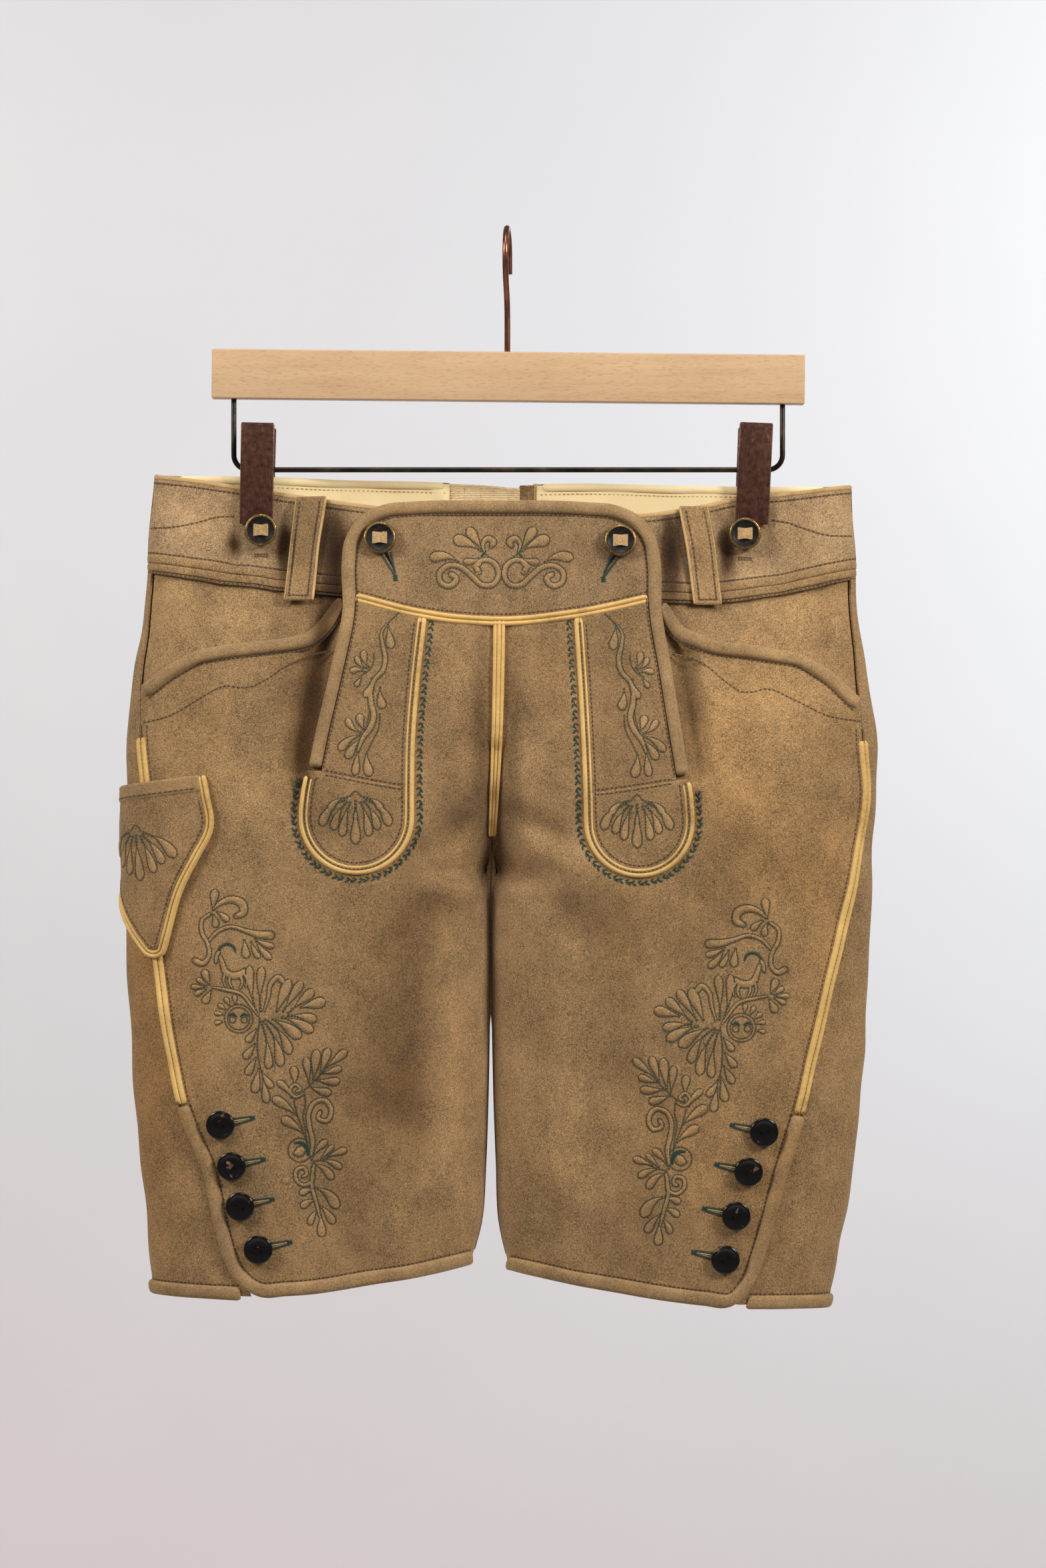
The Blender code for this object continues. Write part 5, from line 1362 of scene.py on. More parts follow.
def gusset():
    """Small suede diamond behind the crossing of the four seams, painted dark: painted shade in the gap between the
    legs.
    """
    z = np.linspace(-388.0, -424.0, 24)
    heap = Heap()
    laid(heap, np.column_stack((centre_line(z), z)), level(), 1.5 + 5.0 * bell(z - CROTCH - 16, 10.0), 1.0, DOMED,
         lift=-3.8, sink=1.2, light=-1.4)
    heap.make("crotch_gusset", "suede")


# ---------------------------------------------------------------- slanted pockets

# Where the side pockets' facings end behind the flap, and how far they lie in
FACING_END = {LEFT: -80.0, RIGHT: 75.0}
FACING_SINK = -SUEDE - 0.8


def mouth_path(side, drop):
    """The slanted pocket's edge, moved down by a drop."""
    xs = np.linspace(*POCKET_MOUTH_X[side], 60)
    z = FRONT_TOP[side].straight("z", xs)
    # The corners of the table's rows are rounded off, as the folded hide rounds them
    kernel = np.array((1, 3, 5, 6, 5, 3, 1), float) / 24
    z = np.convolve(np.pad(z, 3, mode="edge"), kernel, mode="valid")
    return shifted(even_path(np.column_stack((xs, z)), 2.0), -drop)


def pocket_facing(side):
    """The side piece that shows above the slanted pocket mouth; it runs on behind the leg front."""
    shares = shares_for(FRONT_WIDTH)
    shares = shares[side * front_x(side, -250.0, shares) > side * FACING_END[side]]
    arc, z = front_grid(side, lambda x: WAIST.at("front_bottom", x) - LAY_GAP,
                        lambda x: FRONT_TOP[side].straight("z", x) - POCKET_UNDERLAP, shares)
    heap = Heap()
    shell(heap, arc, z, round_side(side, FACING_SINK), SUEDE, lighter=0.12)
    heap.make("side_pocket_facing_" + SIDES[side], "suede", "pocket_facing_" + SIDES[side])


def pocket_roll(side):
    heap = Heap()
    laid(heap, mouth_path(side, POCKET_ROLL_WIDTH / 2 - 0.4), by_x(side), POCKET_ROLL_WIDTH, 3.3, lift=0.1,
         sink=0.5, light=0.10)
    heap.make("pocket_roll_" + SIDES[side], "binding", "pocket_edge_" + SIDES[side])


# ---------------------------------------------------------------- waistband

# How far the front band stands out over the form, and the lining lies in from the back band
BAND_LIFT = 0.48
LINING_GAP = 0.6
WELT_WIDTH = 5.4


def band_grid(side, face, low, high, drop=0.0, rise=0.0):
    """Arc lengths and heights of the waistband between two places on the level of its middle."""
    net = NETS[side]
    shares = shares_for(float(np.ptp((low, high))))
    arc = low + (high - low) * shares
    x = band_x(side, arc)
    top = WAIST.at(face + "_top", x) - drop
    bottom = WAIST.at(face + "_bottom", x) + rise
    z = rows_between(top, bottom)
    spot = net.arc_of(np.broadcast_to(x, z.shape), z, face)
    return np.where(np.abs(arc[None, :]) < 2, arc[None, :], spot), z


def waistband_front(side):
    net = NETS[side]
    heap = Heap()
    end = float(net.end(BAND_MIDDLE, "front")) - SEAM_GAP / 2
    arc, z = band_grid(side, "front", SEAM_GAP / 2, end)
    shell(heap, arc, z, round_side(side, BAND_LIFT), BAND_WALL, lighter=0.4, warmer=-0.85)
    heap.make("waist_front_" + SIDES[side], "suede", "waistband_front_" + SIDES[side])


def band_end(side):
    """Arc length of the back waistband's end beside the adjuster."""
    return float(NETS[side].arc_of(BACK_BAND_END[side], BAND_MIDDLE, "back"))


def waistband_back(side):
    heap = Heap()
    arc, z = band_grid(side, "back", -SEAM_GAP / 2, band_end(side))
    shell(heap, arc, z, round_side(side), BACK_BAND_WALL, "back", lighter=0.12)
    heap.make("waist_back_" + SIDES[side], "suede", "waistband_back_" + SIDES[side])


FACING_WALL = 1.0
FOLDED_STRIP = 5.2


def waist_lining(side):
    """Cream facing inside the back waistband, with its folded and stitched upper edge."""
    heap = Heap()
    start = -24.0
    arc, z = band_grid(side, "back", start, band_end(side), 0.6, 2.5)
    ruffle = BACK_BAND_END[side]
    sink = BACK_BAND_WALL + LINING_GAP

    def lift(x, height):
        near_end = bell(x - ruffle, 14.0) if side == LEFT else 0.3 * bell(x - ruffle, 9.0)
        return -sink - 0.45 * np.sin(x / 2.3 + height / 4) * near_end - 0.2 * np.sin(x / 9.0)

    shell(heap, arc, z, round_side(side, lift), FACING_WALL, "back")
    inner = round_side(side, -sink - FACING_WALL)
    xs = np.linspace(start, arc[0, -1], 90)
    x_at = band_x(side, xs)
    path = np.column_stack((NETS[side].arc_of(x_at, WAIST.at("back_top", x_at), "back"),
                            WAIST.at("back_top", x_at) + 0.7 - FOLDED_STRIP / 2))
    laid(heap, path, inner, FOLDED_STRIP, -0.9, DOMED, sink=-0.3, face="back")
    heap.make("waist_lining_" + SIDES[side], "facing", "waist_facing_" + SIDES[side])


ADJUSTER = (("adjuster_loops", -37.4, -17.4), ("adjuster_tab", -17.0, 8.0), ("adjuster_lap", 8.4, 18.8))


def adjuster():
    """Centre back: ribbed loops, a ribbed tab and the suede lap, side by side in the gap."""
    for name, low, high in ADJUSTER:
        heap = Heap()
        parts = [(low, high)]
        if name == "adjuster_loops":
            middle = (low + high) / 2
            parts = [(low - 0.6, middle - 0.5), (middle - 0.2, high)]
        if name == "adjuster_lap":
            parts = [(low, 12.6), (12.9, high)]
        for start, stop in parts:
            xs = start + (stop - start) * shares_for(stop - start, 0.9, 0.3)
            top = WAIST.at("back_top", xs) - 0.4
            if name == "adjuster_tab":
                top = top - 1.6 * ease((xs - low) / (high - low))
            z = rows_between(top, WAIST.at("back_bottom", xs))
            x = np.broadcast_to(xs, z.shape)
            crown = 0.5 if name == "adjuster_loops" else 0.15

            lift = -crown * np.sin(np.clip((x - start) / (stop - start), 0, 1) * math.pi)
            shell(heap, x, z, level("back", lift), BACK_BAND_WALL, "back", lighter=-0.15)
        heap.make(name + "_cloth", "suede" if name.endswith("lap") else "rib_knit", name)
    heap = Heap()
    xs = 17.4 + 1.9 * shares_for(1.9, 0.9, 0.3)
    z = rows_between(WAIST.at("back_top", xs) + 0.1, WAIST.at("back_bottom", xs))
    shell(heap, np.broadcast_to(xs, z.shape), z, level("back", 0.2), BACK_BAND_WALL + 0.9, "back")
    heap.make("adjuster_cut_edge", "edge")


def belt_loop(side):
    """Upright suede loop, bowed out between its sewn ends."""
    sizes = BELT_LOOPS[side]
    (top_x, top_z), (bottom_x, bottom_z) = sizes["top"], sizes["bottom"]
    down = shares_for(abs(top_z - bottom_z), 2.4)
    across = shares_for(sizes["width"], 1.6, 0.5) - 0.5
    z = top_z + (bottom_z - top_z) * down
    x = top_x + (bottom_x - top_x) * down
    grid_x = x[:, None] + across[None, :] * sizes["width"]
    grid_z = np.broadcast_to(z[:, None], grid_x.shape)
    steps = np.linspace(0, 1, len(BELT_LOOP_LIFTS))
    bow = np.interp(down, steps, BELT_LOOP_LIFTS)

    def lift(x, z):
        share = np.clip((top_z - z) / (top_z - bottom_z), 0, 1)
        return np.interp(share, down, bow) + BELT_LOOP_WALL

    heap = Heap()
    shell(heap, grid_x, grid_z, level(lift=lift), BELT_LOOP_WALL, lighter=0.0 if side == LEFT else 0.1,
          shaded_and_patched=False)
    heap.make("suede_loop_" + SIDES[side], "suede", "belt_loop_" + SIDES[side])


# ---------------------------------------------------------------- drop front

def flap_grid(top, bottom, low, high, first, step=PANEL_STEP):
    """Places between two side lines low(z), high(z) and two cross lines top(x), bottom(x)."""
    width = abs(float(high(first)) - float(low(first)))
    shares = shares_for(width, step)

    def x_of(z):
        return low(z) + (high(z) - low(z)) * shares

    upper = settle(np.full(shares.shape, first), x_of, top)
    lower = settle(np.full(shares.shape, first), x_of, bottom)
    z = rows_between(upper, lower, step)
    x = low(z) + (high(z) - low(z)) * shares[None, :]
    return x, z


def flap_yoke():
    x, z = flap_grid(lambda x: np.full(x.shape, FLAP_YOKE_TOP), lambda x: YOKE_SEAM.at("z", x) + SEAM_GAP,
                     lambda z: FLAP_SIDE.at("left", z), lambda z: FLAP_SIDE.at("right", z), -215.0)
    heap = Heap()
    shell(heap, x, z, level(lift=FLAP_FACE), SUEDE, lighter=GREY_YOKE * 0.4, warmer=-0.4)
    heap.make("yoke", "suede", "flap_yoke")


def strip_edge(side, z, which):
    """The strip and its lobe lie between the binding, or the piping's outer leg, and its inner leg."""
    clear = PIPING_WIDTH / 2 - 0.6
    piping = U_PIPING[side]
    if which == "inner":
        return piping["inner"].at("x", z) + side * clear
    return np.where(z > piping["end"], FLAP_SIDE.at(SIDES[side], z), piping["outer"].at("x", z) - side * clear)


def flap_strip(side):
    x, z = flap_grid(lambda x: YOKE_SEAM.at("z", x) - PIPING_WIDTH / 2, lambda x: STRIP_BOTTOM.straight("z", x),
                     lambda z: strip_edge(side, z, "inner"), lambda z: strip_edge(side, z, "outer"), -300.0, 2.4)
    heap = Heap()
    shell(heap, x, z, level(lift=STRIP_FACE), STRIP_WALL, lighter=GREY_YOKE * 0.8)
    heap.make("strip_" + SIDES[side], "suede", "flap_strip_" + SIDES[side])


def lobe_lift(x, z):
    return flap_lift(z) + LAY_GAP + STRIP_WALL


def flap_lobe(side):
    """Half-round end of the strip inside the loop of the piping."""
    piping = U_PIPING[side]
    centre_x, centre_z = piping["centre"]
    radius = piping["radius"] - PIPING_WIDTH / 2 + 0.6
    down = np.linspace(0, 1, 30)
    shares = shares_for(2 * radius, 2.4)
    grid_x = []
    grid_z = []
    inner = float(strip_edge(side, centre_z, "inner"))
    outer = float(strip_edge(side, centre_z, "outer"))
    low, high = sorted((inner, outer))
    for share in np.linspace(0, 1, 8)[:-1]:
        xs = low + (high - low) * shares
        top = STRIP_BOTTOM.straight("z", xs) - SEAM_GAP
        grid_x.append(xs)
        grid_z.append(top + (centre_z - top) * share)
    for angle in np.radians(84) * down[:-1]:
        half = radius * math.cos(angle)
        grid_x.append(centre_x + half * (2 * shares - 1))
        grid_z.append(np.full(shares.shape, centre_z - radius * math.sin(angle)))
    heap = Heap()
    shell(heap, np.array(grid_x), np.array(grid_z), level(lift=lobe_lift), STRIP_WALL, lighter=GREY_YOKE * 0.5)
    heap.make("lobe_" + SIDES[side], "suede", "flap_lobe_" + SIDES[side])


def shifted(path, offset):
    _, aside = beside(path)
    return path + aside * offset


def flap_edge(offset=0.0):
    """Middle line of the flap's binding, or a line beside it, from lower left over the top."""
    return shifted(even_path(FLAP_BINDING_PATH, 2.0), offset)


def flap_binding():
    heap = Heap()
    laid(heap, flap_edge(), level(), FLAP_BINDING_WIDTH, 4.4, lift=0.6, sink=0.2, light=0.06, blunt=2.4,
         shaded_and_patched=False)
    heap.make("flap_roll", "binding", "flap_binding")


def flipped(profile):
    return tuple((-share, height) for share, height in reversed(profile))


def yoke_path(offset=0.0):
    xs = np.linspace(-96.8, 89.8, 84)
    return np.column_stack((xs, YOKE_SEAM.at("z", xs) + offset))


def u_path(side, offset=0.0, start=0.0):
    """Down the strip's inner edge, round the lobe and up to the end of the flap's binding;
    a positive offset lies outside the loop."""
    piping = U_PIPING[side]
    centre_x, centre_z = piping["centre"]
    path = [(float(piping["inner"].at("x", z)), z) for z in np.linspace(piping["top"] - start, centre_z, 11)[:-1]]
    for turn in np.radians(np.linspace(0, 180, 19)):
        path.append((centre_x - side * piping["radius"] * math.cos(turn),
                     centre_z - piping["radius"] * math.sin(turn)))
    path += [(float(piping["outer"].at("x", z)), z) for z in np.linspace(centre_z, piping["end"], 4)[1:]]
    return shifted(even_path(path, 1.6), -side * offset)


def yoke_piping():
    heap = Heap()
    laid(heap, yoke_path(), level(), PIPING_WIDTH, 2.5, flipped(DOUBLE), lift=FLAP_FACE + 0.3, shaded_and_patched=False)
    heap.make("yoke_cord", "piping", "yoke_piping")


def strip_piping(side):
    path = u_path(side, start=-3.2)
    heap = Heap()
    laid(heap, path, level(), PIPING_WIDTH + 0.4, 2.0, flipped(DOUBLE) if side == LEFT else DOUBLE,
         lift=flap_lift(path[:, 1]) + 0.4, shaded_and_patched=False)
    heap.make("strip_cord_" + SIDES[side], "piping", "strip_piping_" + SIDES[side])


def centre_piping():
    z = np.linspace(CENTRE_PIPING.data[-1, 0] + 3.4, CENTRE_PIPING.data[0, 0], 92)
    heap = Heap()
    laid(heap, np.column_stack((centre_line(z), z)), level(), CENTRE_PIPING.at("width", z), 1.9, TRIPLE,
         lift=flap_lift(z) + 0.5, sink=2.6, shaded_and_patched=False)
    heap.make("centre_cord", "piping", "centre_piping")


# ---------------------------------------------------------------- knife pocket, side trim and hems

KNIFE_FACE = KNIFE_LIFT + SUEDE
KNIFE_BAND_FACE = KNIFE_FACE + 0.8


def knife_place(share, row, drop, tip):
    """Arc length and height of places on the pocket: share runs from edge to edge, row down."""
    z = np.full(np.broadcast(share, row).shape, -400.0)
    for _ in range(12):
        offset = share * KNIFE_POCKET.at("half_width", z)
        top = KNIFE_TOP + KNIFE_TOP_SLOPE * offset - drop
        z = top + (tip(top) - top) * row
    return KNIFE_POCKET.at("axis", z) + offset, z


def knife_edge(offset):
    """Round the shield from its upper left corner to its tip and up to its upper right corner."""
    rows = np.linspace(0, 1, 40)
    down = np.column_stack(knife_place(-1.0, rows, 0.0, lambda top: KNIFE_TIP))
    up = np.column_stack(knife_place(1.0, rows[::-1], 0.0, lambda top: KNIFE_TIP))
    return shifted(even_path(np.concatenate((down, up)), 1.6), -offset)


def knife_pocket():
    """Shield-shaped knife pocket with a folded band on top and piping round its edge."""
    surface = round_side(LEFT, KNIFE_FACE)
    shares = 2 * shares_for(88.0, 2.6) - 1
    rows = shares_for(104.0, 2.6)
    arc, z = knife_place(shares[None, :], rows[:, None], KNIFE_BAND + SEAM_GAP, lambda top: KNIFE_TIP)
    heap = Heap()
    shell(heap, arc, z, surface, SUEDE, lighter=-0.02)
    heap.make("knife_shield", "suede", "knife_pocket")

    heap = Heap()
    arc, z = knife_place(shares[None, :], shares_for(KNIFE_BAND, 1.2)[:, None], 0.0, lambda top: top - KNIFE_BAND)
    shell(heap, arc, z, round_side(LEFT, KNIFE_BAND_FACE), SUEDE + 0.6, roll=0.5)
    heap.make("knife_band", "binding", "knife_pocket_band")

    heap = Heap()
    laid(heap, knife_edge(KNIFE_PIPING_WIDTH / 2 + 0.3), round_side(LEFT), KNIFE_PIPING_WIDTH + 0.6, 2.0, DOUBLE,
         lift=KNIFE_LIFT + 0.2, sink=2.2, shaded_and_patched=False)
    heap.make("knife_cord", "piping", "knife_pocket_piping")


def seam_path(side, top, bottom, count=80):
    """Points (arc length, height) along the side seam."""
    z = np.linspace(top, bottom, count)
    return np.column_stack((NETS[side].arc_of(SIDE_SEAM.at(SIDES[side], z), z), z))


def side_piping(side):
    heap = Heap()
    laid(heap, even_path(seam_path(side, *SIDE_PIPING_ENDS[side]), 2.0), round_side(side), 7.2, 1.9,
         DOUBLE if side == LEFT else flipped(DOUBLE), lift=0.3, sink=0.8, shaded_and_patched=False)
    heap.make("side_cord_" + SIDES[side], "piping", "side_piping_" + SIDES[side])


def placket_path(side):
    """Down the placket, round its corner and along the front hem to the inner leg."""
    hem = FRONT_HEM[side]
    net = NETS[side]
    corner_x = float(SIDE_SEAM.at(SIDES[side], -678.0))
    corner_z = float(hem.at("z", corner_x)) + 1.0
    path = list(seam_path(side, PLACKET_TOP[side] + 3.4, corner_z + 1.2 * HEM_CORNER_RADIUS, 10))
    inner_x = float(SECTIONS.at("inner_" + SIDES[side], -664.0))
    start_x = corner_x - side * HEM_CORNER_RADIUS
    for share in np.linspace(0, 1, 15):
        x = start_x + (inner_x - start_x) * math.sin(share * math.pi / 2)
        z = float(hem.at("z", x)) + 1.0
        path.append((min(float(net.arc_of(x, z)), float(net.end(z, "front")) - HEM_END_STOP), z))
    return even_path(path, 2.0)


def placket_binding(side):
    heap = Heap()
    laid(heap, placket_path(side), round_side(side), BINDING_WIDTH, 2.9, lift=0.4, sink=0.6, light=0.08)
    heap.make("placket_roll_" + SIDES[side], "binding", "placket_binding_" + SIDES[side])


def back_hem_path(side):
    z = BACK_HEM[side]["seam"]
    net = NETS[side]
    start = float(net.arc_of(SIDE_SEAM.at(SIDES[side], z), z)) - BINDING_WIDTH / 2 - 2.5
    end = -float(net.end(BACK_HEM[side]["inner"], "back")) + HEM_END_STOP
    arcs = np.concatenate((np.linspace(start, 20, 8)[:-1], np.linspace(20, -34, 14)[:-1],
                           np.linspace(-34, end + 60, 18)[:-1], np.linspace(end + 60, end, 14)))
    heights = back_hem(side, arcs, np.full(arcs.shape, float(z))) + 1.0
    return even_path(np.column_stack((arcs, heights)), 2.0)


def back_hem_binding(side):
    heap = Heap()
    laid(heap, back_hem_path(side), round_side(side), BINDING_WIDTH, 2.7, lift=0.4, sink=0.6, light=0.04, face="back")
    heap.make("hem_roll_" + SIDES[side], "binding", "back_hem_binding_" + SIDES[side])


# ---------------------------------------------------------------- seam stitching

def flap_level(x, z):
    """Height of the flap's outermost cloth over the form: the yoke, the strips and the lobes."""
    on_strip = z < YOKE_SEAM.at("z", x)
    return np.where(on_strip, flap_lift(z) + LAY_GAP + STRIP_WALL, FLAP_FACE)


def waist_path(side, line, offset, face="front"):
    """A line along the waistband, by arc length, at a distance from its top or bottom."""
    net = NETS[side]
    end = float(net.end(BAND_MIDDLE, "front")) - 1.0 if face == "front" else band_end(side) + 1.0
    arcs = np.linspace(2.0, end, 90) if face == "front" else np.linspace(-2.0, end, 90)
    x = band_x(side, arcs)
    z = WAIST.at(face + "_" + line, x) + offset
    spots = np.where(np.abs(arcs) < 4, arcs, net.arc_of(x, z, face))
    return even_path(np.column_stack((spots, z)), 2.0)


# A decorative row on the front band: it rises towards the clips and falls again
WAIST_ARCH = {
    LEFT: ((-230, -192), (-214, -191.5), (-200, -188.5), (-186, -184.5), (-176, -184)),
    RIGHT: ((222, -197), (204, -196.5), (192, -192.5), (180, -188.0), (170, -186.5)),
}
# The second row under each slanted pocket, with its cusp
POCKET_ARCH = {
    LEFT: ((-112.9, -271.3), (-127, -275), (-142.1, -281.7), (-152, -288.6), (-161.9, -294.1)),
    RIGHT: ((105.1, -273.5), (118, -276.4), (127.9, -281.7), (138, -290), (148.6, -297.6)),
}
POCKET_ARCH_OUTER = {
    LEFT: ((-161.9, -294.1), (-170, -295.3), (-178.7, -294.1), (-196, -301.5), (-216.5, -313.0), (-233.7, -317.3)),
    RIGHT: ((148.6, -297.6), (156, -297.8), (164.5, -295.8), (184, -303.5), (205.3, -313.0), (226.8, -316.5)),
}


def waist_stitches(side):
    """Rows of stitches, the cut upper edge, the welts of the waist seam and the tacks under the clip."""
    threads = Seam()
    front = round_side(side, BAND_LIFT)
    back = round_side(side)
    for line, offset in (("top", -4.6), ("bottom", 6.2)):
        stitch_path(threads, waist_path(side, line, offset), front, seed=3)
        stitch_path(threads, waist_path(side, line, offset, "back"), back, seed=4)
    stitch_path(threads, waist_path(side, "bottom", -6.4), back, seed=5)
    stitch_path(threads, waist_path(side, "bottom", -6.4, "back"), back, seed=6)
    stitch_path(threads, even_path(WAIST_ARCH[side], 2.0), by_x(side, BAND_LIFT), seed=7)
    x, z = WAIST_BUTTONS["brace_button_" + SIDES[side]]
    for row in range(2):
        tack = [(x - 4.6, z - 15.4 - 1.4 * row), (x + 4.6, z - 15.8 - 1.4 * row)]
        stitch_path(threads, tack, by_x(side, BAND_LIFT), pitch=1.7, length=1.5, radius=0.32, seed=8)
    threads.make("waist_stitching_" + SIDES[side], "seam_thread")

    welts = Heap()
    for face, surface in (("front", back), ("back", back)):
        laid(welts, waist_path(side, "bottom", 2.5, face), surface, WELT_WIDTH, 1.0, lift=0.25, face=face, light=0.12)
        laid(welts, waist_path(side, "bottom", -2.9, face), surface, 4.8, 0.8, lift=0.15, face=face, light=0.0)
    welts.make("waist_welts_" + SIDES[side], "suede")

    edge = Heap()
    laid(edge, waist_path(side, "top", -0.7), round_side(side, BAND_LIFT), 2.3, 0.35, lift=0.0, sink=0.6)
    laid(edge, waist_path(side, "top", -0.5, "back"), back, 1.6, 0.3, lift=0.0, sink=0.6, face="back")
    edge.make("waist_cut_edge_" + SIDES[side], "edge")


def lining_stitches(side):
    threads = Heap()
    net = NETS[side]
    arcs = np.linspace(-26.0, band_end(side) + 1.5, 90)
    x = band_x(side, arcs)
    z = WAIST.at("back_top", x) - FOLDED_STRIP - 0.8
    inside = round_side(side, -BACK_BAND_WALL - LINING_GAP - FACING_WALL)

    def under(arc, z):
        points, normals = inside(arc, z)
        return points, -normals

    stitch_path(threads, even_path(np.column_stack((net.arc_of(x, z, "back"), z)), 2.0), under, length=2.0)
    threads.make("lining_stitching_" + SIDES[side], "yellow_thread")
    if side == RIGHT:
        tack = Heap()
        for turn in np.radians(np.arange(-10, 200, 26)):
            spots = np.array((22.6, -176.8)) + np.outer((1.2, 5.0), (math.cos(turn), math.sin(turn)))
            ends = np.column_stack((net.arc_of(spots[:, 0], spots[:, 1], "back"), spots[:, 1]))
            stitch_path(tack, ends, under, pitch=6, length=3.8, radius=0.45)
        tack.make("lining_tack", "green_thread")


def pocket_stitches(side):
    threads = Seam()
    surface = by_x(side)
    stitch_path(threads, mouth_path(side, POCKET_ROLL_WIDTH + 0.6), surface, seed=11)
    for arch in (POCKET_ARCH[side], POCKET_ARCH_OUTER[side]):
        stitch_path(threads, even_path(arch, 2.0), surface, seed=12)
    threads.make("pocket_stitching_" + SIDES[side], "seam_thread")


def flap_stitches():
    threads = Seam()
    raised = level(lift=flap_level)
    stitch_path(threads, flap_edge(-FLAP_BINDING_WIDTH / 2 - 0.7), raised, seed=21)
    stitch_path(threads, yoke_path(4.6), level(lift=FLAP_FACE), seed=22)
    for side in SIDES:
        stitch_path(threads, u_path(side, -4.4, start=1.0), raised, seed=23)
        stitch_path(threads, u_path(side, -0.3), raised, lift=0.3, seed=24, **{**FINE, "radius": 0.3})
        inner = U_PIPING[side]["inner"].at("x", -355.0)
        outer = FLAP_SIDE.at(SIDES[side], -350.0)
        xs = np.linspace(inner + side * 5, outer - side * 2, 20)
        for drop in (1.3, -1.8):
            bottom = np.column_stack((xs, STRIP_BOTTOM.at("z", xs) + drop))
            stitch_path(threads, bottom, raised, seed=25)
    for offset in (-0.9, 0.9):
        z = np.linspace(-256, -386, 60)
        width = CENTRE_PIPING.at("width", z)
        stitch_path(threads, np.column_stack((centre_line(z) + offset * 0.21 * width, z)),
                    level(lift=lambda x, z: flap_lift(z) + 0.9), seed=26, **FINE)
    stitch_path(threads, yoke_path(-0.1), level(lift=FLAP_FACE + 0.6), seed=27, **FINE)
    threads.make("flap_stitching", "seam_thread")


def side_stitches(side):
    threads = Seam()
    surface = round_side(side)
    seam = even_path(seam_path(side, SIDE_PIPING_ENDS[side][0] + 8, SIDE_PIPING_ENDS[side][1] - 6), 2.0)
    stitch_path(threads, shifted(seam, 5.0), surface, seed=31)
    stitch_path(threads, shifted(seam, -0.3 * side), round_side(side, 0.9), seed=32, **FINE)
    stitch_path(threads, shifted(placket_path(side), BINDING_WIDTH / 2 + 0.9), surface, seed=33)
    stitch_path(threads, shifted(back_hem_path(side), 0) + np.array((0, BINDING_WIDTH / 2 + 1.0)), surface, seed=34)
    tack_arc, tack_z = placket_path(side)[0]
    for turn in (-3.0, 3.0):
        bar = [(tack_arc + turn - 1.2, tack_z + 1.6), (tack_arc + turn + 1.2, tack_z + 2.6)]
        stitch_path(threads, bar, round_side(side, 2.2), pitch=1.2, length=1.1, radius=0.3, seed=35)
    threads.make("side_stitching_" + SIDES[side], "seam_thread")


def loop_stitches(side):
    """Rows of stitches inside both edges of the loop, and its raw yellow edges."""
    sizes = BELT_LOOPS[side]
    top = np.array(sizes["top"])
    bottom = np.array(sizes["bottom"])
    down = np.linspace(0, 1, 30)

    def lift(x, z):
        share = np.clip((top[1] - z) / (top[1] - bottom[1]), 0, 1)
        return np.interp(share, np.linspace(0, 1, len(BELT_LOOP_LIFTS)), BELT_LOOP_LIFTS) + BELT_LOOP_WALL

    threads = Seam()
    edges = Heap()
    line = top + (bottom - top) * down[:, None]
    half = sizes["width"] / 2
    for out in (-1, 1):
        stitch_path(threads, (line + (out * (half - 2.6), 0))[1:-1], level(lift=lift), seed=41)
        wide = 2.6 if out == -side else 2.0
        laid(edges, line + (out * (half - 0.1), 0), level(lift=lift), wide, 0.5, lift=-0.6, sink=0.6)
    stitch_path(threads, [(bottom[0] - half + 2, bottom[1] + 2.4), (bottom[0] + half - 2, bottom[1] + 2.4)],
                level(lift=lift), seed=42)
    threads.make("loop_stitching_" + SIDES[side], "seam_thread")
    edges.make("loop_cut_edge_" + SIDES[side], "edge")


def knife_stitches():
    threads = Seam()
    face = round_side(LEFT, KNIFE_FACE)
    inner = knife_edge(-1.6)
    stitch_path(threads, inner[inner[:, 1] < KNIFE_TOP - KNIFE_BAND - 1], face, seed=51)
    stitch_path(threads, knife_edge(KNIFE_PIPING_WIDTH / 2 + 0.1), round_side(LEFT, KNIFE_LIFT + 0.9), seed=52,
                **FINE)
    arc, z = knife_place(np.linspace(-0.94, 0.94, 40), np.zeros(40), KNIFE_BAND - 1.4, lambda top: KNIFE_TIP)
    stitch_path(threads, np.column_stack((arc, z)), round_side(LEFT, KNIFE_BAND_FACE), pitch=3.6, length=3.0,
                radius=0.36, seed=53)
    threads.make("knife_stitching", "seam_thread")


# ---------------------------------------------------------------- embroidery

def petal_rows(x0, z0, x1, z1, width, bow=0.0, slim=0.12):
    """Spine and half widths of a petal from its foot to its round tip; bow bends it to the left of its run."""
    share = np.linspace(0, 1, 13)
    run = np.array((x1 - x0, z1 - z0), float)
    left = np.array((-run[1], run[0])) / np.linalg.norm(run)
    swell = np.clip((share - slim) / (1 - slim), 0, 1)
    half = width / 2 * swell ** 0.9 * np.sqrt(1 - swell ** 4) / 0.64
    spine = np.array((x0, z0)) + run * share[:, None] + left * (bow * 4 * share * (1 - share))[:, None]
    return np.column_stack((spine, np.maximum(half, 0.3 * (1 - share))))


SATIN_PITCH = 0.62
OVERCAST_PITCH = 0.85
OUTLINE = {"pitch": 2.0, "length": 1.85, "radius": 0.34, "shape": SHORT_STITCH}


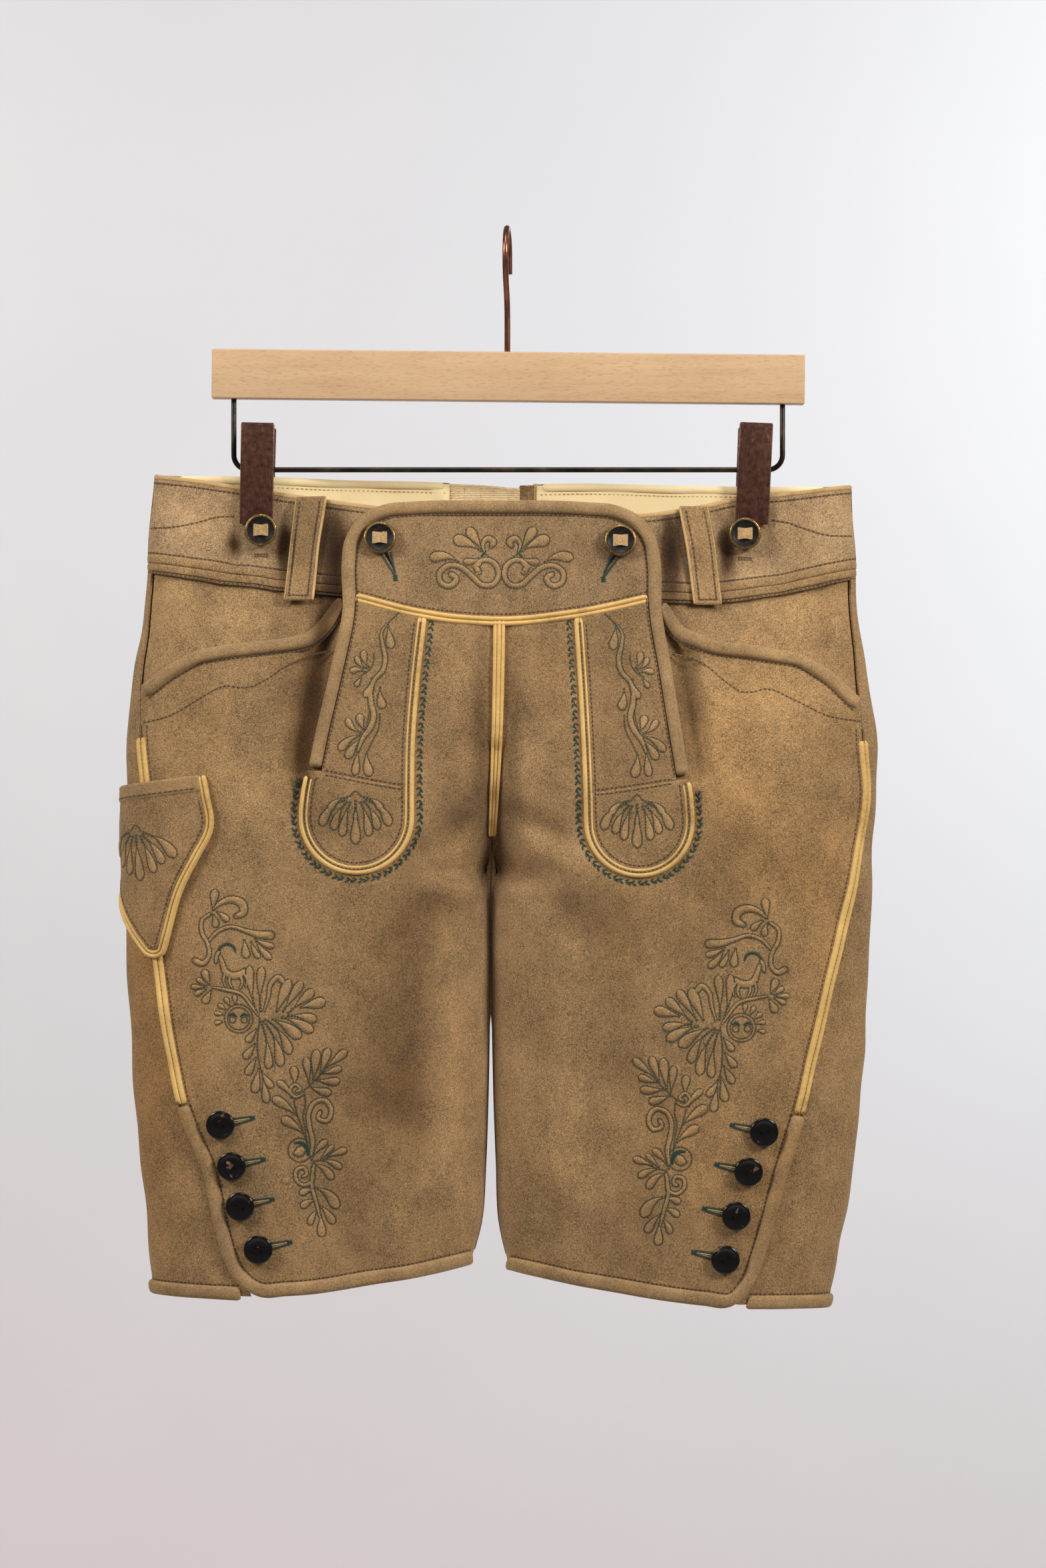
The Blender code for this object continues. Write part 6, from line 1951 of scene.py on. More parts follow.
class Embroidery:
    """Puffed shapes with stitched outlines, set out on a surface from one point; mirror is 1 or -1."""

    def __init__(self, surface, origin, mirror=1):
        self.surface = surface
        self.origin = np.array(origin, float)
        self.mirror = mirror
        self.threads = Seam(0.6)
        self.puffs = Heap()

    def put(self, points):
        points = np.array(points, float)
        placed = points.copy()
        placed[:, 0] = self.origin[0] + self.mirror * points[:, 0]
        placed[:, 1] = self.origin[1] + points[:, 1]
        return placed

    def lines(self, rows):
        for points in rows:
            stitch_path(self.threads, even_path(self.put(points), 0.5), self.surface, **OUTLINE)

    def shape(self, rows, height=0.75):
        """A puffed shape; its rows are x, z and half width along a spine."""
        path = even_path(self.put(rows), 0.8, 4)
        spine = path[:, :2]
        half = np.maximum(path[:, 2], 0.12)
        _, aside = beside(spine)
        left = spine + aside * half[:, None]
        right = spine - aside * half[:, None]
        caps = []
        for end, first in ((-1, 1), (0, -1)):
            middle = math.atan2(first * aside[end, 1], first * aside[end, 0])
            angles = middle - np.linspace(0, math.pi, 7)[1:-1]
            round_end = spine[end] + half[end] * np.column_stack((np.cos(angles), np.sin(angles)))
            caps.append(round_end if half[end] > 0.6 else np.zeros((0, 2)))
        outline = np.concatenate((left, caps[0], right[::-1], caps[1]))
        stitch_path(self.threads, outline, self.surface, **OUTLINE)
        top = height * np.minimum(1, half / 1.6) ** 0.7
        run = run_of(spine)
        rounded = quarter((np.minimum(run, run[-1] - run) + 0.1) / np.maximum(half, 0.3))
        # light=0.2 paints the puffed shapes lighter: painted highlight on the raised padding
        laid(self.puffs, spine, self.surface, 2 * half * 0.84 * rounded, top * rounded, DOMED, lift=0.02, sink=0.3,
             blunt=0, light=0.2)

    def petals(self, rows):
        for row in rows:
            self.shape(petal_rows(*row))

    def scrolls(self, rows):
        for row in rows:
            self.shape(row)

    def ring(self, x, z, radius):
        turns = np.linspace(0, 2 * math.pi, 25)
        self.lines([[(x + radius * math.cos(turn), z + radius * math.sin(turn)) for turn in turns]])

    def satin(self, points, width):
        """Close stitches along a line, as wide as the widths given along it."""
        path = even_path(self.put(points), SATIN_PITCH)
        widths = np.interp(np.linspace(0, 1, len(path)), np.linspace(0, 1, len(width)), width)
        close_stitches(self.threads, path, self.surface, widths)

    def make(self, name):
        self.threads.make(name + "_thread", "green_thread")
        if self.puffs.count:
            self.puffs.make(name + "_padding", "puff")


# Leg motif: petals as foot, tip, width, bow and how much of the length stays slim
LEG_PETALS = (
    (-15.5, 68.5, -14.0, 82.5, 5.5, 0), (-16.0, 67.0, -14.0, 58.0, 4.5, 1), (-13.5, 68.5, -5.5, 62.0, 4.5, 0.6),
    (4.5, 51.0, 6.0, 38.5, 5.5, 0), (9.0, 50.0, 14.5, 38.5, 4.0, -1), (12.0, 50.0, 22.0, 38.0, 4.8, -1),
    (11.0, 51.5, 24.0, 46.0, 4.4, -1), (-17.5, 21.0, -21.5, 31.0, 5.5, 0), (-19.0, 20.5, -26.0, 25.5, 3.8, 0),
    (-20.5, 20.0, -30.0, 20.0, 3.8, 0), (-19.5, 19.0, -27.5, 15.0, 3.8, 0), (-16.5, 18.5, -21.5, 9.5, 5.5, 0),
    (-9.0, -2.0, -14.5, -3.0, 3.4, 0), (-8.5, 2.5, -14.5, 3.5, 3.4, 0), (-7.0, 5.5, -12.0, 9.0, 3.6, 0),
    (-4.5, 8.0, -7.5, 13.5, 3.6, 0), (-1.0, 9.0, -1.5, 15.0, 3.6, 0), (13.0, 3.0, 8.0, 34.0, 5.6, 1.6, 0.35),
    (15.0, 4.0, 16.0, 33.5, 5.6, 0.8, 0.35), (25.0, 4.0, 33.5, 25.0, 7.0, 0, 0.05),
    (29.0, 4.0, 41.5, 24.0, 6.0, 0, 0.2), (32.0, 3.0, 49.0, 18.5, 6.2, 0, 0.3), (40.0, 7.0, 56.5, 11.5, 7.0, 0, 0.1),
    (32.0, 2.0, 51.0, -1.0, 6.4, 1.0, 0.25), (28.0, 1.0, 48.5, -8.5, 6.8, 1.4, 0.2),
    (22.0, 0.0, 40.5, -12.5, 7.5, 1.2, 0.15), (17.5, 0.0, 33.5, -23.0, 6.2, 3.2, 0.4),
    (16.5, -1.0, 27.5, -31.0, 6.2, 3.0, 0.4), (15.0, -1.0, 20.0, -32.5, 5.4, 1.8, 0.45),
    (13.0, -6.0, 6.0, -15.0, 4.8, 0), (12.0, -15.5, 4.5, -25.5, 5.2, 0), (12.5, -24.0, 6.0, -36.0, 5.2, 0),
    (14.0, -31.0, 11.0, -47.5, 5.8, 0), (16.5, -38.0, 19.0, -54.0, 5.4, 0), (15.5, -33.0, 23.0, -44.0, 5.0, -0.8),
    (46.0, -42.0, 44.0, -24.5, 5.2, 0, 0.15), (48.5, -40.0, 51.0, -19.5, 6.2, 0), (53.0, -36.0, 58.5, -18.5, 5.6, 0),
    (56.5, -31.5, 70.0, -20.0, 5.4, 0), (54.0, -35.0, 66.5, -31.0, 4.8, -0.6), (50.0, -39.0, 65.5, -39.5, 5.6, -1),
    (46.0, -43.0, 60.0, -47.5, 5.6, -1), (36.0, -43.5, 35.5, -30.5, 5.6, -1), (35.0, -51.0, 25.5, -40.0, 4.8, -1.4),
    (38.5, -62.5, 22.5, -50.5, 6.4, -1), (42.5, -74.0, 28.0, -63.5, 6.4, -1),
    (47.0, -91.0, 57.5, -78.0, 4.8, 1.4, 0.3), (53.0, -90.0, 61.5, -81.0, 3.6, 0), (57.0, -88.5, 70.0, -83.5, 4.8, 0),
    (54.0, -90.5, 66.5, -96.0, 4.8, 1), (48.0, -93.0, 60.5, -103.5, 5.4, 2.4), (48.5, -108.0, 63.5, -122.0, 7.0, 3.4),
    (52.0, -119.0, 61.5, -131.5, 5.4, 1), (53.0, -124.5, 54.0, -139.5, 5.8, 0),
    (49.5, -110.0, 40.0, -112.5, 5.0, -1.5), (50.5, -116.0, 41.0, -121.0, 5.0, -1.5),
    (52.0, -121.0, 46.0, -132.0, 4.4, -1),
)
LEG_SCROLLS = (
    ((-15.5, 69.5, 0.5), (-10.0, 74.0, 1.6), (-3.0, 76.0, 2.4), (3.5, 73.0, 2.8), (4.0, 67.5, 2.3),
     (-0.5, 65.5, 1.8)),
    ((-17.0, 67.0, 0.9), (-22.5, 62.5, 1.2), (-22.5, 55.0, 1.3), (-18.5, 47.0, 1.3), (-18.0, 39.5, 1.4),
     (-22.0, 35.0, 1.8), (-27.0, 37.0, 2.1)),
    ((-18.0, 49.5, 0.9), (-12.5, 55.5, 1.2), (-4.0, 58.5, 1.2), (7.0, 55.5, 1.6), (15.0, 53.6, 2.5),
     (21.5, 53.4, 2.8)),
    ((-16.5, 20.0, 0.5), (-7.5, 18.5, 1.1), (3.0, 15.5, 1.1), (10.0, 7.0, 0.9), (14.0, 1.5, 0.5)),
    ((17.0, 4.0, 0.5), (20.0, 14.0, 1.1), (21.5, 22.0, 1.4), (26.5, 26.5, 1.8), (30.0, 22.5, 1.8)),
    ((47.0, -88.0, 1.0), (48.0, -78.0, 1.6), (46.0, -69.0, 1.6), (45.5, -61.0, 1.5), (49.0, -54.0, 1.5),
     (56.0, -52.5, 1.6), (60.0, -58.5, 1.6), (57.0, -65.5, 1.5), (51.5, -63.5, 1.4), (53.0, -59.5, 1.3)),
    ((43.0, -47.5, 0.5), (37.0, -50.0, 1.0), (33.5, -46.0, 1.1), (37.0, -42.0, 1.1), (40.5, -45.5, 1.0),
     (37.5, -46.8, 0.9)),
    ((48.0, -95.0, 0.9), (47.5, -104.0, 1.2), (42.5, -106.5, 1.3), (37.5, -102.5, 1.3), (38.0, -96.5, 1.3),
     (43.0, -95.5, 1.2), (44.0, -100.0, 1.1), (41.5, -101.0, 1.0)),
    ((49.0, -93.0, 1.0), (47.5, -106.5, 1.3), (50.5, -118.0, 1.2), (53.0, -128.5, 0.5)),
)
LEG_LINES = (
    ((14.5, 1.0), (13.0, -18.0), (14.5, -30.0), (18.0, -40.0)),
    ((42.5, -46.0), (47.0, -42.0), (53.0, -36.0), (58.0, -30.0)),
    ((42.5, -46.0), (43.5, -55.0), (42.0, -62.0), (43.5, -72.0), (44.5, -84.0)),
    ((36.0, -52.0), (38.5, -62.0), (42.5, -73.0), (45.0, -82.0)),
    ((48.0, -91.5), (54.0, -90.5), (62.0, -87.0)),
)
# A small leaping chamois among the leaves: horn, head, neck, trunk and legs
CHAMOIS = (
    ((-12.0, 43.5, 0.5), (-9.5, 46.5, 0.7), (-5.5, 47.5, 0.7), (-2.0, 45.5, 0.5), (-1.0, 42.5, 0.3)),
    ((-11.5, 43.0, 1.0), (-13.0, 39.5, 1.4), (-13.5, 35.5, 0.9)),
    ((-11.0, 40.0, 1.2), (-9.0, 34.5, 1.7), (-7.0, 29.5, 2.2), (-3.0, 27.5, 2.4), (2.5, 28.5, 2.3),
     (5.0, 31.0, 1.4)),
    ((-7.5, 29.0, 1.1), (-8.5, 24.0, 0.8), (-6.5, 19.5, 0.6)),
    ((-4.5, 27.0, 1.1), (-4.5, 22.5, 0.8), (-2.5, 19.0, 0.6)),
    ((2.0, 28.0, 1.4), (3.5, 23.0, 0.9), (1.5, 18.5, 0.6)),
    ((4.5, 29.0, 1.2), (6.5, 24.0, 0.8), (5.5, 19.5, 0.6)),
)
LEG_ORIGIN = {LEFT: (-172.2, -506.1), RIGHT: (150.3, -511.7)}


def leg_embroidery(side):
    motif = Embroidery(by_x(side), LEG_ORIGIN[side], -side)
    motif.petals(LEG_PETALS)
    motif.scrolls(LEG_SCROLLS)
    motif.lines(LEG_LINES)
    for rows in CHAMOIS:
        motif.shape(rows, 0.6)
    motif.satin([row[:2] for row in CHAMOIS[0]], (1.2, 1.8, 1.6, 0.8))
    motif.satin([(-12.0, 42.0), (-13.5, 37.0)], (1.6, 1.0))
    motif.ring(1.0, 0.0, 9.2)
    motif.ring(1.0, 0.0, 7.2)
    for x, turn in ((-3.0, -1), (4.6, 1)):
        motif.ring(x, -0.8, 2.2)
        motif.satin([(x - 2.4 * turn, 1.4), (x, 3.0), (x + 2.2 * turn, 1.8)], (1.2, 2.2, 1.2))
    motif.ring(40.0, -84.0, 7.6)
    motif.shape(((36.5, -86.0, 1.2), (39.0, -85.5, 3.2), (42.0, -83.0, 2.6)), 0.9)
    motif.satin([(36.5, -79.5), (41.0, -79.5), (44.5, -83.0), (45.0, -87.5)], (1.2, 3.0, 3.2, 1.2))
    motif.make("leg_embroidery_" + SIDES[side])


YOKE_ORIGIN = (-3.7, -223.2)
YOKE_PETALS = (
    (-27.0, 8.0, -46.0, 10.5, 7.0, -3.0), (-11.5, 15.0, -21.5, 31.0, 6.8, 0.0, 0.2),
    (-12.5, 15.0, -31.0, 23.5, 8.0, -1.5, 0.2), (-12.0, 12.5, -24.5, 9.0, 4.8, 1.8, 0.2),
    (-11.0, 11.5, -19.0, 5.5, 3.8, 2.0, 0.3),
)
YOKE_SCROLLS = (
    ((-14.5, 2.0, 2.0), (-16.3, 5.5, 1.8), (-13.5, 9.0, 1.7), (-8.5, 9.8, 1.7), (-3.4, 6.4, 1.8), (-1.9, -0.7, 1.8),
     (-5.6, -6.2, 1.8), (-11.7, -6.6, 1.8), (-19.0, -0.5, 1.8), (-26.3, 5.2, 1.8), (-33.6, 6.1, 1.8),
     (-39.6, 1.4, 1.8), (-38.6, -5.0, 1.8), (-32.6, -6.9, 1.9), (-28.9, -2.2, 2.0), (-32.5, 0.8, 1.8)),
    ((-10.7, 14.5, 0.5), (-12.0, 20.5, 1.3), (-9.0, 24.0, 1.9), (-5.0, 21.6, 2.2), (-6.6, 18.6, 1.4)),
)
YOKE_LINES = (((-10.7, 14.0), (-5.5, 9.7), (-1.0, 1.0)),)


def yoke_embroidery():
    for side, name in SIDES.items():
        motif = Embroidery(level(lift=FLAP_FACE), YOKE_ORIGIN, -side)
        motif.petals(YOKE_PETALS)
        motif.scrolls(YOKE_SCROLLS)
        motif.lines(YOKE_LINES)
        motif.satin([(-10.2, 15.5), (-12.6, 12.6)], (1.0, 1.8))
        motif.make("yoke_embroidery_" + name)


STRIP_ORIGIN = {LEFT: (-69.0, -247.7), RIGHT: (62.4, -248.5)}
STRIP_PETALS = (
    (-7.4, -6.6, -5.0, -23.0, 6.0, 0, 0.2), (-12.0, -47.0, -9.8, -61.0, 6.0, -1, 0.2),
    (-17.5, -41.0, -22.5, -53.5, 5.6, 2, 0.1), (-19.0, -35.0, -22.3, -24.0, 4.8, 1.5, 0.2),
    (-20.0, -35.5, -27.0, -27.5, 4.0, 2.0, 0.25), (-21.0, -38.0, -31.5, -37.5, 4.2, -1.5, 0.2),
    (-24.0, -41.0, -28.0, -47.0, 3.6, 0), (-22.0, -75.0, -25.0, -64.5, 5.6, 0.8),
    (-23.5, -76.5, -33.0, -67.0, 4.6, 2.0, 0.2), (-24.0, -78.0, -38.0, -88.0, 5.4, -2.0),
    (-24.0, -80.5, -33.0, -93.0, 5.8, -1.0), (-26.0, -88.0, -28.0, -103.5, 5.2, 0, 0.1),
    (-20.5, -89.0, -18.0, -104.0, 6.2, -1, 0.1),
)
STRIP_SCROLLS = (
    ((-7.4, -6.2, 0.4), (-11.2, -12.6, 0.9), (-10.6, -20.2, 1.3), (-8.8, -28.7, 1.6), (-10.6, -37.2, 1.6),
     (-15.6, -42.6, 1.4), (-18.0, -50.0, 1.5), (-17.6, -58.5, 1.9), (-16.0, -65.3, 1.9), (-18.0, -72.9, 1.9),
     (-23.2, -80.6, 1.5), (-26.4, -89.0, 0.6)),
)
STRIP_LINES = (
    ((0.5, 0.6), (-3.6, -3.2), (-7.4, -6.4)),
    ((-16.0, -26.0), (-16.5, -32.0), (-19.0, -36.5), (-25.0, -40.5)),
    ((-18.0, -59.0), (-20.2, -70.0), (-21.8, -76.0)),
    ((-12.2, -64.0), (-13.0, -74.0), (-17.0, -82.0), (-20.4, -89.4)),
)
LOBE_PETALS = (
    (3.0, -5.0, 8.5, -27.5, 5.4, 1.2, 0.25), (5.0, -5.0, 14.0, -23.5, 5.4, 2.0, 0.3),
    (6.0, -4.0, 21.5, -21.0, 6.0, 3.6, 0.3), (4.5, -2.5, 17.0, -11.5, 4.6, 2.4, 0.3),
)
LOBE_MIDDLE = ((0.0, -4.0, 0.0, -32.5, 6.4, 0.0, 0.3), (0.0, -9.0, 0.0, -18.0, 3.0, 0.0))
LOBE_ORIGIN = {LEFT: (-96.5, -362.5), RIGHT: (82.8, -365.0)}


def flap_embroidery(side):
    raised = level(lift=flap_level)
    motif = Embroidery(raised, STRIP_ORIGIN[side], -side)
    motif.petals(STRIP_PETALS)
    motif.scrolls(STRIP_SCROLLS)
    motif.lines(STRIP_LINES)
    motif.make("strip_embroidery_" + SIDES[side])
    lobe = Embroidery(level(lift=lobe_lift), LOBE_ORIGIN[side], 1)
    lobe.petals(LOBE_MIDDLE)
    lobe.mirror = -1
    lobe.petals(LOBE_PETALS)
    lobe.mirror = 1
    lobe.petals(LOBE_PETALS)
    lobe.lines([((-4.0, -2.5), (0.0, 1.5), (4.0, -2.5))])
    lobe.make("lobe_embroidery_" + SIDES[side])


KNIFE_PETALS = (
    (0.0, -5.0, 3.0, -35.0, 7.0, 0.0, 0.3), (3.0, -6.0, 13.5, -30.0, 6.0, 0.8, 0.3),
    (4.5, -5.5, 19.5, -24.0, 6.0, 1.6, 0.3), (5.0, -4.0, 27.5, -20.0, 7.0, 3.0, 0.3),
    (-2.0, -6.0, -6.0, -31.5, 6.0, -0.8, 0.3), (-4.0, -5.5, -13.5, -26.5, 6.0, -1.4, 0.3),
    (-5.0, -4.0, -21.0, -20.5, 6.4, -3.0, 0.3),
)
KNIFE_MOTIF = (20.0, -383.5)


def knife_embroidery():
    motif = Embroidery(round_side(LEFT, KNIFE_FACE), KNIFE_MOTIF)
    motif.petals(KNIFE_PETALS)
    motif.lines([((-4.0, -3.5), (0.0, 1.0), (4.0, -3.5))])
    motif.make("knife_embroidery")


# Feather stitch beside the piping: a short arm towards it, a long arm away from it and a link
FEATHER_PITCH = 8.2
FEATHER_ARMS = ((-1.7, 3.2, 0.0, 0.2, 0.58), (0.0, 0.2, 1.9, 4.9, 0.65), (0.5, 2.6, -0.1, 5.4, 0.42),
                (-1.4, 7.2, 0.2, 4.3, 0.58), (0.1, 4.5, 2.2, 8.2, 0.64))
FEATHER_OFFSET = 6.4


def feather_stitch(side):
    threads = Heap()
    path = u_path(side, FEATHER_OFFSET, start=-3.0)
    run = run_of(path)
    _, aside = beside(path)
    outward = -side * aside
    surface = level(lift=flap_rise)
    for count in range(int(run[-1] / FEATHER_PITCH)):
        for out0, down0, out1, down1, radius in FEATHER_ARMS:
            ends = []
            for out, down in ((out0, down0), (out1, down1)):
                at = min(count * FEATHER_PITCH + down, run[-1])
                ends.append((points_at(at, run, path) + out * points_at(at, run, outward))[0])
            reach = float(np.linalg.norm(ends[1] - ends[0]))
            stitch_path(threads, ends, surface, pitch=reach + 1, length=reach, radius=radius)
    threads.make("feather_stitching_" + SIDES[side], "green_thread")


LEG_HOLE = {"start": 6.5, "length": 13.0, "rise": 0.22, "leg": 2.1}


def overcast(threads, start, end, surface, width, radius=0.4):
    """Close stitches worked over an edge, long and short in turn."""
    path = even_path((start, end), OVERCAST_PITCH)
    close_stitches(threads, path, surface, width * np.where(np.arange(len(path)) % 2, 1.0, 1.25), radius)


def leg_buttonholes(side):
    threads = Heap()
    slits = Heap()
    slit_shade = Heap()
    surface = by_x(side)
    for x, z in LEG_BUTTONS[side]:
        inward = -side
        run = np.array((inward, LEG_HOLE["rise"])) / math.hypot(1, LEG_HOLE["rise"])
        across = np.array((-run[1], run[0]))
        start = np.array((x, z)) + run * LEG_HOLE["start"]
        end = start + run * LEG_HOLE["length"]
        for out in (-1, 1):
            overcast(threads, start + across * out * LEG_HOLE["leg"], end + across * out * 0.9, surface, 1.9)
        overcast(threads, end - run * 0.4, end + run * 2.2, surface, 3.0, radius=0.42)
        slit = even_path((start, end), 1.0)
        laid(slits, slit, surface, np.linspace(2.4, 0.8, len(slit)), 0.3, lift=0.0, sink=0.3, shaded_and_patched=False)
        # A black strip in each slit: painted shade in the gap
        laid(slit_shade, slit, surface, np.linspace(0.9, 0.3, len(slit)), 0.42, lift=0.0, sink=0.3, shaded_and_patched=False)
    threads.make("leg_buttonholes_" + SIDES[side], "green_thread")
    slits.make("leg_hole_edges_" + SIDES[side], "edge")
    slit_shade.make("leg_hole_slits_" + SIDES[side], "core")


# Outer and inner upper corner and lower point of each buttonhole
FLAP_HOLES = (
    ((-81.2, -209.0), (-74.6, -208.4), (-71.6, -224.0)),
    ((72.0, -210.5), (66.5, -210.0), (61.5, -224.6)),
)


def flap_buttonholes():
    threads = Heap()
    slits = Heap()
    surface = level(lift=FLAP_FACE)
    for outer, inner, point in FLAP_HOLES:
        for top in (outer, inner):
            overcast(threads, top, point, surface, 1.7)
        overcast(threads, (point[0] - 0.2, point[1] + 0.4), (point[0] + 0.2, point[1] - 2.6), surface, 3.0, 0.42)
        middle = ((outer[0] + inner[0]) / 2, outer[1] + 1)
        slit = even_path((middle, (point[0], point[1] + 3.0)), 1.0)
        # A black strip in each slit: painted shade in the gap
        laid(slits, slit, surface, np.linspace(2.6, 0.7, len(slit)), 0.25, lift=0.0, sink=0.3, shaded_and_patched=False)
    threads.make("flap_buttonholes", "green_thread")
    slits.make("flap_hole_slits", "core")


# ---------------------------------------------------------------- hard pieces

BUTTON_STANDOFF = 0.8
# How much of a button's thickness its rounded rim takes
ROUNDED = 0.36
# dish: how far each step goes in, and how far it sinks
LEG_BUTTON = {"radius": 9.2, "thick": 3.6, "rim": 1.7, "dish": ((0.6, 0.35), (1.4, 0.3), (2.4, 0.05)),
              "hole": 0.95, "holes_apart": 4.6}
WAIST_BUTTON = {"radius": 10.4, "thick": 4.2, "rim": 1.5, "lip": 0.5, "dish": 1.5}
# Width, height and wall of the thong on a waist button
THONG = (9.6, 7.8, 1.9)
SEWN_SHANK = 1.0
BRACE_SHANK = 2.4
SHANK_RADIUS = 2.0
SHANK_LENGTH = 3.0
NECK_RADIUS = 2.2


def edit():
    bpy.ops.object.mode_set(mode="EDIT")


def leave_edit():
    bpy.ops.object.mode_set(mode="OBJECT")


def face_outward():
    """Turn every face outward and leave edit mode."""
    bpy.ops.mesh.select_all(action="SELECT")
    bpy.ops.mesh.normals_make_consistent(inside=False)
    leave_edit()


def none_selected():
    if bpy.context.object is not None and bpy.context.object.mode != "OBJECT":
        leave_edit()
    bpy.ops.object.select_all(action="DESELECT")


def active_only(made):
    none_selected()
    made.select_set(True)
    bpy.context.view_layer.objects.active = made


def named(name, *finishes):
    """The primitive just added, under its own name and with its finishes."""
    made = bpy.context.object
    made.name = name
    made.data.name = name
    for finish in finishes:
        made.data.materials.append(finish_of(finish))
    return made


def pick(test, kind="faces"):
    """In edit mode, select only the faces, edges or points whose centre passes a test."""
    mesh = bmesh.from_edit_mesh(bpy.context.object.data)
    for group in (mesh.verts, mesh.edges, mesh.faces):
        for item in group:
            item.select_set(False)
    for item in getattr(mesh, kind):
        if kind == "faces":
            spot = item.calc_center_median()
        elif kind == "edges":
            spot = (item.verts[0].co + item.verts[1].co) / 2
        else:
            spot = item.co
        if test(item, spot / MM):
            item.select_set(True)
    bmesh.update_edit_mesh(bpy.context.object.data)


def paint(index, test):
    """Give the faces that pass a test one of the piece's finishes."""
    for face in bpy.context.object.data.polygons:
        if test(Vector(face.center) / MM):
            face.material_index = index


def apply_modifier(kind, **settings):
    modifier = bpy.context.object.modifiers.new(kind.lower(), kind)
    for key, value in settings.items():
        setattr(modifier, key, value)
    bpy.ops.object.modifier_apply(modifier=modifier.name)


def settle_piece(made, place=None, angle=35):
    """Smooth shading, and the piece's place in its mesh."""
    active_only(made)
    bpy.ops.object.shade_smooth_by_angle(angle=math.radians(angle))
    if place is not None:
        made.data.transform(place)
    bpy.ops.object.transform_apply(location=True, rotation=True, scale=True)


def copy_of(source, name, place, slot, *nodes):
    made = source.copy()
    made.data = source.data.copy()
    made.name = name
    made.data.name = name
    bpy.context.scene.collection.objects.link(made)
    made.data.transform(place)
    made.matrix_world = Matrix.Identity(4)
    ride_as(made, slot, *nodes)


def stand_on(point, normal, lift, turn=0.0):
    """Local +Z along the normal, local +Y upward, at a height over the surface."""
    z_axis = Vector(normal)
    x_axis = Vector((0, 0, 1)).cross(z_axis) * -1
    x_axis.normalize()
    y_axis = z_axis.cross(x_axis)
    basis = Matrix((x_axis, y_axis, z_axis)).transposed().to_4x4()
    spin = Matrix.Rotation(turn, 4, "Z")
    return Matrix.Translation((Vector(point) + z_axis * lift) * MM) @ basis @ spin


def turn_face(*steps):
    """Inset the round top face and sink it, step by step, as on a lathe."""
    for thickness, sink in steps:
        pick(lambda face, spot: face.normal.z > 0.9 and math.hypot(spot.x, spot.y) < 0.1 and spot.z > 0)
        bpy.ops.mesh.inset(thickness=thickness * MM)
        bpy.ops.transform.translate(value=(0, 0, -sink * MM))


def lathe_disc(name, radius, thick, *finishes):
    """A round blank with soft rims, lying on its back."""
    none_selected()
    bpy.ops.mesh.primitive_cylinder_add(vertices=56, radius=radius * MM, depth=thick * MM,
                                        location=(0, 0, thick / 2 * MM))
    made = named(name, *finishes)
    bpy.ops.object.transform_apply(location=True)
    edit()
    pick(lambda edge, spot: math.hypot(spot.x, spot.y) > 0.9 * radius and (spot.z < 0.1 or spot.z > thick - 0.1),
         "edges")
    bpy.ops.mesh.bevel(offset=ROUNDED * thick * MM, segments=5, profile=0.6)
    return made


def leg_buttons():
    """Two-hole horn buttons with a low rim, down both plackets."""
    thick = LEG_BUTTON["thick"]
    blank = lathe_disc("horn_button", LEG_BUTTON["radius"], thick, "horn")
    turn_face((LEG_BUTTON["rim"] - ROUNDED * thick, 0.0), *LEG_BUTTON["dish"])
    leave_edit()
    for side in SIDES:
        none_selected()
        bpy.ops.mesh.primitive_cylinder_add(vertices=20, radius=LEG_BUTTON["hole"] * MM, depth=thick * MM,
                                            location=(side * LEG_BUTTON["holes_apart"] / 2 * MM, 0, thick * MM))
        drill = bpy.context.object
        active_only(blank)
        apply_modifier("BOOLEAN", operation="DIFFERENCE", object=drill, solver="EXACT")
        bpy.data.objects.remove(drill)
    settle_piece(blank, angle=40)
    for side, name in SIDES.items():
        for number, (x, z) in enumerate(LEG_BUTTONS[side], 1):
            point, normal = NETS[side].read(NETS[side].arc_of(x, z), np.array(z))
            place = stand_on(point, normal, BUTTON_STANDOFF + SEWN_SHANK - 0.4, math.radians(9 * number * side))
            mark = "_%s_%d" % (name, number)
            copy_of(blank, "horn_button" + mark, place, "horn", "leg_button" + mark)
            none_selected()
            bpy.ops.mesh.primitive_cylinder_add(vertices=14, radius=SHANK_RADIUS * MM, depth=SHANK_LENGTH * MM)
            shank = named("button_shank" + mark, "seam_thread")
            edit()
            bpy.ops.mesh.subdivide(number_cuts=1)
            pick(lambda vert, spot: abs(spot.z) < 0.1, "verts")
            bpy.ops.transform.resize(value=(0.8, 0.8, 1))
            leave_edit()
            settle_piece(shank, stand_on(point, normal, 0.0))
            ride_as(shank, "suede")
    bpy.data.objects.remove(blank)


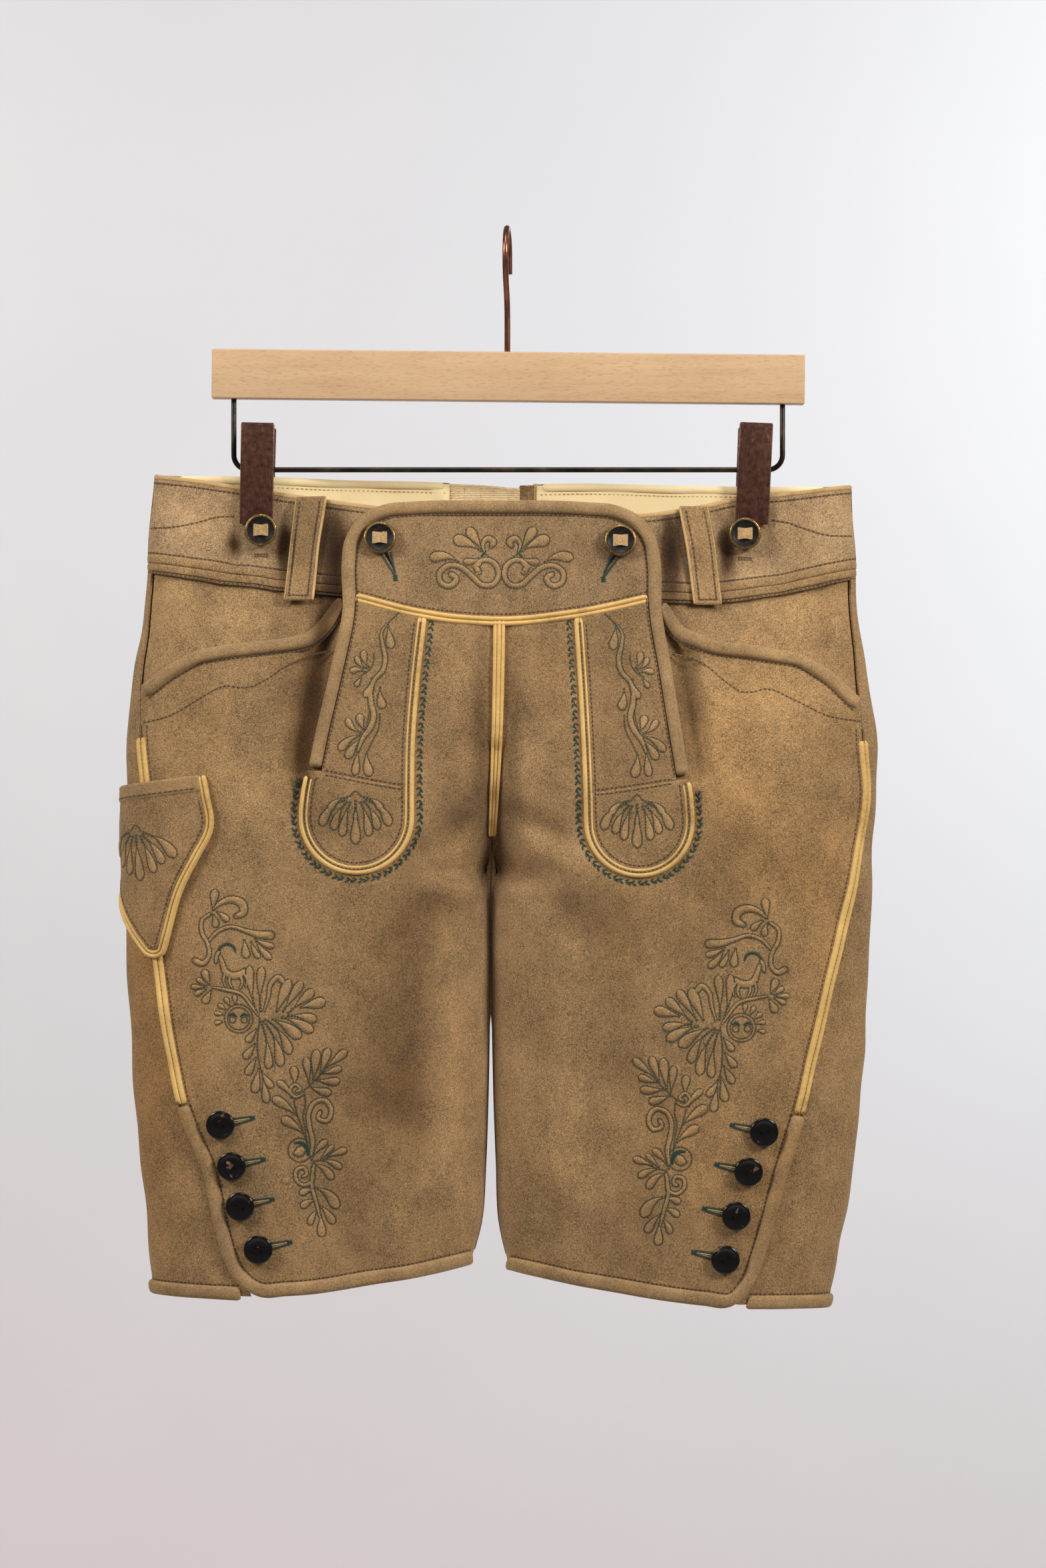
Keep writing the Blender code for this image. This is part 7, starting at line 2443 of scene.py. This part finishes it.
def waist_buttons():
    """Rimmed buttons with a dished black core and a square suede thong."""
    radius, thick = WAIST_BUTTON["radius"], WAIST_BUTTON["thick"]
    rim, lip, dish = WAIST_BUTTON["rim"], WAIST_BUTTON["lip"], WAIST_BUTTON["dish"]
    blank = lathe_disc("rim_button", radius, thick, "amber", "brass", "core")
    turn_face((0.2, -0.08), (lip - 0.2, 0.08), (0.25, 0.6), (1.3, 0.4), (2.2, dish - 1.0), (2.0, 0.05))
    leave_edit()
    inner = radius - rim
    paint(1, lambda spot: spot.z > thick * 0.8 and inner - lip < math.hypot(spot.x, spot.y) < inner + 0.75)
    paint(2, lambda spot: spot.z > thick * 0.4 and math.hypot(spot.x, spot.y) <= inner - lip + 0.15)
    none_selected()
    width, height, wall = THONG
    floor = thick - dish
    bpy.ops.mesh.primitive_cube_add(size=MM, location=(0, 0, (floor + wall / 2 - 0.2) * MM))
    thong = named("thong_blank", "thong")
    thong.scale = (width, height, wall)
    bpy.ops.object.transform_apply(location=True, scale=True)
    edit()
    bpy.ops.mesh.subdivide(number_cuts=5)
    pick(lambda vert, spot: abs(spot.x) < 0.2 * width and abs(spot.y) > 0.3 * height, "verts")
    bpy.ops.transform.resize(value=(1, 0.86, 1), center_override=(0, 0, floor * MM))
    pick(lambda vert, spot: spot.z > floor and abs(spot.x) > 0.3 * width, "verts")
    bpy.ops.transform.translate(value=(0, 0, -0.3 * wall * MM))
    pick(lambda vert, spot: spot.z > floor - 0.5 and abs(spot.x) > 0.45 * width, "verts")
    bpy.ops.transform.translate(value=(0, 0, -0.45 * wall * MM))
    leave_edit()
    apply_modifier("BEVEL", width=0.45 * MM, segments=3, limit_method="ANGLE")
    apply_modifier("SUBSURF", levels=1, render_levels=1)
    settle_piece(thong, angle=80)
    settle_piece(blank, angle=40)
    for name, (x, z) in WAIST_BUTTONS.items():
        over = flap_level(x, z) if name.startswith("flap") else 0.6
        shank = SEWN_SHANK if name.startswith("flap") else BRACE_SHANK
        point, normal = level(lift=0.0)(x, z)
        place = stand_on(point, normal, float(over) + BUTTON_STANDOFF + shank - 0.2)
        copy_of(blank, name + "_rim", place, "rimmed_horn", name)
        copy_of(thong, name + "_thong", place, "suede")
        none_selected()
        bpy.ops.mesh.primitive_cylinder_add(vertices=14, radius=NECK_RADIUS * MM, depth=(shank + 2.4) * MM,
                                            location=(0, 0, (-shank / 2 - 0.3) * MM))
        neck = named(name + "_neck", "puff")
        bpy.ops.object.transform_apply(location=True)
        edit()
        bpy.ops.mesh.subdivide(number_cuts=1)
        leave_edit()
        apply_modifier("BEVEL", width=0.4 * MM, segments=2, limit_method="ANGLE")
        settle_piece(neck, place)
        ride_as(neck, "suede")
    bpy.data.objects.remove(blank)
    bpy.data.objects.remove(thong)


# ---------------------------------------------------------------- hanger

HOOK = {"wire": 1.9, "inner_radius": 16.0, "tail": -26.0, "neck": -58.0, "turned": -4.0}
BAR = {"size": (381.8, 12.0, 31.8), "centre": (0.65, 0.0, -94.1), "tilt": 0.58, "edge": 0.9}
WIRE_FRAME = {"wire": 1.7, "left": -176.3, "right": 177.4, "level": -153.9, "bend": 9.5}
CLIP = {"width": 21.6, "top": -125.2, "bottom": -188.8, "plate": 1.2, "spread": 13.0, "flange": 3.4,
        "flange_end": 0.6, "fold": 2.6, "jaw": 0.7, "back_drop": 1.8, "lean": {LEFT: 1.5, RIGHT: 2.6}}
SPRING = {"radius": 3.0, "length": 13.0, "aside": 1.0, "z": -148.0}


def ring_at(name, finish, radius, spot):
    """A round wire's end, in edit mode and ready to be drawn out."""
    none_selected()
    bpy.ops.mesh.primitive_circle_add(vertices=18, radius=radius * MM, fill_type="NOTHING",
                                      location=Vector(spot) * MM)
    made = named(name, finish)
    bpy.ops.object.transform_apply(location=True)
    edit()
    bpy.ops.mesh.select_all(action="SELECT")
    return made


def draw_out(*step):
    bpy.ops.mesh.extrude_region_move(TRANSFORM_OT_translate={"value": tuple(v * MM for v in step)})


def bend_round(centre, axis, angle, steps):
    """Draw the selection round a centre, right-handed about the axis (the tool itself turns left-handed)."""
    bpy.ops.mesh.spin(steps=steps, angle=-math.radians(angle), center=tuple(v * MM for v in centre), axis=axis)


def close_wire():
    """Cap both ends and turn every face outward."""
    bpy.ops.mesh.select_all(action="SELECT")
    bpy.ops.mesh.remove_doubles(threshold=0.00001)
    bpy.ops.mesh.select_all(action="SELECT")
    bpy.ops.mesh.fill_holes(sides=40)
    face_outward()
    apply_modifier("BEVEL", width=0.4 * MM, segments=3, limit_method="ANGLE", angle_limit=math.radians(60))


def hanger_hook():
    """Swivel hook of copper wire: it rises behind, goes over the rail and swings back to the middle."""
    wire = HOOK["wire"]
    radius = HOOK["inner_radius"] + wire
    centre_z = wire - radius
    made = ring_at("copper_hook", "copper", wire, (0, radius, HOOK["tail"]))
    draw_out(0, 0, centre_z - HOOK["tail"])
    bend_round((0, 0, centre_z), (1, 0, 0), 180, 28)
    drop = centre_z - HOOK["neck"]
    sweep = 2 * math.degrees(math.atan(radius / drop))
    bend = drop / 2 / math.sin(math.radians(sweep))
    bend_round((0, -radius + bend, centre_z), (1, 0, 0), sweep, 8)
    bend_round((0, -bend, HOOK["neck"]), (1, 0, 0), -sweep, 8)
    bar_top = BAR["centre"][2] + BAR["size"][2] / 2
    draw_out(0, 0, bar_top - 0.8 - HOOK["neck"])
    close_wire()
    settle_piece(made, Matrix.Rotation(math.radians(HOOK["turned"]), 4, "Z"), 50)
    ride_as(made, "copper", "hanger_hook")


def under_bar(x):
    """Height of the bar's lower edge at a place along it."""
    slope = math.tan(math.radians(BAR["tilt"]))
    return BAR["centre"][2] - BAR["size"][2] / 2 - slope * (x - BAR["centre"][0])


def hanger_wire():
    """U-shaped bronze wire under the bar, with both ends in the wood."""
    left, right, bend = WIRE_FRAME["left"], WIRE_FRAME["right"], WIRE_FRAME["bend"]
    straight = WIRE_FRAME["level"] + bend
    made = ring_at("bronze_wire", "bronze", WIRE_FRAME["wire"], (left, 0, under_bar(left) + 0.6))
    draw_out(0, 0, straight - under_bar(left) - 0.6)
    bend_round((left + bend, 0, straight), (0, 1, 0), -90, 10)
    draw_out(right - left - 2 * bend, 0, 0)
    bend_round((right - bend, 0, straight), (0, 1, 0), -90, 10)
    draw_out(0, 0, under_bar(right) + 0.6 - straight)
    close_wire()
    settle_piece(made, angle=50)
    ride_as(made, "bronze", "hanger_wire")


def hanger_bar():
    """Flat beech bar with eased edges."""
    none_selected()
    bpy.ops.mesh.primitive_cube_add(size=MM, location=Vector(BAR["centre"]) * MM,
                                    rotation=(0, math.radians(BAR["tilt"]), 0))
    made = named("beech_bar", "beech")
    made.scale = BAR["size"]
    bpy.ops.object.transform_apply(location=True, rotation=True, scale=True)
    edit()
    pick(lambda edge, spot: True, "edges")
    bpy.ops.mesh.bevel(offset=BAR["edge"] * MM, segments=4, profile=0.5)
    leave_edit()
    settle_piece(made, angle=30)
    ride_as(made, "beech", "hanger_bar")


def clip_leaf(side, face):
    """A pressed leaf: a plate with turned-in sides, a folded top and a rolled jaw."""
    out = -1 if face == "front" else 1
    press = (CLIP_FRONT_DEPTH if face == "front" else CLIP_BACK_DEPTH) + 1.5 * LAY_GAP
    top = CLIP["top"] - (0 if face == "front" else CLIP["back_drop"])
    height = top - CLIP["bottom"]
    half = CLIP["width"] / 2
    wall = CLIP["plate"]
    none_selected()
    bpy.ops.mesh.primitive_plane_add(size=MM, rotation=(math.radians(90), 0, 0))
    made = named("clip_%s_%s_leaf" % (SIDES[side], face), "clip", "clip_edge")
    made.scale = (CLIP["width"] - wall, height, 1)
    bpy.ops.object.transform_apply(location=True, rotation=True, scale=True)
    edit()
    pick(lambda edge, spot: abs(spot.x) > half - wall, "edges")
    draw_out(0, -out * CLIP["flange"], 0)
    pick(lambda vert, spot: -out * spot.y > 0.5 and spot.z < 0, "verts")
    bpy.ops.transform.translate(value=(0, out * (CLIP["flange"] - CLIP["flange_end"]) * MM, 0))
    pick(lambda edge, spot: abs(spot.y) < 0.1 and spot.z > height / 2 - 0.1, "edges")
    draw_out(0, -out * CLIP["fold"], 0.4)
    pick(lambda edge, spot: abs(spot.y) < 0.1 and spot.z < 0.1 - height / 2, "edges")
    draw_out(0, -out * CLIP["jaw"], -0.3)
    face_outward()
    apply_modifier("SOLIDIFY", thickness=wall * MM, offset=0.0)
    apply_modifier("BEVEL", width=0.42 * MM, segments=3, limit_method="ANGLE", angle_limit=math.radians(40))
    edit()
    face_outward()
    paint(1, lambda spot: abs(abs(spot.x) - half) < 0.55 and out * spot.y > -0.5)
    lean = math.atan2(CLIP["lean"][side], height)
    tip = math.atan2(CLIP["spread"] - press, CLIP["top"] - CLIP["bottom"])
    middle = Vector((CLIP_X[side] + 0.3 * CLIP["lean"][side], out * ((CLIP["spread"] + press) / 2 + wall / 2),
                     (top + CLIP["bottom"]) / 2)) * MM
    place = Matrix.Translation(middle) @ Matrix.Rotation(lean, 4, "Y") @ Matrix.Rotation(-out * tip, 4, "X")
    settle_piece(made, place, 30)
    ride_as(made, "antique_copper", "clip_%s_%s" % (SIDES[side], face))


def clip_springs():
    """A small dark coil and pin between the leaves of each clip."""
    for side, name in SIDES.items():
        none_selected()
        bpy.ops.mesh.primitive_cylinder_add(vertices=24, radius=SPRING["radius"] * MM, depth=SPRING["length"] * MM,
                                            rotation=(0, math.radians(90), 0),
                                            location=Vector((CLIP_X[side] + SPRING["aside"], 0, SPRING["z"])) * MM)
        made = named("clip_spring_" + name, "bronze")
        bpy.ops.object.transform_apply(location=True, rotation=True)
        edit()
        bpy.ops.mesh.bisect(plane_co=(CLIP_X[side] * MM, 0, 0), plane_no=(1, 0, 0))
        leave_edit()
        apply_modifier("BEVEL", width=0.5 * MM, segments=3, limit_method="ANGLE")
        settle_piece(made, angle=35)
        ride_as(made, "bronze")


# ---------------------------------------------------------------- sheets
# The flat cut of each cloth piece that shows: what it hangs from or lies on, the trim that is sewn to it, and
# the width, length and area of its cut in metres. A star stands for left and then right, each with its own cut.

CUTS = (
    ("leg_front_*", "waist_front_*", ("pocket_roll_*", "placket_roll_*"),
     (0.250, 0.455, 0.0945), (0.258, 0.459, 0.0975)),
    ("leg_back_*", "waist_back_*", ("hem_roll_*", "side_cord_*", "inseam_*"),
     (0.325, 0.472, 0.1330), (0.335, 0.475, 0.1375)),
    ("side_pocket_facing_*", "waist_front_*", (), (0.158, 0.098, 0.0083), (0.153, 0.100, 0.0076)),
    ("waist_front_*", "clip_*_front_leaf", ("waist_welts_*", "waist_cut_edge_*"),
     (0.233, 0.060, 0.0134), (0.235, 0.060, 0.0136)),
    ("waist_back_*", "clip_*_back_leaf", (), (0.203, 0.059, 0.0118), (0.214, 0.059, 0.0123)),
    ("waist_lining_*", "waist_back_*", (), (0.184, 0.058, 0.0104), (0.195, 0.058, 0.0111)),
    ("yoke", "flap_button_left_rim", ("flap_roll", "yoke_cord", "centre_cord"), (0.196, 0.068, 0.0115)),
    ("strip_*", "yoke", ("strip_cord_*",), (0.066, 0.119, 0.0052), (0.065, 0.122, 0.0055)),
    ("lobe_*", "leg_front_*", (), (0.063, 0.061, 0.0031), (0.060, 0.058, 0.0028)),
    ("suede_loop_*", "waist_front_*", ("loop_cut_edge_*",), (0.018, 0.069, 0.00124), (0.017, 0.065, 0.00109)),
    ("knife_shield", "leg_front_left", ("knife_cord",), (0.091, 0.104, 0.0061)),
    ("knife_band", "leg_front_left", (), (0.084, 0.0105, 0.00086)),
    ("adjuster_loops_cloth", "waist_back_left", (), (0.022, 0.056, 0.00118)),
    ("adjuster_tab_cloth", "waist_back_left", (), (0.026, 0.056, 0.00142)),
    ("adjuster_lap_cloth", "waist_back_right", ("adjuster_cut_edge",), (0.0115, 0.056, 0.00062)),
)


def declare_sheets():
    for piece, holder, trim, *cuts in CUTS:
        for side, (width, length_down, area) in zip(SIDES.values(), cuts):
            bpy.data.objects[piece.replace("*", side)]
            holder.replace("*", side)
            [bpy.data.objects[name.replace("*", side)] for name in trim]


# ---------------------------------------------------------------- the panel and its tools

def tone(name, description, value):
    return bpy.props.FloatVectorProperty(name=name, description=description, subtype="COLOR", size=3, min=0, max=1,
                                         default=value)


def length(name, description, value):
    return bpy.props.FloatProperty(name=name, description=description, unit="LENGTH", default=value, min=0.0001,
                                   precision=5)


class BREECHES_PG_sizes(bpy.types.PropertyGroup):
    """Sizes and colours of the finishes."""

    suede: tone("Suede", "Brushed deer suede of the legs, the waistband and the flap", srgb(150, 119, 81))
    binding: tone("Binding", "Paler suede of the rolled bindings", srgb(154, 124, 86))
    piping: tone("Piping", "Straw-coloured leather of the piping", srgb(226, 186, 112))
    cut_edge: tone("Cut edge", "Raw edge of the hide", srgb(212, 174, 116))
    lining: tone("Lining", "Cream facing inside the waistband", srgb(253, 222, 170))
    seam_thread: tone("Seam thread", "Brown thread of the seams", srgb(62, 52, 44))
    embroidery: tone("Embroidery thread", "Fir green thread of the embroidery", srgb(15, 60, 50))
    horn: tone("Horn", "Dark horn of the leg buttons", srgb(13, 11, 10))
    beech: tone("Beech", "Lacquered beech of the hanger bar", srgb(215, 179, 138))
    clip: tone("Clip", "Antique copper of the clips", srgb(110, 74, 61))
    hook: tone("Hook", "Copper plated wire of the hook", srgb(150, 98, 75))
    nap: length("Nap", "Size of the grain of the brushed suede", 0.00072)


class Maker:
    """What every tool of the panel shares."""

    bl_options = {"REGISTER", "UNDO"}


class BREECHES_OT_legs(Maker, bpy.types.Operator):
    """Leg fronts and backs, with their soft folds"""

    bl_idname = "breeches.legs"
    bl_label = "Legs and seat"

    def execute(self, context):
        for side in SIDES:
            leg_front(side)
            leg_back(side)
            inseam(side)
        gusset()
        return {"FINISHED"}


class BREECHES_OT_pockets(Maker, bpy.types.Operator):
    """Slanted side pockets with their rolled edges and stitching"""

    bl_idname = "breeches.pockets"
    bl_label = "Slanted pockets"

    def execute(self, context):
        for side in SIDES:
            pocket_facing(side)
            pocket_roll(side)
            pocket_stitches(side)
        return {"FINISHED"}


class BREECHES_OT_waist(Maker, bpy.types.Operator):
    """Waistband, its lining, welts, stitching, belt loops and back adjuster"""

    bl_idname = "breeches.waist"
    bl_label = "Waistband"

    def execute(self, context):
        for side in SIDES:
            waistband_front(side)
            waistband_back(side)
            waist_lining(side)
            waist_stitches(side)
            lining_stitches(side)
            belt_loop(side)
            loop_stitches(side)
        adjuster()
        return {"FINISHED"}


class BREECHES_OT_flap(Maker, bpy.types.Operator):
    """Drop front: yoke, strips, lobes, binding, piping and stitching"""

    bl_idname = "breeches.flap"
    bl_label = "Drop front"

    def execute(self, context):
        flap_yoke()
        flap_binding()
        yoke_piping()
        centre_piping()
        for side in SIDES:
            flap_strip(side)
            flap_lobe(side)
            strip_piping(side)
            feather_stitch(side)
        flap_stitches()
        flap_buttonholes()
        return {"FINISHED"}


class BREECHES_OT_knife_pocket(Maker, bpy.types.Operator):
    """Knife pocket on the side of the leg"""

    bl_idname = "breeches.knife_pocket"
    bl_label = "Knife pocket"

    def execute(self, context):
        knife_pocket()
        knife_stitches()
        knife_embroidery()
        return {"FINISHED"}


class BREECHES_OT_trim(Maker, bpy.types.Operator):
    """Side piping, placket and hem bindings, and their stitching"""

    bl_idname = "breeches.trim"
    bl_label = "Side piping and hems"

    def execute(self, context):
        for side in SIDES:
            side_piping(side)
            placket_binding(side)
            back_hem_binding(side)
            side_stitches(side)
            leg_buttonholes(side)
        return {"FINISHED"}


class BREECHES_OT_embroidery(Maker, bpy.types.Operator):
    """Leaf scrolls on the legs, the yoke, the strips and the lobes"""

    bl_idname = "breeches.embroidery"
    bl_label = "Embroidery"

    def execute(self, context):
        yoke_embroidery()
        for side in SIDES:
            flap_embroidery(side)
            leg_embroidery(side)
        return {"FINISHED"}


class BREECHES_OT_buttons(Maker, bpy.types.Operator):
    """Horn buttons down the legs and rimmed buttons at the waist"""

    bl_idname = "breeches.buttons"
    bl_label = "Buttons"

    def execute(self, context):
        leg_buttons()
        waist_buttons()
        return {"FINISHED"}


class BREECHES_OT_hanger(Maker, bpy.types.Operator):
    """Hook, beech bar, wire and clips"""

    bl_idname = "breeches.hanger"
    bl_label = "Clip hanger"

    def execute(self, context):
        hanger_hook()
        hanger_bar()
        hanger_wire()
        for side in SIDES:
            clip_leaf(side, "front")
            clip_leaf(side, "back")
        clip_springs()
        return {"FINISHED"}


CAMERA = {"place": (0.0101, -3.0, -0.3565), "lens": 106.8}
LAMPS = (
    # name, place, what it shines at, size, power, colour
    ("right", (2.05, -1.5, 0.95), (0, 0, -0.38), 0.8, 60.0, (1.0, 0.975, 0.945)),
    ("left", (-2.1, -1.4, 1.0), (0, 0, -0.38), 0.8, 46.5, (1.0, 0.98, 0.96)),
    ("top", (0.0, -1.1, 1.9), (0, 0, -0.38), 1.0, 16.0, (1.0, 1.0, 1.0)),
    ("wall_right", (2.3, 2.6, 0.9), (0.4, 4.6, -0.3), 1.0, 53.0, (1.0, 0.99, 0.98)),
    ("wall_left", (-2.3, 2.6, 0.9), (-0.3, 4.6, -0.4), 1.0, 44.0, (1.0, 0.985, 0.97)),
)
AIR = {"colour": (1.0, 0.99, 0.985, 1), "strength": 0.15}
BACKDROP = {"wall": 4.6, "floor": -2.4, "bend": 0.6, "half_width": 20.0, "height": 3.4, "reach": 20.0}


class BREECHES_OT_stage(Maker, bpy.types.Operator):
    """Pale floor and wall in one sweep, soft lights and the camera"""

    bl_idname = "breeches.stage"
    bl_label = "Stage"

    def execute(self, context):
        none_selected()
        scene = context.scene
        wall, floor, bend = BACKDROP["wall"], BACKDROP["floor"], BACKDROP["bend"]
        bpy.ops.mesh.primitive_plane_add(size=1)
        sweep = bpy.context.object
        sweep.name = "paper_sweep"
        sweep.scale = (2 * BACKDROP["half_width"], BACKDROP["reach"] + wall - bend, 1)
        sweep.location = (0, (wall - bend - BACKDROP["reach"]) / 2, floor)
        bpy.ops.object.transform_apply(location=True, scale=True)
        edit()
        pick(lambda edge, spot: spot.y * MM > wall - bend - 0.01, "edges")
        bend_round((0, (wall - bend) / MM, (floor + bend) / MM), (1, 0, 0), 90, 16)
        draw_out(0, 0, BACKDROP["height"] / MM)
        face_outward()
        bpy.ops.object.shade_smooth()
        paper = Finish("pale_plaster", roughness=0.95, specular=0.1)
        cloud = paper.noise(420, 3, 0.5)
        trowel = paper.noise(60, 4, 0.6)
        across, _, up = paper.add("ShaderNodeSeparateXYZ", {0: paper.place}).outputs
        # Painted light and shade on the wall: darker at the upper left, lighter at the upper right, and more even
        # lower down
        high = paper.mix(paper.spread(across, -0.95, 0.95), srgb(215, 214, 216), srgb(227, 230, 234))
        low = paper.mix(paper.spread(across, -0.95, 0.95), srgb(229, 220, 221), srgb(225, 221, 222))
        painted_light_wash = paper.mix(paper.spread(up, -1.7, -0.66), low, high)
        tint = paper.mix(paper.spread(cloud, 0.3, 0.7, 0, 0.06), painted_light_wash, (1.0, 0.99, 0.98))
        sweep.data.materials.append(paper.end(tint, paper.bump(trowel, 0.8, 0.12)))

        for name, place, target, size, power, colour_of in LAMPS:
            lamp = bpy.data.lights.new(name, "AREA")
            lamp.size = size
            lamp.energy = power
            lamp.color = colour_of
            stand = bpy.data.objects.new(name, lamp)
            scene.collection.objects.link(stand)
            stand.location = place
            stand.rotation_euler = (Vector(target) - Vector(place)).to_track_quat("-Z", "Y").to_euler()
        world = bpy.data.worlds.new("studio_air")
        world.use_nodes = True
        air = world.node_tree.nodes["Background"]
        air.inputs["Color"].default_value = AIR["colour"]
        air.inputs["Strength"].default_value = AIR["strength"]
        scene.world = world

        view = bpy.data.cameras.new("camera")
        view.sensor_fit = "VERTICAL"
        view.sensor_height = 36
        view.lens = CAMERA["lens"]
        stand = bpy.data.objects.new("camera", view)
        stand.location = CAMERA["place"]
        stand.rotation_euler = (math.radians(90), 0, 0)
        scene.collection.objects.link(stand)
        scene.camera = stand
        scene.view_settings.view_transform = "Standard"
        return {"FINISHED"}


TOOLS = (BREECHES_OT_legs, BREECHES_OT_pockets, BREECHES_OT_waist, BREECHES_OT_flap, BREECHES_OT_knife_pocket,
         BREECHES_OT_trim, BREECHES_OT_embroidery, BREECHES_OT_buttons, BREECHES_OT_hanger, BREECHES_OT_stage)


class BREECHES_PT_panel(bpy.types.Panel):
    """Sizes, colours and the tools in the order of work."""

    bl_idname = "BREECHES_PT_panel"
    bl_label = "Breeches"
    bl_space_type = "VIEW_3D"
    bl_region_type = "UI"
    bl_category = "Breeches"

    def draw(self, context):
        for name in BREECHES_PG_sizes.__annotations__:
            self.layout.prop(context.scene.breeches, name)
        for tool in TOOLS:
            self.layout.operator(tool.bl_idname)


CLASSES = (BREECHES_PG_sizes, *TOOLS, BREECHES_PT_panel)


def register():
    for item in CLASSES:
        bpy.utils.register_class(item)
    bpy.types.Scene.breeches = bpy.props.PointerProperty(type=BREECHES_PG_sizes)


def unregister():
    del bpy.types.Scene.breeches
    for item in reversed(CLASSES):
        bpy.utils.unregister_class(item)


def main():
    register()
    for tool in TOOLS:
        group, name = tool.bl_idname.split(".")
        getattr(getattr(bpy.ops, group), name)()
    declare_sheets()


if __name__ == "__main__":
    main()
